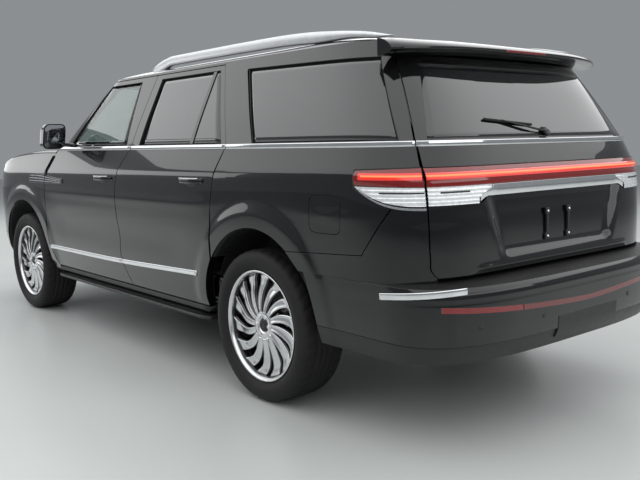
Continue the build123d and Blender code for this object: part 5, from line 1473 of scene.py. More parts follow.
# %% Bumper corners, strips and reflectors
corner_low = 0.7495
corner_first = along([(float(arch_point(39.6)[0]), corner_low), (2.30, corner_low), (2.46, corner_low),
                      (float(tail_y(0.905, 0.80)), corner_low)], (26, 12, 18))
corner_second = along([tuple(arch_point(54.6) + [0.0, -0.004]), (SEAM_KNEE[0] + 0.002, SEAM_KNEE[1] - 0.004),
                       (SEAM_TOP[0] + 0.004, SEAM_TOP[1] - 0.005), (float(gap_y(1.0815)), 1.0815)], (26, 12, 18))
corner_plan = ruled(corner_first, corner_second, 26)
reach = np.clip((np.arange(corner_plan.shape[1]) - 38) / 18, 0, 1)[None, :]
corner_plan[..., 0] += reach * (gap_y(corner_plan[:, -1:, 1]) - corner_plan[:, -1:, 0])
sheet_piece("bumper_corner_SIDE", on_side(corner_plan, side_x), PAINT, thickness=0.014)
strip_shares = np.linspace(0.33, 0.655, 60)
strip_z = 0.700 + 0.038 * (strip_shares - 0.33) / 0.325
strip_line = np.array([bumper_line(np.array([[z]]), np.array([s]))[0, 0] for s, z in zip(strip_shares, strip_z)])
outward = strip_line - [0.55, 2.35, 0]
outward[:, 2] = 0
outward /= np.linalg.norm(outward, axis=1, keepdims=True)
solid_piece("bumper_bright_strip_SIDE", swept(strip_line + outward * 0.002, LOW_BAR), CHROME)
REFLECTOR_TALL = 0.024


def reflector_z(x):
    """The reflector strip sags towards the centre."""
    return 0.612 + 0.052 * (np.abs(x) / 0.92) ** 1.3


def reflector(name, x_from, x_to, material):
    """A strip of the bumper face between two x, standing 2 mm proud."""
    x = across(x_from, x_to, 60)
    z = reflector_z(x) + down(-0.5, 0.5, 6) * REFLECTOR_TALL
    sheet_piece(name, coords(x, bumper_y(x, z) + 0.002, z), material, thickness=0.006, bevel=0.0008)


reflector("reflector_middle", -0.50, 0.50, DARK_RED)
reflector("reflector_SIDE", 0.505, 0.905, RED_LENS)
cover_x, cover_z = across(-0.25, 0.25, 30), down(0.452, 0.560, 14)
cover = coords(cover_x, bumper_y(cover_x, cover_z) + 0.003, cover_z)
sheet_piece("hitch_cover", cover, TRIM, slot="textured_black", thickness=0.008, bevel=0.003)
turn = full_turn(24)
for number, middle in enumerate((0.36, 0.74)):
    rings = []
    for radius, out in ((0.012, 0.0005), (0.010, 0.0018), (0.0, 0.0022)):
        x, z = middle + radius * np.cos(turn), 0.575 + radius * np.sin(turn)
        rings.append(coords(x, bumper_y(x, z) + out, z))
    sheet_piece(f"park_sensor_SIDE_{number}", np.stack(rings), TRIM, thickness=0, bevel=0, closed=True)
print("bumper details placed")

# %% [markdown]
# ## Wheels
# Each wheel is drawn once about its own centre, with +X outboard, and placed four times.
# The tyre is a revolved section; tread blocks come from lowering the surface where a groove
# pattern says so: groove(x, angle) has four rings and slanted cross cuts at the shoulders.

# %% Tyre form
WHEEL_PLACES = {  # how far out, how far along, which way it faces
    "front_left": (0.8625, FRONT_AXLE, 1), "front_right": (-0.8625, FRONT_AXLE, -1),
    "rear_left": (0.8585, REAR_AXLE, 1), "rear_right": (-0.8585, REAR_AXLE, -1)}
tyre_profile = np.array([  # radius, x: from the inner bead over the tread to the outer bead
    (0.2870, -0.108), (0.2960, -0.1125), (0.3060, -0.1210), (0.3180, -0.1320), (0.3340, -0.1395),
    (0.3500, -0.1420), (0.3660, -0.1400), (0.3800, -0.1350), (0.3900, -0.1290), (0.3975, -0.1190),
    (0.4020, -0.1060), (0.4048, -0.0850)])


def resample_profile(profile, count):
    """The profile as a smooth curve with evenly spaced points."""
    run = np.concatenate([[0], np.cumsum(np.linalg.norm(np.diff(profile, axis=0), axis=1))])
    where = np.linspace(0, run[-1], count)
    return coords(flow(where, run, profile[:, 0]), flow(where, run, profile[:, 1]))


def closed_faces(points, faces):
    """The same faces, all turned outwards: the signed volume under them says which way they look."""
    quads = np.array([face for face in faces if len(face) == 4])
    a, b, c, d = (points[quads[:, k]] for k in range(4))
    volume = np.einsum("ij,ij->", a, np.cross(b, c) + np.cross(c, d))
    return faces if volume > 0 else [list(face)[::-1] for face in faces]


crown_x = np.linspace(-0.078, 0.078, 29)
crown = coords(TYRE_RADIUS - 0.0004 - 0.0016 * (crown_x / 0.078) ** 2, crown_x)
outer_profile = tyre_profile[::-1] * [1, -1]
section = np.concatenate([resample_profile(tyre_profile, 11), crown, resample_profile(outer_profile, 11)])
TREAD_STEPS = 240


def tread_grooves(x, turn):
    """Depth share of the tread's grooves: four rings, and slanted cuts at both shoulders."""
    rings = sum(near(x, centre, 0.0042) for centre in (-0.057, -0.019, 0.019, 0.057))
    cuts = np.maximum(0, np.sin(40 * turn + 55 * np.abs(x)) - 0.80) / 0.20
    shoulder = smooth(np.abs(x), 0.060, 0.068) * (1 - smooth(np.abs(x), 0.118, 0.130))
    sipes = np.maximum(0, np.sin(60 * turn - 70 * x) - 0.88) / 0.12 * (1 - smooth(np.abs(x), 0.050, 0.056))
    return np.clip(rings + cuts * shoulder + 0.35 * sipes, 0, 1)


tyre_turn = full_turn(TREAD_STEPS)[:, None]
radius, x = section[None, :, 0], section[None, :, 1]
on_tread = smooth(radius, 0.392, 0.400)
rings_side = 0.0008 * (near(radius, 0.322, 0.002) + near(radius, 0.366, 0.0016) + near(radius, 0.371, 0.0016))
radius = radius - 0.007 * tread_grooves(x, tyre_turn) * on_tread
x = x + np.sign(x) * (rings_side - 0.0008) * (1 - on_tread)
TYRE_GRID = coords(x, radius * np.cos(tyre_turn), radius * np.sin(tyre_turn))
print("tyre", TYRE_GRID.shape)

# %% [markdown]
# The rim has fourteen swept blades. Each blade runs on a curve whose lead angle grows as
# a * s^2, widens towards the rim and hollows in its middle; its face is machined and its
# flanks are black.

# %% Rim form
BLADES = 14
HUB_EDGE, BLADE_END = 0.072, 0.276
blade_s = down(0, 1, 20)
blade_u = across(-1, 1, 7)


def blade_angle(s, u):
    """Angle round the wheel of a blade point: swept lead plus half its width."""
    width = 0.118 + 0.070 * (1 - s) ** 3 + 0.020 * smooth(s, 0.80, 1.0)
    return -0.34 * s**1.7 + u * width


def blade_x(s, u):
    """How far out the blade face lies: dished from the hub to the rim, hollow across."""
    return 0.098 - 0.026 * s**1.5 + 0.019 * smooth(s, 0.72, 1.0) + 0.0035 * u**2 - 0.004 * u


blade_r = HUB_EDGE + (BLADE_END - HUB_EDGE) * blade_s
blade_turn = blade_angle(blade_s, blade_u)
BLADE_FACE = coords(blade_x(blade_s, blade_u), blade_r * np.cos(blade_turn), blade_r * np.sin(blade_turn))


def turned(points, angle):
    """Points turned about the wheel's axis."""
    c, s = np.cos(angle), np.sin(angle)
    return points @ np.array([[1, 0, 0], [0, c, s], [0, -s, c]])


def repeated(loops, count, offset=0.0):
    """A capped body of closed loops, copied round the wheel; points and faces."""
    rows, columns = loops.shape[:2]
    size = rows * columns
    ends = [list(range(columns))[::-1], list(range(size - columns, size))]
    one = grid_faces(rows, columns, False, True).tolist() + ends
    points = [turned(loops.reshape(-1, 3), (number + offset) * tau / count) for number in range(count)]
    return np.concatenate(points), [[number * size + corner for corner in face] for number in range(count)
                                    for face in one]


def blade_set(offset_in, thickness):
    """All blades as one closed mesh: face grid, back grid, and the strips between them."""
    front = BLADE_FACE + [offset_in, 0, 0]
    back = BLADE_FACE + [offset_in, 0, 0] - [thickness, 0, 0]
    return repeated(np.concatenate([front, back[:, ::-1]], axis=1), BLADES)


MACHINED_SET, BLACK_SET = blade_set(0.0, 0.006), blade_set(-0.0062, 0.036)
print("rim blades", len(MACHINED_SET[0]), len(BLACK_SET[0]))

# %% [markdown]
# Everything round on a wheel is one closed profile turned about the axle: barrel, lip, hub, cap and
# disc. A right-hand wheel is the left one turned half round, so its blades sweep the same way.

# %% Wheel pieces
barrel = [(0.2690, -0.118), (0.2970, -0.122), (0.2970, -0.114), (0.2850, -0.108), (0.2850, 0.106),
          (0.2968, 0.1125), (0.2972, 0.1200), (0.2940, 0.1218), (0.2880, 0.1195), (0.2830, 0.1140),
          (0.2790, 0.1040), (0.2750, 0.0960), (0.2720, 0.0600), (0.2690, 0.0200), (0.2680, -0.060)]
lip = [(0.2905, 0.1222), (0.2965, 0.1217), (0.2975, 0.1190), (0.2962, 0.1165), (0.2900, 0.1172),
       (0.2835, 0.1080), (0.2800, 0.0985), (0.2772, 0.0990), (0.2800, 0.1090), (0.2850, 0.1180)]
hub = [(0.012, 0.0900), (0.030, 0.0900), (0.0345, 0.0925), (0.0355, 0.0965), (0.060, 0.0990), (0.074, 0.0975),
       (0.078, 0.0930), (0.078, 0.0500), (0.070, 0.0400), (0.020, 0.0400)]
cap = [(0.0005, 0.1005), (0.020, 0.1000), (0.0290, 0.0985), (0.0325, 0.0950), (0.0330, 0.0905), (0.0005, 0.0905)]
disc = [(0.060, -0.0310), (0.176, -0.0310), (0.178, -0.0290), (0.178, -0.0240), (0.170, -0.0230),
        (0.170, -0.0150), (0.178, -0.0140), (0.178, -0.0085), (0.176, -0.0065), (0.100, -0.0065),
        (0.096, 0.0100), (0.060, 0.0120)]


def wheel_piece(name, points, faces, material, node=None, smooth_faces=True, **more):
    """Places wheel points at the four wheels; the right side is turned half round."""
    for place, (out, behind, facing) in WHEEL_PLACES.items():
        piece(f"{name}_{place}", points * [facing, facing, 1] + [out, behind, TYRE_RADIUS],
              closed_faces(points, faces), material, f"wheel_{place}", replaces=node and f"{node}_{place}",
              smooth=smooth_faces, **more)


def ring_of(profile, steps):
    """Closed ring of revolution about X from a closed (radius, x) profile."""
    turn, ring = full_turn(steps)[:, None], np.array(profile)
    grid = coords(ring[:, 1], ring[:, 0] * np.cos(turn), ring[:, 0] * np.sin(turn))
    return grid.reshape(-1, 3), grid_faces(steps, len(ring), True, True)


nut_rows = np.array([(0.0105, 0.0880), (0.0105, 0.1015), (0.0090, 0.1035), (0.0040, 0.1045), (0.0004, 0.1046)])
nut = coords(nut_rows[:, 1:], nut_rows[:, :1] * np.cos(full_turn(6)), nut_rows[:, :1] * np.sin(full_turn(6)) + 0.0515)
tyre_faces = grid_faces(TREAD_STEPS, TYRE_GRID.shape[1], True, True)
wheel_piece("tyre_tread", TYRE_GRID.reshape(-1, 3), tyre_faces, RUBBER, "tyre")
wheel_piece("rim_barrel", *ring_of(barrel, 96), WHEEL_BLACK, "rim")
wheel_piece("rim_lip", *ring_of(lip, 96), MACHINED)
wheel_piece("rim_blade_faces", *MACHINED_SET, MACHINED)
wheel_piece("rim_blade_flanks", *BLACK_SET, WHEEL_BLACK)
wheel_piece("rim_hub", *ring_of(hub, 60), MACHINED)
wheel_piece("rim_cap", *ring_of(cap, 48), TRIM)
wheel_piece("rim_nuts", *repeated(nut, 6, 0.5), CHROME, smooth_faces=False)
wheel_piece("brake_disc", *ring_of(disc, 72), STEEL)
print("wheels placed", len(WHEEL_PLACES))

# %% [markdown]
# ## Front end
# The bonnet surface is a height z = f(x, y): its edge height and its crown change from nose to
# cowl, and one cross curve, scaled by the crown, gives its section. Fenders take the same height
# for their tops, so the shut line between them is only a gap.

# %% Bonnet form
BONNET_STATIONS = np.array([  # behind the nose, edge below the belt, crown
    (-0.060, 0.290, 0.040), (0.110, 0.205, 0.044), (0.280, 0.152, 0.046), (0.440, 0.100, 0.048),
    (0.760, 0.042, 0.050), (1.080, 0.017, 0.050), (1.420, 0.005, 0.050), (1.700, 0.005, 0.050)])
CROSS_X = (0.0, 0.25, 0.504, 0.756, 1.008, 1.088)
CROSS_SHARE = (1.0, 0.935, 0.69, 0.26, -0.24, -0.44)
BONNET_EDGE_X = HALF_WIDTH - 0.218
SHOULDER = 0.032


def bonnet_z(x, y):
    """Height of the bonnet and fender tops at (x, y)."""
    back = np.asarray(y, float) - NOSE_Y
    edge = BELT_Z - read(BONNET_STATIONS, back, 1)
    return edge + read(BONNET_STATIONS, back, 2) * flow(np.abs(x), CROSS_X, CROSS_SHARE)


def shoulder_z(y):
    """Height where the fender's side starts to turn over into its top."""
    z = 1.25 + 0 * np.asarray(y, float)
    for _ in range(5):
        z = bonnet_z(side_x(y, z), y) - SHOULDER
    return z


def nose_edge_y(x):
    """Front edge of the bonnet in plan."""
    return flow(np.abs(x), [0, 0.395, 0.790], [-2.748, -2.713, -2.618])


def cowl_y(x):
    """Rear edge of the bonnet in plan."""
    return flow(np.abs(x), [0, 0.395, 0.790], [-1.503, -1.453, -1.293])


plan_x = across(-BONNET_EDGE_X, BONNET_EDGE_X, 64)
plan_t = down(0, 1, 52)
plan_y = blend(nose_edge_y(plan_x), cowl_y(plan_x), plan_t)
ridge_x = 0.36 + 0.20 * plan_t
ridge = 0.007 * near(np.abs(plan_x), ridge_x, 0.028) * smooth(plan_t, 0.04, 0.2) * (1 - smooth(plan_t, 0.9, 1.0))
roll = 0.016 * (1 - smooth(plan_t, 0.0, 0.045)) ** 2
bonnet_grid = coords(plan_x, plan_y, bonnet_z(plan_x, plan_y) + ridge - roll)
sheet_piece("bonnet_skin", bonnet_grid, PAINT, body="bonnet_panel", thickness=0.030, bevel=0.004,
            inside=(0, -2.0, 0.6), replaces="bonnet")
brace_x = across(-0.70, 0.70, 24)
brace_y = nose_edge_y(brace_x) + 0.10 + down(0, 1, 24) * (cowl_y(brace_x) - nose_edge_y(brace_x) - 0.2)
dimple = 0.010 * np.cos(brace_x * tau / 0.28) * np.cos((brace_y - NOSE_Y) * tau / 0.30)
brace = coords(brace_x, brace_y, bonnet_z(brace_x, brace_y) - 0.040 + dimple - 0.002)
sheet_piece("bonnet_liner", brace, TRIM, body="bonnet_panel", slot="textured_black", thickness=0.003, bevel=0,
            inside=(0, -2.0, 3.0))
print("bonnet", bonnet_grid.shape, "leading edge at", round(float(bonnet_grid[0, 45, 2]), 3))

# %% [markdown]
# Each fender is a ruled grid from the sill, arch and bumper seam up to the door edge and the
# shoulder. From the shoulder a second grid turns over along a quarter circle and runs in to the
# bonnet gap; both share the points where they meet, so the surface is one mesh.

# %% Fenders
SEAM_Y, LAMP_LOW_Z, LAMP_TOP_Z = FRONT_AXLE - 0.640, 0.945, 1.078
NOSE_SIDE_Y = -2.645
fender_edge = edge_curve(FRONT_EDGE, FRONT_CUT, -GAP / 2 - 0.0015)
FENDER_ANGLES = (-3.8, 12, 30, 60, 90, 120, 154.6)
FENDER_STEPS = (12, 14, 26, 20, 20, 22)
arch_line = along_arch(FENDER_ANGLES, FENDER_STEPS, FRONT_AXLE)
seam_line = along([tuple(arch_line[-1]), (SEAM_Y, LAMP_LOW_Z), (SEAM_Y, LAMP_TOP_Z + 0.006),
                   (NOSE_SIDE_Y, LAMP_TOP_Z + 0.006)], (16, 8, 14))
sill_line = np.linspace((float(fender_edge(0.398)), 0.398), arch_line[0], 8, endpoint=False)
low_line = np.vstack([sill_line, arch_line[:-1], seam_line])
door_heights = along([0.42, 0.47, 0.61, 0.92], (8, 12, 14))[:-1]
CREST_BACK = -1.184
door_part = coords(fender_edge(door_heights), door_heights)
top_heights = np.linspace(0.92, float(shoulder_z(np.array(CREST_BACK))), 26, endpoint=False)
door_top = coords(fender_edge(top_heights), top_heights)
remaining = len(low_line) - len(door_part) - len(door_top)
crest_y = CREST_BACK + (NOSE_SIDE_Y - CREST_BACK) * np.linspace(0, 1, remaining) ** 0.95
high_line = np.vstack([door_part, door_top, coords(crest_y, shoulder_z(crest_y))])
side_plan = ruled(low_line, high_line, 20)
side_grid = on_side(side_plan, side_x)
turn, inward = down(0, pi / 2, 7)[1:], down(0, 1, 8)[1:]
crest_x = side_x(crest_y, shoulder_z(crest_y))
over_x = crest_x - SHOULDER * (1 - np.cos(turn))
over_z = shoulder_z(crest_y) + SHOULDER * np.sin(turn)
inner_x = blend(crest_x - SHOULDER, BONNET_EDGE_X + GAP, inward)
crest_bonnet_z = bonnet_z(crest_x - SHOULDER, crest_y)
inner_z = bonnet_z(inner_x, crest_y) - crest_bonnet_z + over_z[-1:]
settle = (crest_bonnet_z - over_z[-1:]) * smooth(inward, 0, 1)
top_grid = np.concatenate([coords(over_x, crest_y, over_z), coords(inner_x, crest_y, inner_z + settle)])
rows, columns = side_grid.shape[:2]
first_crest = columns - len(crest_y)
joined_index = np.vstack([np.arange((rows - 1) * columns + first_crest, rows * columns),
                          rows * columns + np.arange(top_grid[..., 0].size).reshape(top_grid.shape[:2])])
joined_quads = np.stack([joined_index[:-1, :-1], joined_index[:-1, 1:], joined_index[1:, 1:],
                         joined_index[1:, :-1]], -1).reshape(-1, 4)
fender_points = np.concatenate([side_grid.reshape(-1, 3), top_grid.reshape(-1, 3)])
fender_quads = np.concatenate([grid_faces(rows, columns), joined_quads])
sheet_piece("fender_SIDE", fender_points, PAINT, bevel=0.002, inside=(0.5, FRONT_AXLE, 0.8),
            replaces="front_fenders", faces=fender_quads)
print("fenders", len(fender_points))

# %% [markdown]
# The vent behind the front wheel runs across the shut line onto the door: a black frame with
# bright bars, split where the door opens.

# %% Side vents
VENT_FRONT, VENT_BACK = -1.695, -0.985


def vent_height(y, share):
    """Height across the vent at y: it tapers to the rear. share runs from 0 at its low edge to 1."""
    low = 1.078 + 0.006 * smooth(y, VENT_FRONT, VENT_BACK)
    high = 1.158 - 0.034 * smooth(y, VENT_FRONT + 0.15, VENT_BACK)
    return low + (high - low) * share


def vent_strip(name, start, stop, low, high, out, thickness, body, material, bevel):
    """A strip of the vent between two edges and two shares of its height."""
    t, s = across(0, 1, 30), down(low, high, 6)
    z = vent_height(blend(start(1.12), stop(1.12), t), s)
    grid = on_side(coords(blend(start(z), stop(z), t), z), side_x, out)
    sheet_piece(f"{name}_SIDE", grid, material, body, thickness=thickness, bevel=bevel)


for tag, body, start, stop, bar_start, bar_stop in (
        ("fender", "root", lambda z: VENT_FRONT + 0.03 * (z - 1.08) / 0.08, lambda z: fender_edge(z) - 0.001,
         0.018, 0),
        ("door", "front_door_SIDE_panel", lambda z: front_edge(z) + 0.001, fixed(VENT_BACK), 0, -0.030)):
    vent_strip(f"vent_frame_{tag}", start, stop, 0.0, 1.0, 0.004, 0.006, body, PILLAR_GLOSS, 0.002)
    for number, (low, high) in enumerate(((0.20, 0.27), (0.46, 0.54), (0.73, 0.80))):
        vent_strip(f"vent_bar_{tag}_{number}", lambda z: start(z) + bar_start, lambda z: stop(z) + bar_stop,
                   low, high, 0.0075, 0.003, body, CHROME, 0.001)
print("vents placed")

# %% [markdown]
# The nose is the rounded front end of the body. A point on it is given by its height and by the
# turn round the superellipse, from the centre line to the fender seam or the wheel arch.

# %% Nose panels
def nose_limit(z):
    """Side view y where the bumper ends: the arch below, then the slanted seam up to the lamp."""
    arch = FRONT_AXLE - np.sqrt(np.maximum((ARCH_RADIUS + 0.001) ** 2 - (z - ARCH_Z) ** 2, 0))
    seam = flow(z, [0.643, 0.794, 0.945, 1.2], [-2.306, -2.400, -2.495, -2.495])
    return np.where(z < 0.643, np.minimum(arch, -2.306 + 0 * z), seam) - 0.001


def nose_turn(z, x_from=None, y_limit=None):
    """The turn where the nose reaches a half breadth x or a side view y."""
    nose = nose_front(z)
    if x_from is not None:
        share_x = np.clip(x_from / half_width(NOSE_Y + 0.9, z), 0, 1)
        return np.arctan2(rounded_end(share_x, NOSE_POWER), share_x)
    share_y = np.clip((nose + NOSE_DEPTH - y_limit) / NOSE_DEPTH, 0, 1)
    return np.arctan2(share_y, rounded_end(share_y, NOSE_POWER))


def nose_point(z, angle, out=0.0):
    """A point of the nose surface, moved outwards by out."""
    nose = nose_front(z)
    width = half_width(NOSE_Y + 0.9, z)
    c, s = np.maximum(np.cos(angle), 0), np.sin(angle)
    radius = (c**NOSE_POWER + s**NOSE_POWER) ** (-1 / NOSE_POWER)
    y = nose + NOSE_DEPTH - NOSE_DEPTH * radius * s
    x = np.where(angle < 1.0, side_x(y, z), width * radius * c)
    return coords(x + out * c, y - out * s, z)


NOSE_INSIDE = (0, NOSE_Y + 0.9, 0.8)


def nose_panel(name, low, high, start, stop, material, rows, columns, out=0.0, thickness=0.016, bevel=0.002,
               **more):
    """A panel of the nose between two heights and two turns, each turn a function of height."""
    z = blend(low, high, down(0, 1, rows))
    angle = blend(start(z), stop(z), across(0, 1, columns))
    sheet_piece(name, nose_point(z, angle, out), material, thickness=thickness, bevel=bevel, inside=NOSE_INSIDE,
                **more)


GRILLE_X, GRILLE_LOW, GRILLE_TOP = 0.500, 0.622, 1.118


def to_limit(z):
    """The turn where the bumper ends."""
    return nose_turn(z, y_limit=nose_limit(z))


def from_breadth(x):
    """The turn at a half breadth, as a function of height."""
    return lambda z: nose_turn(z, x_from=x)


def full_strip(name, low, high, material, rows, out=0.0, **more):
    """A strip right across the nose: a half from the centre line outwards, and its mirror image."""
    z = down(low, high, rows)
    half = nose_point(z, blend(pi / 2, to_limit(z), across(0, 1, 54)), out)
    half[:, 0, 0] = 0
    sheet_piece(name, np.concatenate([half[:, :0:-1] * [-1, 1, 1], half], axis=1), material, thickness=0.016,
                bevel=0.002, inside=NOSE_INSIDE, **more)


full_strip("front_bumper_face", 0.500, 0.618, PAINT, 16, replaces="front_bumper")
full_strip("front_valance", 0.408, 0.4975, TRIM, 7, out=-0.004, slot="textured_black")
nose_panel("front_cheek_SIDE", 0.620, LAMP_LOW_Z - 0.002, from_breadth(0.506), to_limit, PAINT, 28, 36)
nose_panel("lamp_post_SIDE", LAMP_LOW_Z, LAMP_TOP_Z + 0.004, from_breadth(0.506), from_breadth(0.524), PAINT, 12, 6)
fender_end = top_grid[::-1, -1]
x = np.concatenate([np.linspace(0.506, 0.790, 30, endpoint=False),
                    np.linspace(0.790, fender_end[-1, 0] - 0.001, 12)])[None, :]
top = bonnet_z(x, np.minimum(nose_edge_y(np.minimum(x, BONNET_EDGE_X)), -2.618)) - 0.020
top = np.where(x > fender_end[0, 0], np.interp(x, fender_end[:, 0], fender_end[:, 2]) - 0.002, top)
z = blend(LAMP_TOP_Z + 0.006, top, down(0, 1, 16))
sheet_piece("front_brow_SIDE", on_end(coords(x, z), nose_y), PAINT, thickness=0.014, inside=NOSE_INSIDE)
x = across(-0.505, 0.505, 60)
z = blend(GRILLE_TOP + 0.003, bonnet_z(x, nose_edge_y(x)) - 0.020, down(0, 1, 8))
sheet_piece("front_brow_middle", on_end(coords(x, z), nose_y), PAINT, thickness=0.014, inside=NOSE_INSIDE)
print("nose panels placed")

# %% [markdown]
# The grille is a bright ring round a dark opening: horizontal bars in front, a fine lattice of
# upright blades behind, and a black back wall. The slim lamps beside it have a clear cover over a
# light line and two round modules.

# %% Grille
def face_point(x, z, out=0.0):
    """A point on the flat middle of the nose."""
    return coords(x, nose_y(x, z) - out, z)


def evened(points, count):
    """Evenly spaced points round a closed outline."""
    closed = np.vstack([points, points[:1]])
    run = np.concatenate([[0], np.cumsum(np.linalg.norm(np.diff(closed, axis=0), axis=1))])
    where = np.linspace(0, run[-1], count, endpoint=False)
    return coords(*[np.interp(where, run, closed[:, k]) for k in range(2)])


def ring_path(x_half, z_low, z_high, radius):
    """Closed rounded rectangle (x, z)."""
    corners = [(x_half - radius, z_high - radius, 0), (-x_half + radius, z_high - radius, 90),
               (-x_half + radius, z_low + radius, 180), (x_half - radius, z_low + radius, 270)]
    points = []
    for cx, cz, start in corners:
        turn = np.radians(start + np.linspace(0, 90, 14))
        points.append(coords(cx + radius * np.cos(turn), cz + radius * np.sin(turn)))
    return evened(np.vstack(points), 180)


def framed(name, path_xz, section_half, section_deep, out, material):
    """A closed rounded bar running round a path on the nose."""
    line = face_point(path_xz[:, 0], path_xz[:, 1], out)
    tangent = np.roll(line, -1, 0) - np.roll(line, 1, 0)
    tangent /= np.linalg.norm(tangent, axis=1, keepdims=True)
    outward = np.array([0, -1.0, 0]) + 0 * line
    side_axis = np.cross(tangent, outward)
    side_axis /= np.linalg.norm(side_axis, axis=1, keepdims=True)
    a, b = squared(full_turn(14)[None, :, None], 0.7)
    loops = line[:, None] + a * section_half * side_axis[:, None] + b * section_deep * outward[:, None]
    solid_piece(name, loops, material, ring=True)


framed("grille_ring", ring_path(GRILLE_X - 0.004, GRILLE_LOW + 0.004, GRILLE_TOP - 0.002, 0.050), 0.011, 0.012,
       -0.013, CHROME)
wall_x, wall_z = across(-GRILLE_X + 0.004, GRILLE_X - 0.004, 40), down(GRILLE_LOW + 0.004, GRILLE_TOP - 0.004, 20)
sheet_piece("grille_back", face_point(wall_x, wall_z, -0.062), SEAL, thickness=0.004, bevel=0,
            inside=(0, -1.5, 0.85), replaces="grille")
inner_x = GRILLE_X - 0.018
bar_x = np.linspace(-inner_x, inner_x, 40)
for number, z in enumerate(np.linspace(GRILLE_LOW + 0.050, GRILLE_TOP - 0.050, 8)):
    bar = swept(face_point(bar_x, z, -0.022), round_section(0.026, 0.013, 0.004))
    solid_piece(f"grille_bar_{number}", bar, CHROME)
blades = 27
blade_z = np.linspace(GRILLE_LOW + 0.012, GRILLE_TOP - 0.012, 12)
for number, x in enumerate(np.linspace(-inner_x + 0.02, inner_x - 0.02, blades)):
    blade = swept(face_point(x, blade_z, -0.038), round_section(0.004, 0.018, 0.001, 2), up=(0, 1, 0))
    solid_piece(f"grille_blade_{number}", blade, TRIM)
z, deep = down(GRILLE_LOW, GRILLE_TOP, 12), across(0.0, -0.066, 6)
sheet_piece("grille_cheek_SIDE", coords(GRILLE_X, nose_y(GRILLE_X, z) - deep, z), TRIM, thickness=0.004, bevel=0,
            inside=(0.9, NOSE_Y + 0.1, 0.85))
x, deep = down(-GRILLE_X, GRILLE_X, 30), across(-0.004, -0.066, 6)
for tag, z, away in (("low", GRILLE_LOW, -0.3), ("top", GRILLE_TOP, 0.3)):
    sheet_piece(f"grille_{tag}_wall", coords(x, nose_y(x, z) - deep, z), TRIM, thickness=0.004, bevel=0,
                inside=(0, NOSE_Y + 0.1, z + away))
print("grille", blades, "blades")

# %% [markdown]
# The lamp is a slim slot that runs round the corner of the nose. Its bed, light lines and clear cover
# are strips of the nose at different depths, so they stay parallel round the bend.

# %% Headlamps
def lamp_panel(name, low, high, x_from, y_back, out, material, rows=14, thickness=0.004, bevel=0.0, **more):
    """A strip of the lamp between two heights, from a half breadth round to just before the seam."""
    nose_panel(f"{name}_SIDE", low, high, from_breadth(x_from), lambda z: nose_turn(z, y_limit=SEAM_Y - y_back),
               material, rows, 60, out, thickness, bevel, **more)


lamp_panel("headlamp_cover", LAMP_LOW_Z + 0.002, LAMP_TOP_Z + 0.002, 0.527, 0.004, 0.000, CLEAR, bevel=0.001,
           slot="lamp_clear", replaces="headlamps")
lamp_panel("headlamp_bed", LAMP_LOW_Z, LAMP_TOP_Z + 0.004, 0.525, 0.002, -0.045, TRIM)
lamp_panel("headlamp_line", LAMP_TOP_Z - 0.026, LAMP_TOP_Z - 0.012, 0.540, 0.020, -0.018, WHITE_LENS, rows=5,
           bevel=0.001, thickness=0.008)
lamp_panel("headlamp_low_line", LAMP_LOW_Z + 0.010, LAMP_LOW_Z + 0.018, 0.540, 0.020, -0.020, CHROME, rows=4,
           thickness=0.006)
turn = full_turn(40)
MODULE_RINGS = [(0.0005, 0.004), (0.012, 0.0045), (0.022, 0.007), (0.026, 0.011), (0.028, 0.012), (0.031, 0.007),
                (0.032, 0.020)]
for number, x in enumerate((0.600, 0.690, 0.775)):
    centre = np.array([x, float(nose_y(x, 1.000)) + 0.020, 1.000])
    lens = np.stack([centre + coords(r * np.cos(turn), depth, r * np.sin(turn)) for r, depth in MODULE_RINGS])
    sheet_piece(f"headlamp_module_{number}_SIDE", lens, CHROME, slot="lamp_clear", thickness=0.002, bevel=0,
                inside=(0, -1.0, 1.0), closed=True)
print("headlamps placed")

# %% [markdown]
# Under the grille sit a wide intake with three bars, a pocket at each side and a satin skid panel.
# They are shallow, so they are laid on the face instead of being cut through it.

# %% Lower intake and skid panel
LOW_INSIDE = (0, NOSE_Y + 0.9, 0.6)
z = down(0.520, 0.596, 8)
x = across(0.60, 0.83, 24)
x = x + 0.3 * (z - 0.52) * (x - 0.60)
sheet_piece("air_pocket_SIDE", face_point(x, z, 0.003), TRIM, thickness=0.006, bevel=0.002, inside=LOW_INSIDE)
pocket_bar = swept(face_point(np.linspace(0.612, 0.815, 20), 0.557, 0.006), round_section(0.008, 0.010, 0.003))
solid_piece("air_pocket_bar_SIDE", pocket_bar, CHROME)
sheet_piece("lower_intake", face_point(across(-0.52, 0.52, 50), down(0.512, 0.598, 8)), TRIM, thickness=0.006,
            bevel=0.002, inside=LOW_INSIDE)
for number, height in enumerate((0.530, 0.555, 0.580)):
    bar = swept(face_point(np.linspace(-0.50, 0.50, 40), height, -0.001), round_section(0.010, 0.008, 0.002))
    solid_piece(f"lower_intake_bar_{number}", bar, SEAL)
z = down(0.424, 0.492, 8)
skid = face_point(across(-0.42, 0.42, 40) * (1 - 0.8 * (0.492 - z)), z, 0.002)
sheet_piece("skid_panel", skid, SATIN, thickness=0.006, bevel=0.003, inside=LOW_INSIDE)
print("lower face placed")

# %% [markdown]
# The windscreen is a ruled pane on the glasshouse with a dark band baked round its edge. The cowl
# closes the gap to the bonnet, and two wipers lie on it.

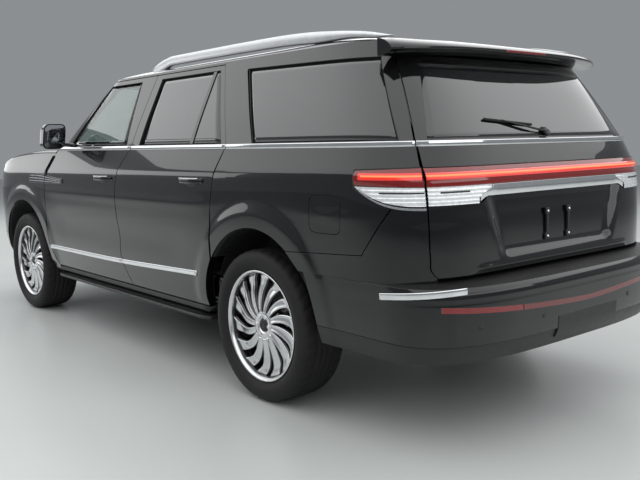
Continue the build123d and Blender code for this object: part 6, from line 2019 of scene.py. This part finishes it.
# %% Windscreen, cowl and wipers
SCREEN_LOW, SCREEN_TOP = 1.3575, 1.8075
screen_share = across(-1, 1, 52)
screen_z = down(SCREEN_LOW, SCREEN_TOP, 32)
screen_x = screen_share * (screen_edge_x(screen_z) - 0.0012)
screen_plan = coords(screen_x, screen_z)
sheet_piece("windscreen_glass", on_end(screen_plan, screen_y, 0.006), CLEAR, thickness=0.005, bevel=0,
            inside=(0, 1.0, 1.3), replaces="windscreen")
low_x, top_x = (float(screen_edge_x(z)) - 0.002 for z in (SCREEN_LOW, SCREEN_TOP))
ring_outer = [(-low_x, SCREEN_LOW), (low_x, SCREEN_LOW), (top_x, SCREEN_TOP), (-top_x, SCREEN_TOP)]
ring_inner = [(-0.800, SCREEN_LOW + 0.045), (0.800, SCREEN_LOW + 0.045), (0.682, SCREEN_TOP - 0.030),
              (-0.682, SCREEN_TOP - 0.030)]
RING_STEPS = (60, 36, 60, 36)
band_plan = ruled(along(ring_outer, RING_STEPS, True), along(ring_inner, RING_STEPS, True), 5)
sheet_piece("windscreen_band", on_end(band_plan, screen_y, 0.013), SEAL, thickness=0.002, bevel=0,
            inside=(0, 1.0, 1.3), closed=True)
cowl_x = across(-0.788, 0.788, 70)
cowl_t = down(0, 1, 12)
cowl_front = cowl_y(cowl_x) + 0.008
cowl_back = np.maximum(screen_y(cowl_x, SCREEN_LOW) + 0.012, cowl_front + 0.012)
cowl_line = blend(cowl_front, cowl_back, cowl_t)
cowl_z = 1.322 + 0.030 * smooth(cowl_t, 0.35, 1.0) - 0.010 * np.sin(pi * cowl_t)
sheet_piece("cowl_panel", coords(cowl_x, cowl_line, cowl_z), TRIM, thickness=0.004, bevel=0,
            inside=(0, -1.4, 1.0))


def on_screen(x, z, out):
    """Points a little in front of the windscreen."""
    return coords(x, screen_y(x, z) - out, z)


for number, (pivot, tip) in enumerate((((0.55, 1.366), (-0.02, 1.405)), ((-0.10, 1.366), (-0.68, 1.412)))):
    t = np.linspace(0, 1, 24)
    arm = on_screen(blend(pivot[0], tip[0], t), blend(pivot[1], tip[1], t), 0.020 - 0.006 * t)
    solid_piece(f"wiper_arm_{number}", swept(arm, round_section(0.016, 0.009, 0.003), scale=1 - 0.4 * t), TRIM)
    t = np.linspace(0.12, 1.08, 30)
    blade = on_screen(blend(pivot[0], tip[0], t), blend(pivot[1] + 0.016, tip[1] + 0.004, t), 0.006)
    solid_piece(f"wiper_blade_{number}", swept(blade, round_section(0.010, 0.010, 0.003)), SEAL)
x, z = squared(full_turn(40), 0.6)
mirror_rings = [(0.30, -0.020), (0.85, -0.016), (1.0, -0.004), (0.97, 0.008), (0.92, 0.010), (0.01, 0.011)]
mirror_grid = np.stack([coords(0.125 * s * x, -0.565 + d, 1.715 + 0.033 * s * z) for s, d in mirror_rings])
sheet_piece("cabin_mirror", mirror_grid, TRIM, thickness=0.002, bevel=0, inside=(0, -0.568, 1.715), closed=True)
stalk = np.linspace([0, -0.572, 1.735], [0, float(screen_y(0, 1.785)) + 0.014, 1.785], 8)
solid_piece("cabin_mirror_stalk", swept(stalk, round_section(0.020, 0.020, 0.006)), TRIM)
print("windscreen placed")

# %% [markdown]
# ## Cabin
# A cushion is a stack of closed superellipse loops: from the middle of its underside they grow to
# the full outline and shrink again over the crowned top. Its sides pull in between the corners,
# and sewn seams are narrow grooves pressed into the top.

# %% Cushion form
def cushion_grid(width, length, thick, crown=0.35, corner=4.0, pull=0.02, seams=(), steps=64):
    """Loops of a cushion about its middle: a to the side, b lengthwise, c out of its face."""
    unit_a, unit_b = squared(full_turn(steps), 2 / corner)
    side = np.linspace(-pi / 2, pi / 2, 9)
    low = [(share, -0.5) for share in np.linspace(0.02, 0.86, 4)]
    edge = [(0.86 + 0.14 * np.cos(a), 0.5 * np.sin(a)) for a in side]
    top = [(share, 0.5 + crown * 0.5 * (1 - (share / 0.86) ** 2)) for share in np.linspace(0.86, 0.01, 20)[1:]]
    rows = []
    for share, height in low + edge + top:
        a = unit_a * share * width / 2 * (1 - pull * 2 * (1 - unit_b**2) * share)
        b = unit_b * share * length / 2 * (1 - pull * 2 * (1 - unit_a**2) * share)
        c = thick * height + 0 * a
        if height > 0:
            for line in seams:
                c = c - 0.009 * near(b, line, 0.006) * share
            c = c - 0.006 * near(share, 0.88, 0.02)
        rows.append(coords(a, b, c))
    return np.array(rows)


def placed_grid(grid, origin, axis_a, axis_b, axis_c):
    """Local (a, b, c) points in the shared frame."""
    axes = np.array([axis_a, axis_b, axis_c], float)
    axes /= np.linalg.norm(axes, axis=1, keepdims=True)
    return np.asarray(origin, float) + grid @ axes


def cushion(name, grid, origin, axis_b, axis_c):
    """A padded piece of the cabin."""
    made = solid_piece(name, placed_grid(grid, origin, (1, 0, 0), axis_b, axis_c), LEATHER)
    return made


print("cushion form ready")

# %% [markdown]
# Each seat is a plastic base, a cushion with raised bolsters, a leaning back with the same, a
# hard shell behind it, and a head restraint on two posts.

# %% Seats
SEATS = {  # x, front edge y, floor, width, cushion height, top of the back
    "front": (0.405, -0.533, 0.605, 0.500, 0.935, 1.485),
    "middle": (0.405, 0.339, 0.605, 0.500, 0.945, 1.475),
    "third": (0.300, 1.400, 0.785, 0.555, 1.005, 1.465)}


def seat(row, side, sign):
    """One seat; returns its cushion, which stands in for the CAD node."""
    x, y, floor_height, width, top, back_top = SEATS[row]
    x = sign * x
    tag = f"{row}_{side}"
    thick = 0.115
    base_height = top - 0.155 - floor_height
    base_path = coords(x, y + np.array([0.06, 0.20, 0.35, 0.47]), floor_height + base_height / 2)
    solid_piece(f"seat_base_{tag}", swept(base_path, round_section(width * 0.84, base_height - 0.006, 0.03)), CABIN,
                bevel=0.004)
    slope = np.array([0, 0.43, -0.030])
    normal = np.array([0, 0.030, 0.43])
    middle = np.array([x, y + 0.245, top - 0.082])
    made = cushion(f"seat_cushion_{tag}",
                   cushion_grid(width * 0.72, 0.440, thick, 0.18, 5, 0.012, seams=(-0.11, -0.035, 0.04, 0.115)),
                   middle, slope, normal)
    for lean in (-1, 1):
        cushion(f"seat_bolster_{tag}_{'in' if lean * sign < 0 else 'out'}",
                cushion_grid(width * 0.16, 0.445, thick + 0.018, 0.22, 3.4, 0.01, steps=30),
                middle + [lean * width * 0.415, 0, 0.004], slope, normal)
    low = np.array([x, y + 0.470, top - 0.050])
    rise = np.array([0, 0.155, back_top - top + 0.02])
    reach = np.linalg.norm(rise)
    facing = np.array([0, -rise[2], rise[1]])
    centre = low + rise * 0.5 + facing / reach * -0.012
    seams = np.linspace(-0.16, 0.18, 6) * reach / 0.55
    cushion(f"seat_back_{tag}",
            cushion_grid(width * 0.70, reach * 0.98, 0.098, 0.20, 5, 0.012, seams=seams), centre, rise, facing)
    for lean in (-1, 1):
        cushion(f"seat_wing_{tag}_{'in' if lean * sign < 0 else 'out'}",
                cushion_grid(width * 0.15, reach * 0.90, 0.112, 0.22, 3.4, 0.01, steps=30),
                centre + [lean * width * 0.405, 0, 0] + facing / reach * 0.006, rise, facing)
    shell = cushion_grid(width * 0.92, reach * 0.96, 0.022, 0.35, 6, 0.004, steps=40)
    solid_piece(f"seat_shell_{tag}", placed_grid(shell, centre - facing / reach * 0.063, (-1, 0, 0), rise, -facing),
                CABIN)
    head = np.array([x, y + 0.640, back_top + 0.098])
    lean_axis = np.array([0, 0.02, 0.15])
    cushion(f"head_restraint_{tag}", cushion_grid(0.245, 0.140, 0.070, 0.25, 3.6, 0.02, steps=40), head, lean_axis,
            (0, -0.15, 0.02))
    for lean in (-0.055, 0.055):
        post = np.linspace([x + lean, y + 0.632, back_top - 0.060], [x + lean, y + 0.640, back_top + 0.060], 6)
        solid_piece(f"head_post_{tag}_{'a' if lean < 0 else 'b'}",
                    swept(post, round_section(0.011, 0.011, 0.004), up=(0, 1, 0)), CHROME)
    return made


for row in SEATS:
    for side, sign in SIDES:
        made = seat(row, side, sign)
        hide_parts("front_seats" if row == "front" else "rear_seats")
print("seats", len(SEATS) * 2)

# %% [markdown]
# The dashboard is a soft profile carried across the cabin, with a display for the driver, a wide
# middle screen, a bright strip with air outlets, and a console that runs back between the
# seats.

# %% Dashboard and console
DASH_Y = FRONT_AXLE + 0.680
DASH_PROFILE = np.array([  # behind the dashboard's front, height
    (0.004, 0.800), (0.004, 1.286), (0.060, 1.308), (0.160, 1.311), (0.255, 1.304), (0.325, 1.268),
    (0.372, 1.225), (0.384, 1.190), (0.360, 1.165), (0.352, 1.110), (0.366, 1.060), (0.352, 1.010),
    (0.300, 0.935), (0.226, 0.845), (0.150, 0.806)])
DASH_HALF = 0.770


def closed_profile(points, count):
    """Even points round a closed outline, slightly smoothed."""
    line = evened(points, count)
    return (np.roll(line, 1, 0) + 2 * line + np.roll(line, -1, 0)) / 4


dash_line = closed_profile(DASH_PROFILE, 76)
dash_x = down(-DASH_HALF, DASH_HALF, 44)
end_ease = 1 - 0.10 * (np.abs(dash_x) / DASH_HALF) ** 6
dash_grid = coords(dash_x, DASH_Y + dash_line[:, 0] * end_ease, dash_line[:, 1])
solid_piece("dashboard_body", dash_grid, CABIN, bevel=0.004, replaces="dashboard")


def dash_panel(name, x_from, x_to, z_from, z_to, out, thickness, material, bevel=0.002):
    """A flat panel standing on the driver's side of the dashboard."""
    x, z = across(x_from, x_to, 20), down(z_from, z_to, 8)
    y = DASH_Y + np.interp(z, [1.01, 1.06, 1.11, 1.165, 1.20, 1.25], [0.352, 0.366, 0.352, 0.360, 0.384, 0.348]) + out
    sheet_piece(name, coords(x, y, z), material, thickness=thickness, bevel=bevel, inside=(0, -1.3, 1.1))


dash_panel("dashboard_strip", -0.750, 0.750, 1.088, 1.128, 0.010, 0.010, SATIN)
for number, (x0, x1) in enumerate(((-0.72, -0.56), (-0.13, -0.01), (0.01, 0.13), (0.58, 0.72))):
    dash_panel(f"air_outlet_{number}", x0, x1, 1.092, 1.124, 0.013, 0.004, TRIM, 0.001)
    for slat in range(3):
        path = coords(np.linspace(x0 + 0.005, x1 - 0.005, 6), DASH_Y + 0.368, 1.099 + 0.009 * slat)
        solid_piece(f"air_outlet_{number}_slat_{slat}", swept(path, round_section(0.006, 0.002, 0.0008, 2)), SEAL)


def screen_slab(name, centre, width, height, thick, tilt):
    """A rounded display slab, tilted back about X."""
    slab = cushion_grid(width, height, thick, 0.0, 9, 0.0, steps=64)
    slab[..., 2] = np.clip(slab[..., 2], -thick / 2, thick / 2)
    up = (0, -sin(radians(tilt)), cos(radians(tilt)))
    out = (0, cos(radians(tilt)), sin(radians(tilt)))
    solid_piece(name, placed_grid(slab, centre, (1, 0, 0), up, out), PILLAR_GLOSS)


screen_slab("display_middle", (0.0, DASH_Y + 0.400, 1.225), 0.340, 0.145, 0.014, 12)
screen_slab("display_driver", (0.405, DASH_Y + 0.392, 1.235), 0.320, 0.110, 0.012, 14)
console_profile = np.array([(0.200, 0.612), (0.200, 0.930), (0.330, 0.930), (0.440, 0.915), (1.215, 0.915),
                            (1.236, 0.890), (1.240, 0.612)])
console_line = closed_profile(console_profile, 110)
console_grid = coords(down(-0.135, 0.135, 22), DASH_Y + console_line[:, 0], console_line[:, 1])
solid_piece("console_body", console_grid, CABIN, bevel=0.008)
cushion("console_armrest", cushion_grid(0.235, 0.330, 0.036, 0.3, 5, 0.006, steps=72), (0, -0.09, 0.93),
        (0, 1, 0), (0, 0, 1))
panel = cushion_grid(0.200, 0.440, 0.008, 0.0, 7, 0.0, steps=60)
solid_piece("console_panel", placed_grid(panel, (0, -0.500, 0.918), (1, 0, 0), (0, 1, 0), (0, 0, 1)), PILLAR_GLOSS)


def console_rings(name, y, rings, turn, thickness):
    """A round fitting on the console from (radius, z) rings."""
    grid = np.stack([coords(r * np.cos(turn), y + r * np.sin(turn), z) for r, z in rings])
    sheet_piece(name, grid, SATIN, thickness=thickness, bevel=0, inside=(0, y, 0.7), closed=True)


CUP_RINGS = ((0.041, 0.9235), (0.0425, 0.9265), (0.038, 0.9275), (0.036, 0.9240), (0.034, 0.9225))
for number, y in enumerate((-0.400, -0.495)):
    console_rings(f"cup_ring_{number}", y, CUP_RINGS, full_turn(40), 0.0015)
console_rings("drive_dial", -0.620, ((0.027, 0.920), (0.027, 0.944), (0.025, 0.948), (0.0005, 0.949)),
              full_turn(36), 0)
print("dashboard placed")

# %% [markdown]
# The steering wheel turns on its own body. It is drawn about its own centre, with its axis as the
# third direction, and then tilted into place; the rim is a ring of rings with four thumb swells.

# %% Steering wheel and column
WHEEL_CENTRE = np.array([0.405, FRONT_AXLE + 1.210, 1.115])
WHEEL_TILT = radians(25)
WHEEL_AXES = ((1, 0, 0), (0, -sin(WHEEL_TILT), cos(WHEEL_TILT)), (0, cos(WHEEL_TILT), sin(WHEEL_TILT)))


def on_wheel(points):
    """Points given about the steering wheel's centre: a right, b up, c towards the driver."""
    return placed_grid(np.asarray(points, float), WHEEL_CENTRE, *WHEEL_AXES)


STEERED = "steering_wheel_rim"
rim_turn, grip_turn = full_turn(120)[:, None], full_turn(20)
grip = 0.0135 * (1 + 0.10 * np.maximum(np.cos(4 * rim_turn), 0) ** 3)
rim_radius = 0.174 + grip * np.cos(grip_turn)
rim_grid = coords(rim_radius * np.cos(rim_turn), rim_radius * np.sin(rim_turn), grip * 0.95 * np.sin(grip_turn))
solid_piece("steering_rim", on_wheel(rim_grid), LEATHER, STEERED, ring=True, replaces="steering_wheel")
pad = cushion_grid(0.150, 0.120, 0.030, 0.35, 3.2, 0.0, steps=60)
solid_piece("steering_pad", on_wheel(pad + [0, -0.004, -0.006]), CABIN, STEERED)
for number, (angle, wide) in enumerate(((0, 0.030), (180, 0.030), (270, 0.026))):
    t = np.linspace(0.055, 0.168, 12)
    direction = np.array([cos(radians(angle)), sin(radians(angle)), 0])
    path = t[:, None] * direction + [0, -0.004, -0.006]
    loops = swept(path, round_section(wide, 0.010, 0.004), up=(0, 0, 1), scale=1 - 0.25 * (t - 0.055) / 0.113)
    solid_piece(f"steering_spoke_{number}", on_wheel(loops), SATIN, STEERED)
stub = swept(coords(0, 0, np.linspace(-0.095, -0.012, 6)), round_section(0.062, 0.062, 0.028, 6), up=(0, 1, 0))
solid_piece("steering_stub", on_wheel(stub), CABIN, STEERED)
shroud = swept(coords(0, 0, np.linspace(-0.230, -0.104, 8)), round_section(0.068, 0.066, 0.028, 6), up=(0, 1, 0))
solid_piece("steering_shroud", on_wheel(shroud), CABIN)
for side, sign in SIDES:
    stalk = coords(sign * np.linspace(0.020, 0.150, 10), 0.012, np.linspace(-0.125, -0.095, 10))
    solid_piece(f"steering_stalk_{side}", on_wheel(swept(stalk, round_section(0.014, 0.010, 0.004))), TRIM)
print("steering wheel placed")

# %% [markdown]
# ## Running boards and hidden parts
# The running board is a hollow plank with a ribbed tread. The frame, driveline and the other
# parts under the floor keep their built shapes and only get a finish.

# %% Running boards
BOARD_Z, BOARD_X = 0.374, HALF_WIDTH - 0.118
board_low, board_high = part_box("running_boards")
front_end, rear_end = board_low[1] + 0.004, board_high[1] - 0.004
board_y = down(front_end, rear_end, 60)
end_taper = np.minimum(1, np.minimum((board_y - front_end + 0.02) / 0.09, (rear_end - board_y + 0.02) / 0.09)) ** 0.5
board_turn = full_turn(44)
board_grid = coords(BOARD_X + 0.0925 * squared(board_turn, 0.45)[0] * (0.55 + 0.45 * end_taper), board_y,
                    BOARD_Z - 0.014 + 0.0135 * squared(board_turn, 0.55)[1])
solid_piece("running_board_SIDE", board_grid, TRIM, slot="textured_black", replaces="running_boards")
rib_y = np.linspace(front_end + 0.10, rear_end - 0.10, 24)
for number, offset in enumerate(np.linspace(-0.052, 0.060, 7)):
    rib = swept(coords(BOARD_X + offset, rib_y, BOARD_Z - 0.0005), round_section(0.008, 0.004, 0.0015, 2))
    solid_piece(f"running_board_rib_{number}_SIDE", rib, SEAL, slot="textured_black")
for number, y0 in enumerate((FRONT_CUT + 0.300, CENTRE_CUT, REAR_CUT - 0.300)):
    bracket = np.linspace([0.858, y0, BOARD_Z - 0.004], [0.858, y0, 0.400], 4)
    solid_piece(f"running_board_post_{number}_SIDE",
                swept(bracket, round_section(0.030, 0.060, 0.006), up=(0, 1, 0)), CHASSIS,
                slot="textured_black")
print("running boards placed")

# %% [markdown]
# A flange closes each wheel arch between the outer skin and the liner. Its points lie on a circle
# just outside the arch; below the liner's edge it reaches further in, behind the tyre.

# %% Arch flanges
FLANGE_RADIUS = ARCH_RADIUS + 0.004


def arch_flange(name, axle, degrees_from, degrees_to, low_inner_x):
    """A strip round one arch, from the skin inwards."""
    turn = np.radians(down(degrees_from, degrees_to, 60))
    y, z = axle + FLANGE_RADIUS * np.cos(turn), ARCH_Z + FLANGE_RADIUS * np.sin(turn)
    inner = low_inner_x + (0.900 - low_inner_x) * smooth(z, 0.620, 0.640)
    x = blend(side_x(y, z) - 0.010, inner, across(0, 1, 5))
    sheet_piece(f"{name}_SIDE", coords(x, y, z), SEAL, slot="textured_black", thickness=0.004, bevel=0,
                inside=(0.9, axle, ARCH_Z))


arch_flange("rear_arch_flange", REAR_AXLE, -1.5, 142, 0.700)
arch_flange("front_arch_flange", FRONT_AXLE, 0, 176, 0.890)
print("arch flanges placed")

# %% [markdown]
# The fuel flap closes an opening of the same outline in the left quarter panel. Behind it, a cup
# runs 60 mm inwards to a floor that carries the filler cap.

# %% Fuel flap
flap_share = np.linspace(0.02, 1, 12)
flap_plan = np.stack([flap_line(-0.0025, 56, share) for share in flap_share])
sheet_piece("fuel_flap_skin", on_side(flap_plan, side_x), PAINT, body="fuel_flap", thickness=0.004,
            bevel=0.0008, closed=True, replaces="fuel_door")
cup_rows = [(0.0, 1.0), (0.004, 1.0), (0.030, 0.985), (0.058, 0.96), (0.060, 0.94), (0.060, 0.5), (0.060, 0.02)]
cup_grid = np.stack([on_side(flap_line(0.0005, 56, share), side_x, -0.002 - depth) for depth, share in cup_rows])
cup_grid[3:, :, 0] = cup_grid[3:, :, 0].mean(axis=1, keepdims=True)
sheet_piece("fuel_flap_cup", cup_grid, SEAL, slot="textured_black", thickness=0.0, bevel=0, inside=(2, 2.07, 1.03),
            closed=True)
cap_x = float(side_x(FLAP_CENTRE[0], FLAP_CENTRE[1])) - 0.060
cap = revolved([(0.001, 0.030), (0.026, 0.030), (0.030, 0.026), (0.032, 0.004), (0.040, 0.002), (0.041, -0.004)],
               (cap_x, FLAP_CENTRE[0] - 0.01, FLAP_CENTRE[1]), 40)
sheet_piece("fuel_cap", cap, TRIM, slot="textured_black", thickness=0.002, bevel=0, closed=True,
            inside=(0, 2.07, 1.03))
print("fuel flap placed")

# %% [markdown]
# Parts that nobody sees closely keep their working shape. They only need the right surface, so the
# finishes made above replace the plain colours they came with.

# %% Finishes for carried-over parts
CARRIED = {
    "bulkhead": CHASSIS, "floor_pan": CARPET, "wheel_liners": SEAL, "frame": CHASSIS, "engine_block": CAST,
    "radiator": CAST, "driveline": STEEL, "fuel_tank": TEXTURED, "spare_wheel": RUBBER, "exhaust": STEEL,
    "front_suspension": CHASSIS, "rear_suspension": CHASSIS, "knuckle_left": CAST, "knuckle_right": CAST}
for name, material in CARRIED.items():
    node = bpy.data.objects[name]
    node.data.materials.clear()
    node.data.materials.append(material)
print("finishes on", len(CARRIED), "carried-over parts")

# %% [markdown]
# ## Studio
# Gloss black shows only what it reflects, so the studio is part of the paint job: a pale floor,
# soft overhead panels for the roof and shoulders, and a long side panel for the doors.

# %% Floor, lamps and world
floor_material = finish("studio_floor", (0.50, 0.52, 0.51), (0.54, 0.56, 0.55), (0.28, 0.42), mottle=0.7)
floor_grid = coords(across(-30, 30, 25), down(-30, 30, 25), 0)
floor_mesh = bpy.data.meshes.new("studio_floor")
floor_mesh.from_pydata(floor_grid.reshape(-1, 3).tolist(), [], grid_faces(25, 25).tolist())
floor_mesh.materials.append(floor_material)
floor = bpy.data.objects.new("studio_floor", floor_mesh)
bpy.context.scene.collection.objects.link(floor)

world = bpy.data.worlds.new("studio")
world.use_nodes = True
bpy.context.scene.world = world
back = world.node_tree.nodes["Background"]
back.inputs["Color"].default_value = (0.50, 0.53, 0.55, 1)
back.inputs["Strength"].default_value = 0.52
bpy.context.scene.view_settings.view_transform = "Standard"


def soft_panel(name, place, target, width, height, power):
    """A rectangular area lamp aimed at a target."""
    data = bpy.data.lights.new(name, "AREA")
    data.shape, data.size, data.size_y, data.energy = "RECTANGLE", width, height, power
    lamp = bpy.data.objects.new(name, data)
    away = np.array(place, float) - np.array(target, float)
    lamp.matrix_world = Matrix.Translation(place) @ look_matrix(away)
    bpy.context.scene.collection.objects.link(lamp)


def look_matrix(away):
    """A turn whose Z axis is the direction away from the target."""
    z = away / np.linalg.norm(away)
    side_axis = np.cross([0, 0, 1], z) if abs(z[2]) < 0.99 else np.array([1.0, 0, 0])
    side_axis /= np.linalg.norm(side_axis)
    return Matrix(np.array([side_axis, np.cross(z, side_axis), z]).T).to_4x4()


soft_panel("ceiling", (0, 0, 4.6), (0, 0, 0), 20, 24, 1900)
soft_panel("rear_wall", (-2.0, 9.5, 2.4), (0, 2.5, 1.0), 8.0, 1.6, 60)
soft_panel("front_wall", (3.5, -9.5, 2.2), (0, -2, 0.9), 8.0, 1.6, 60)
print("studio ready")
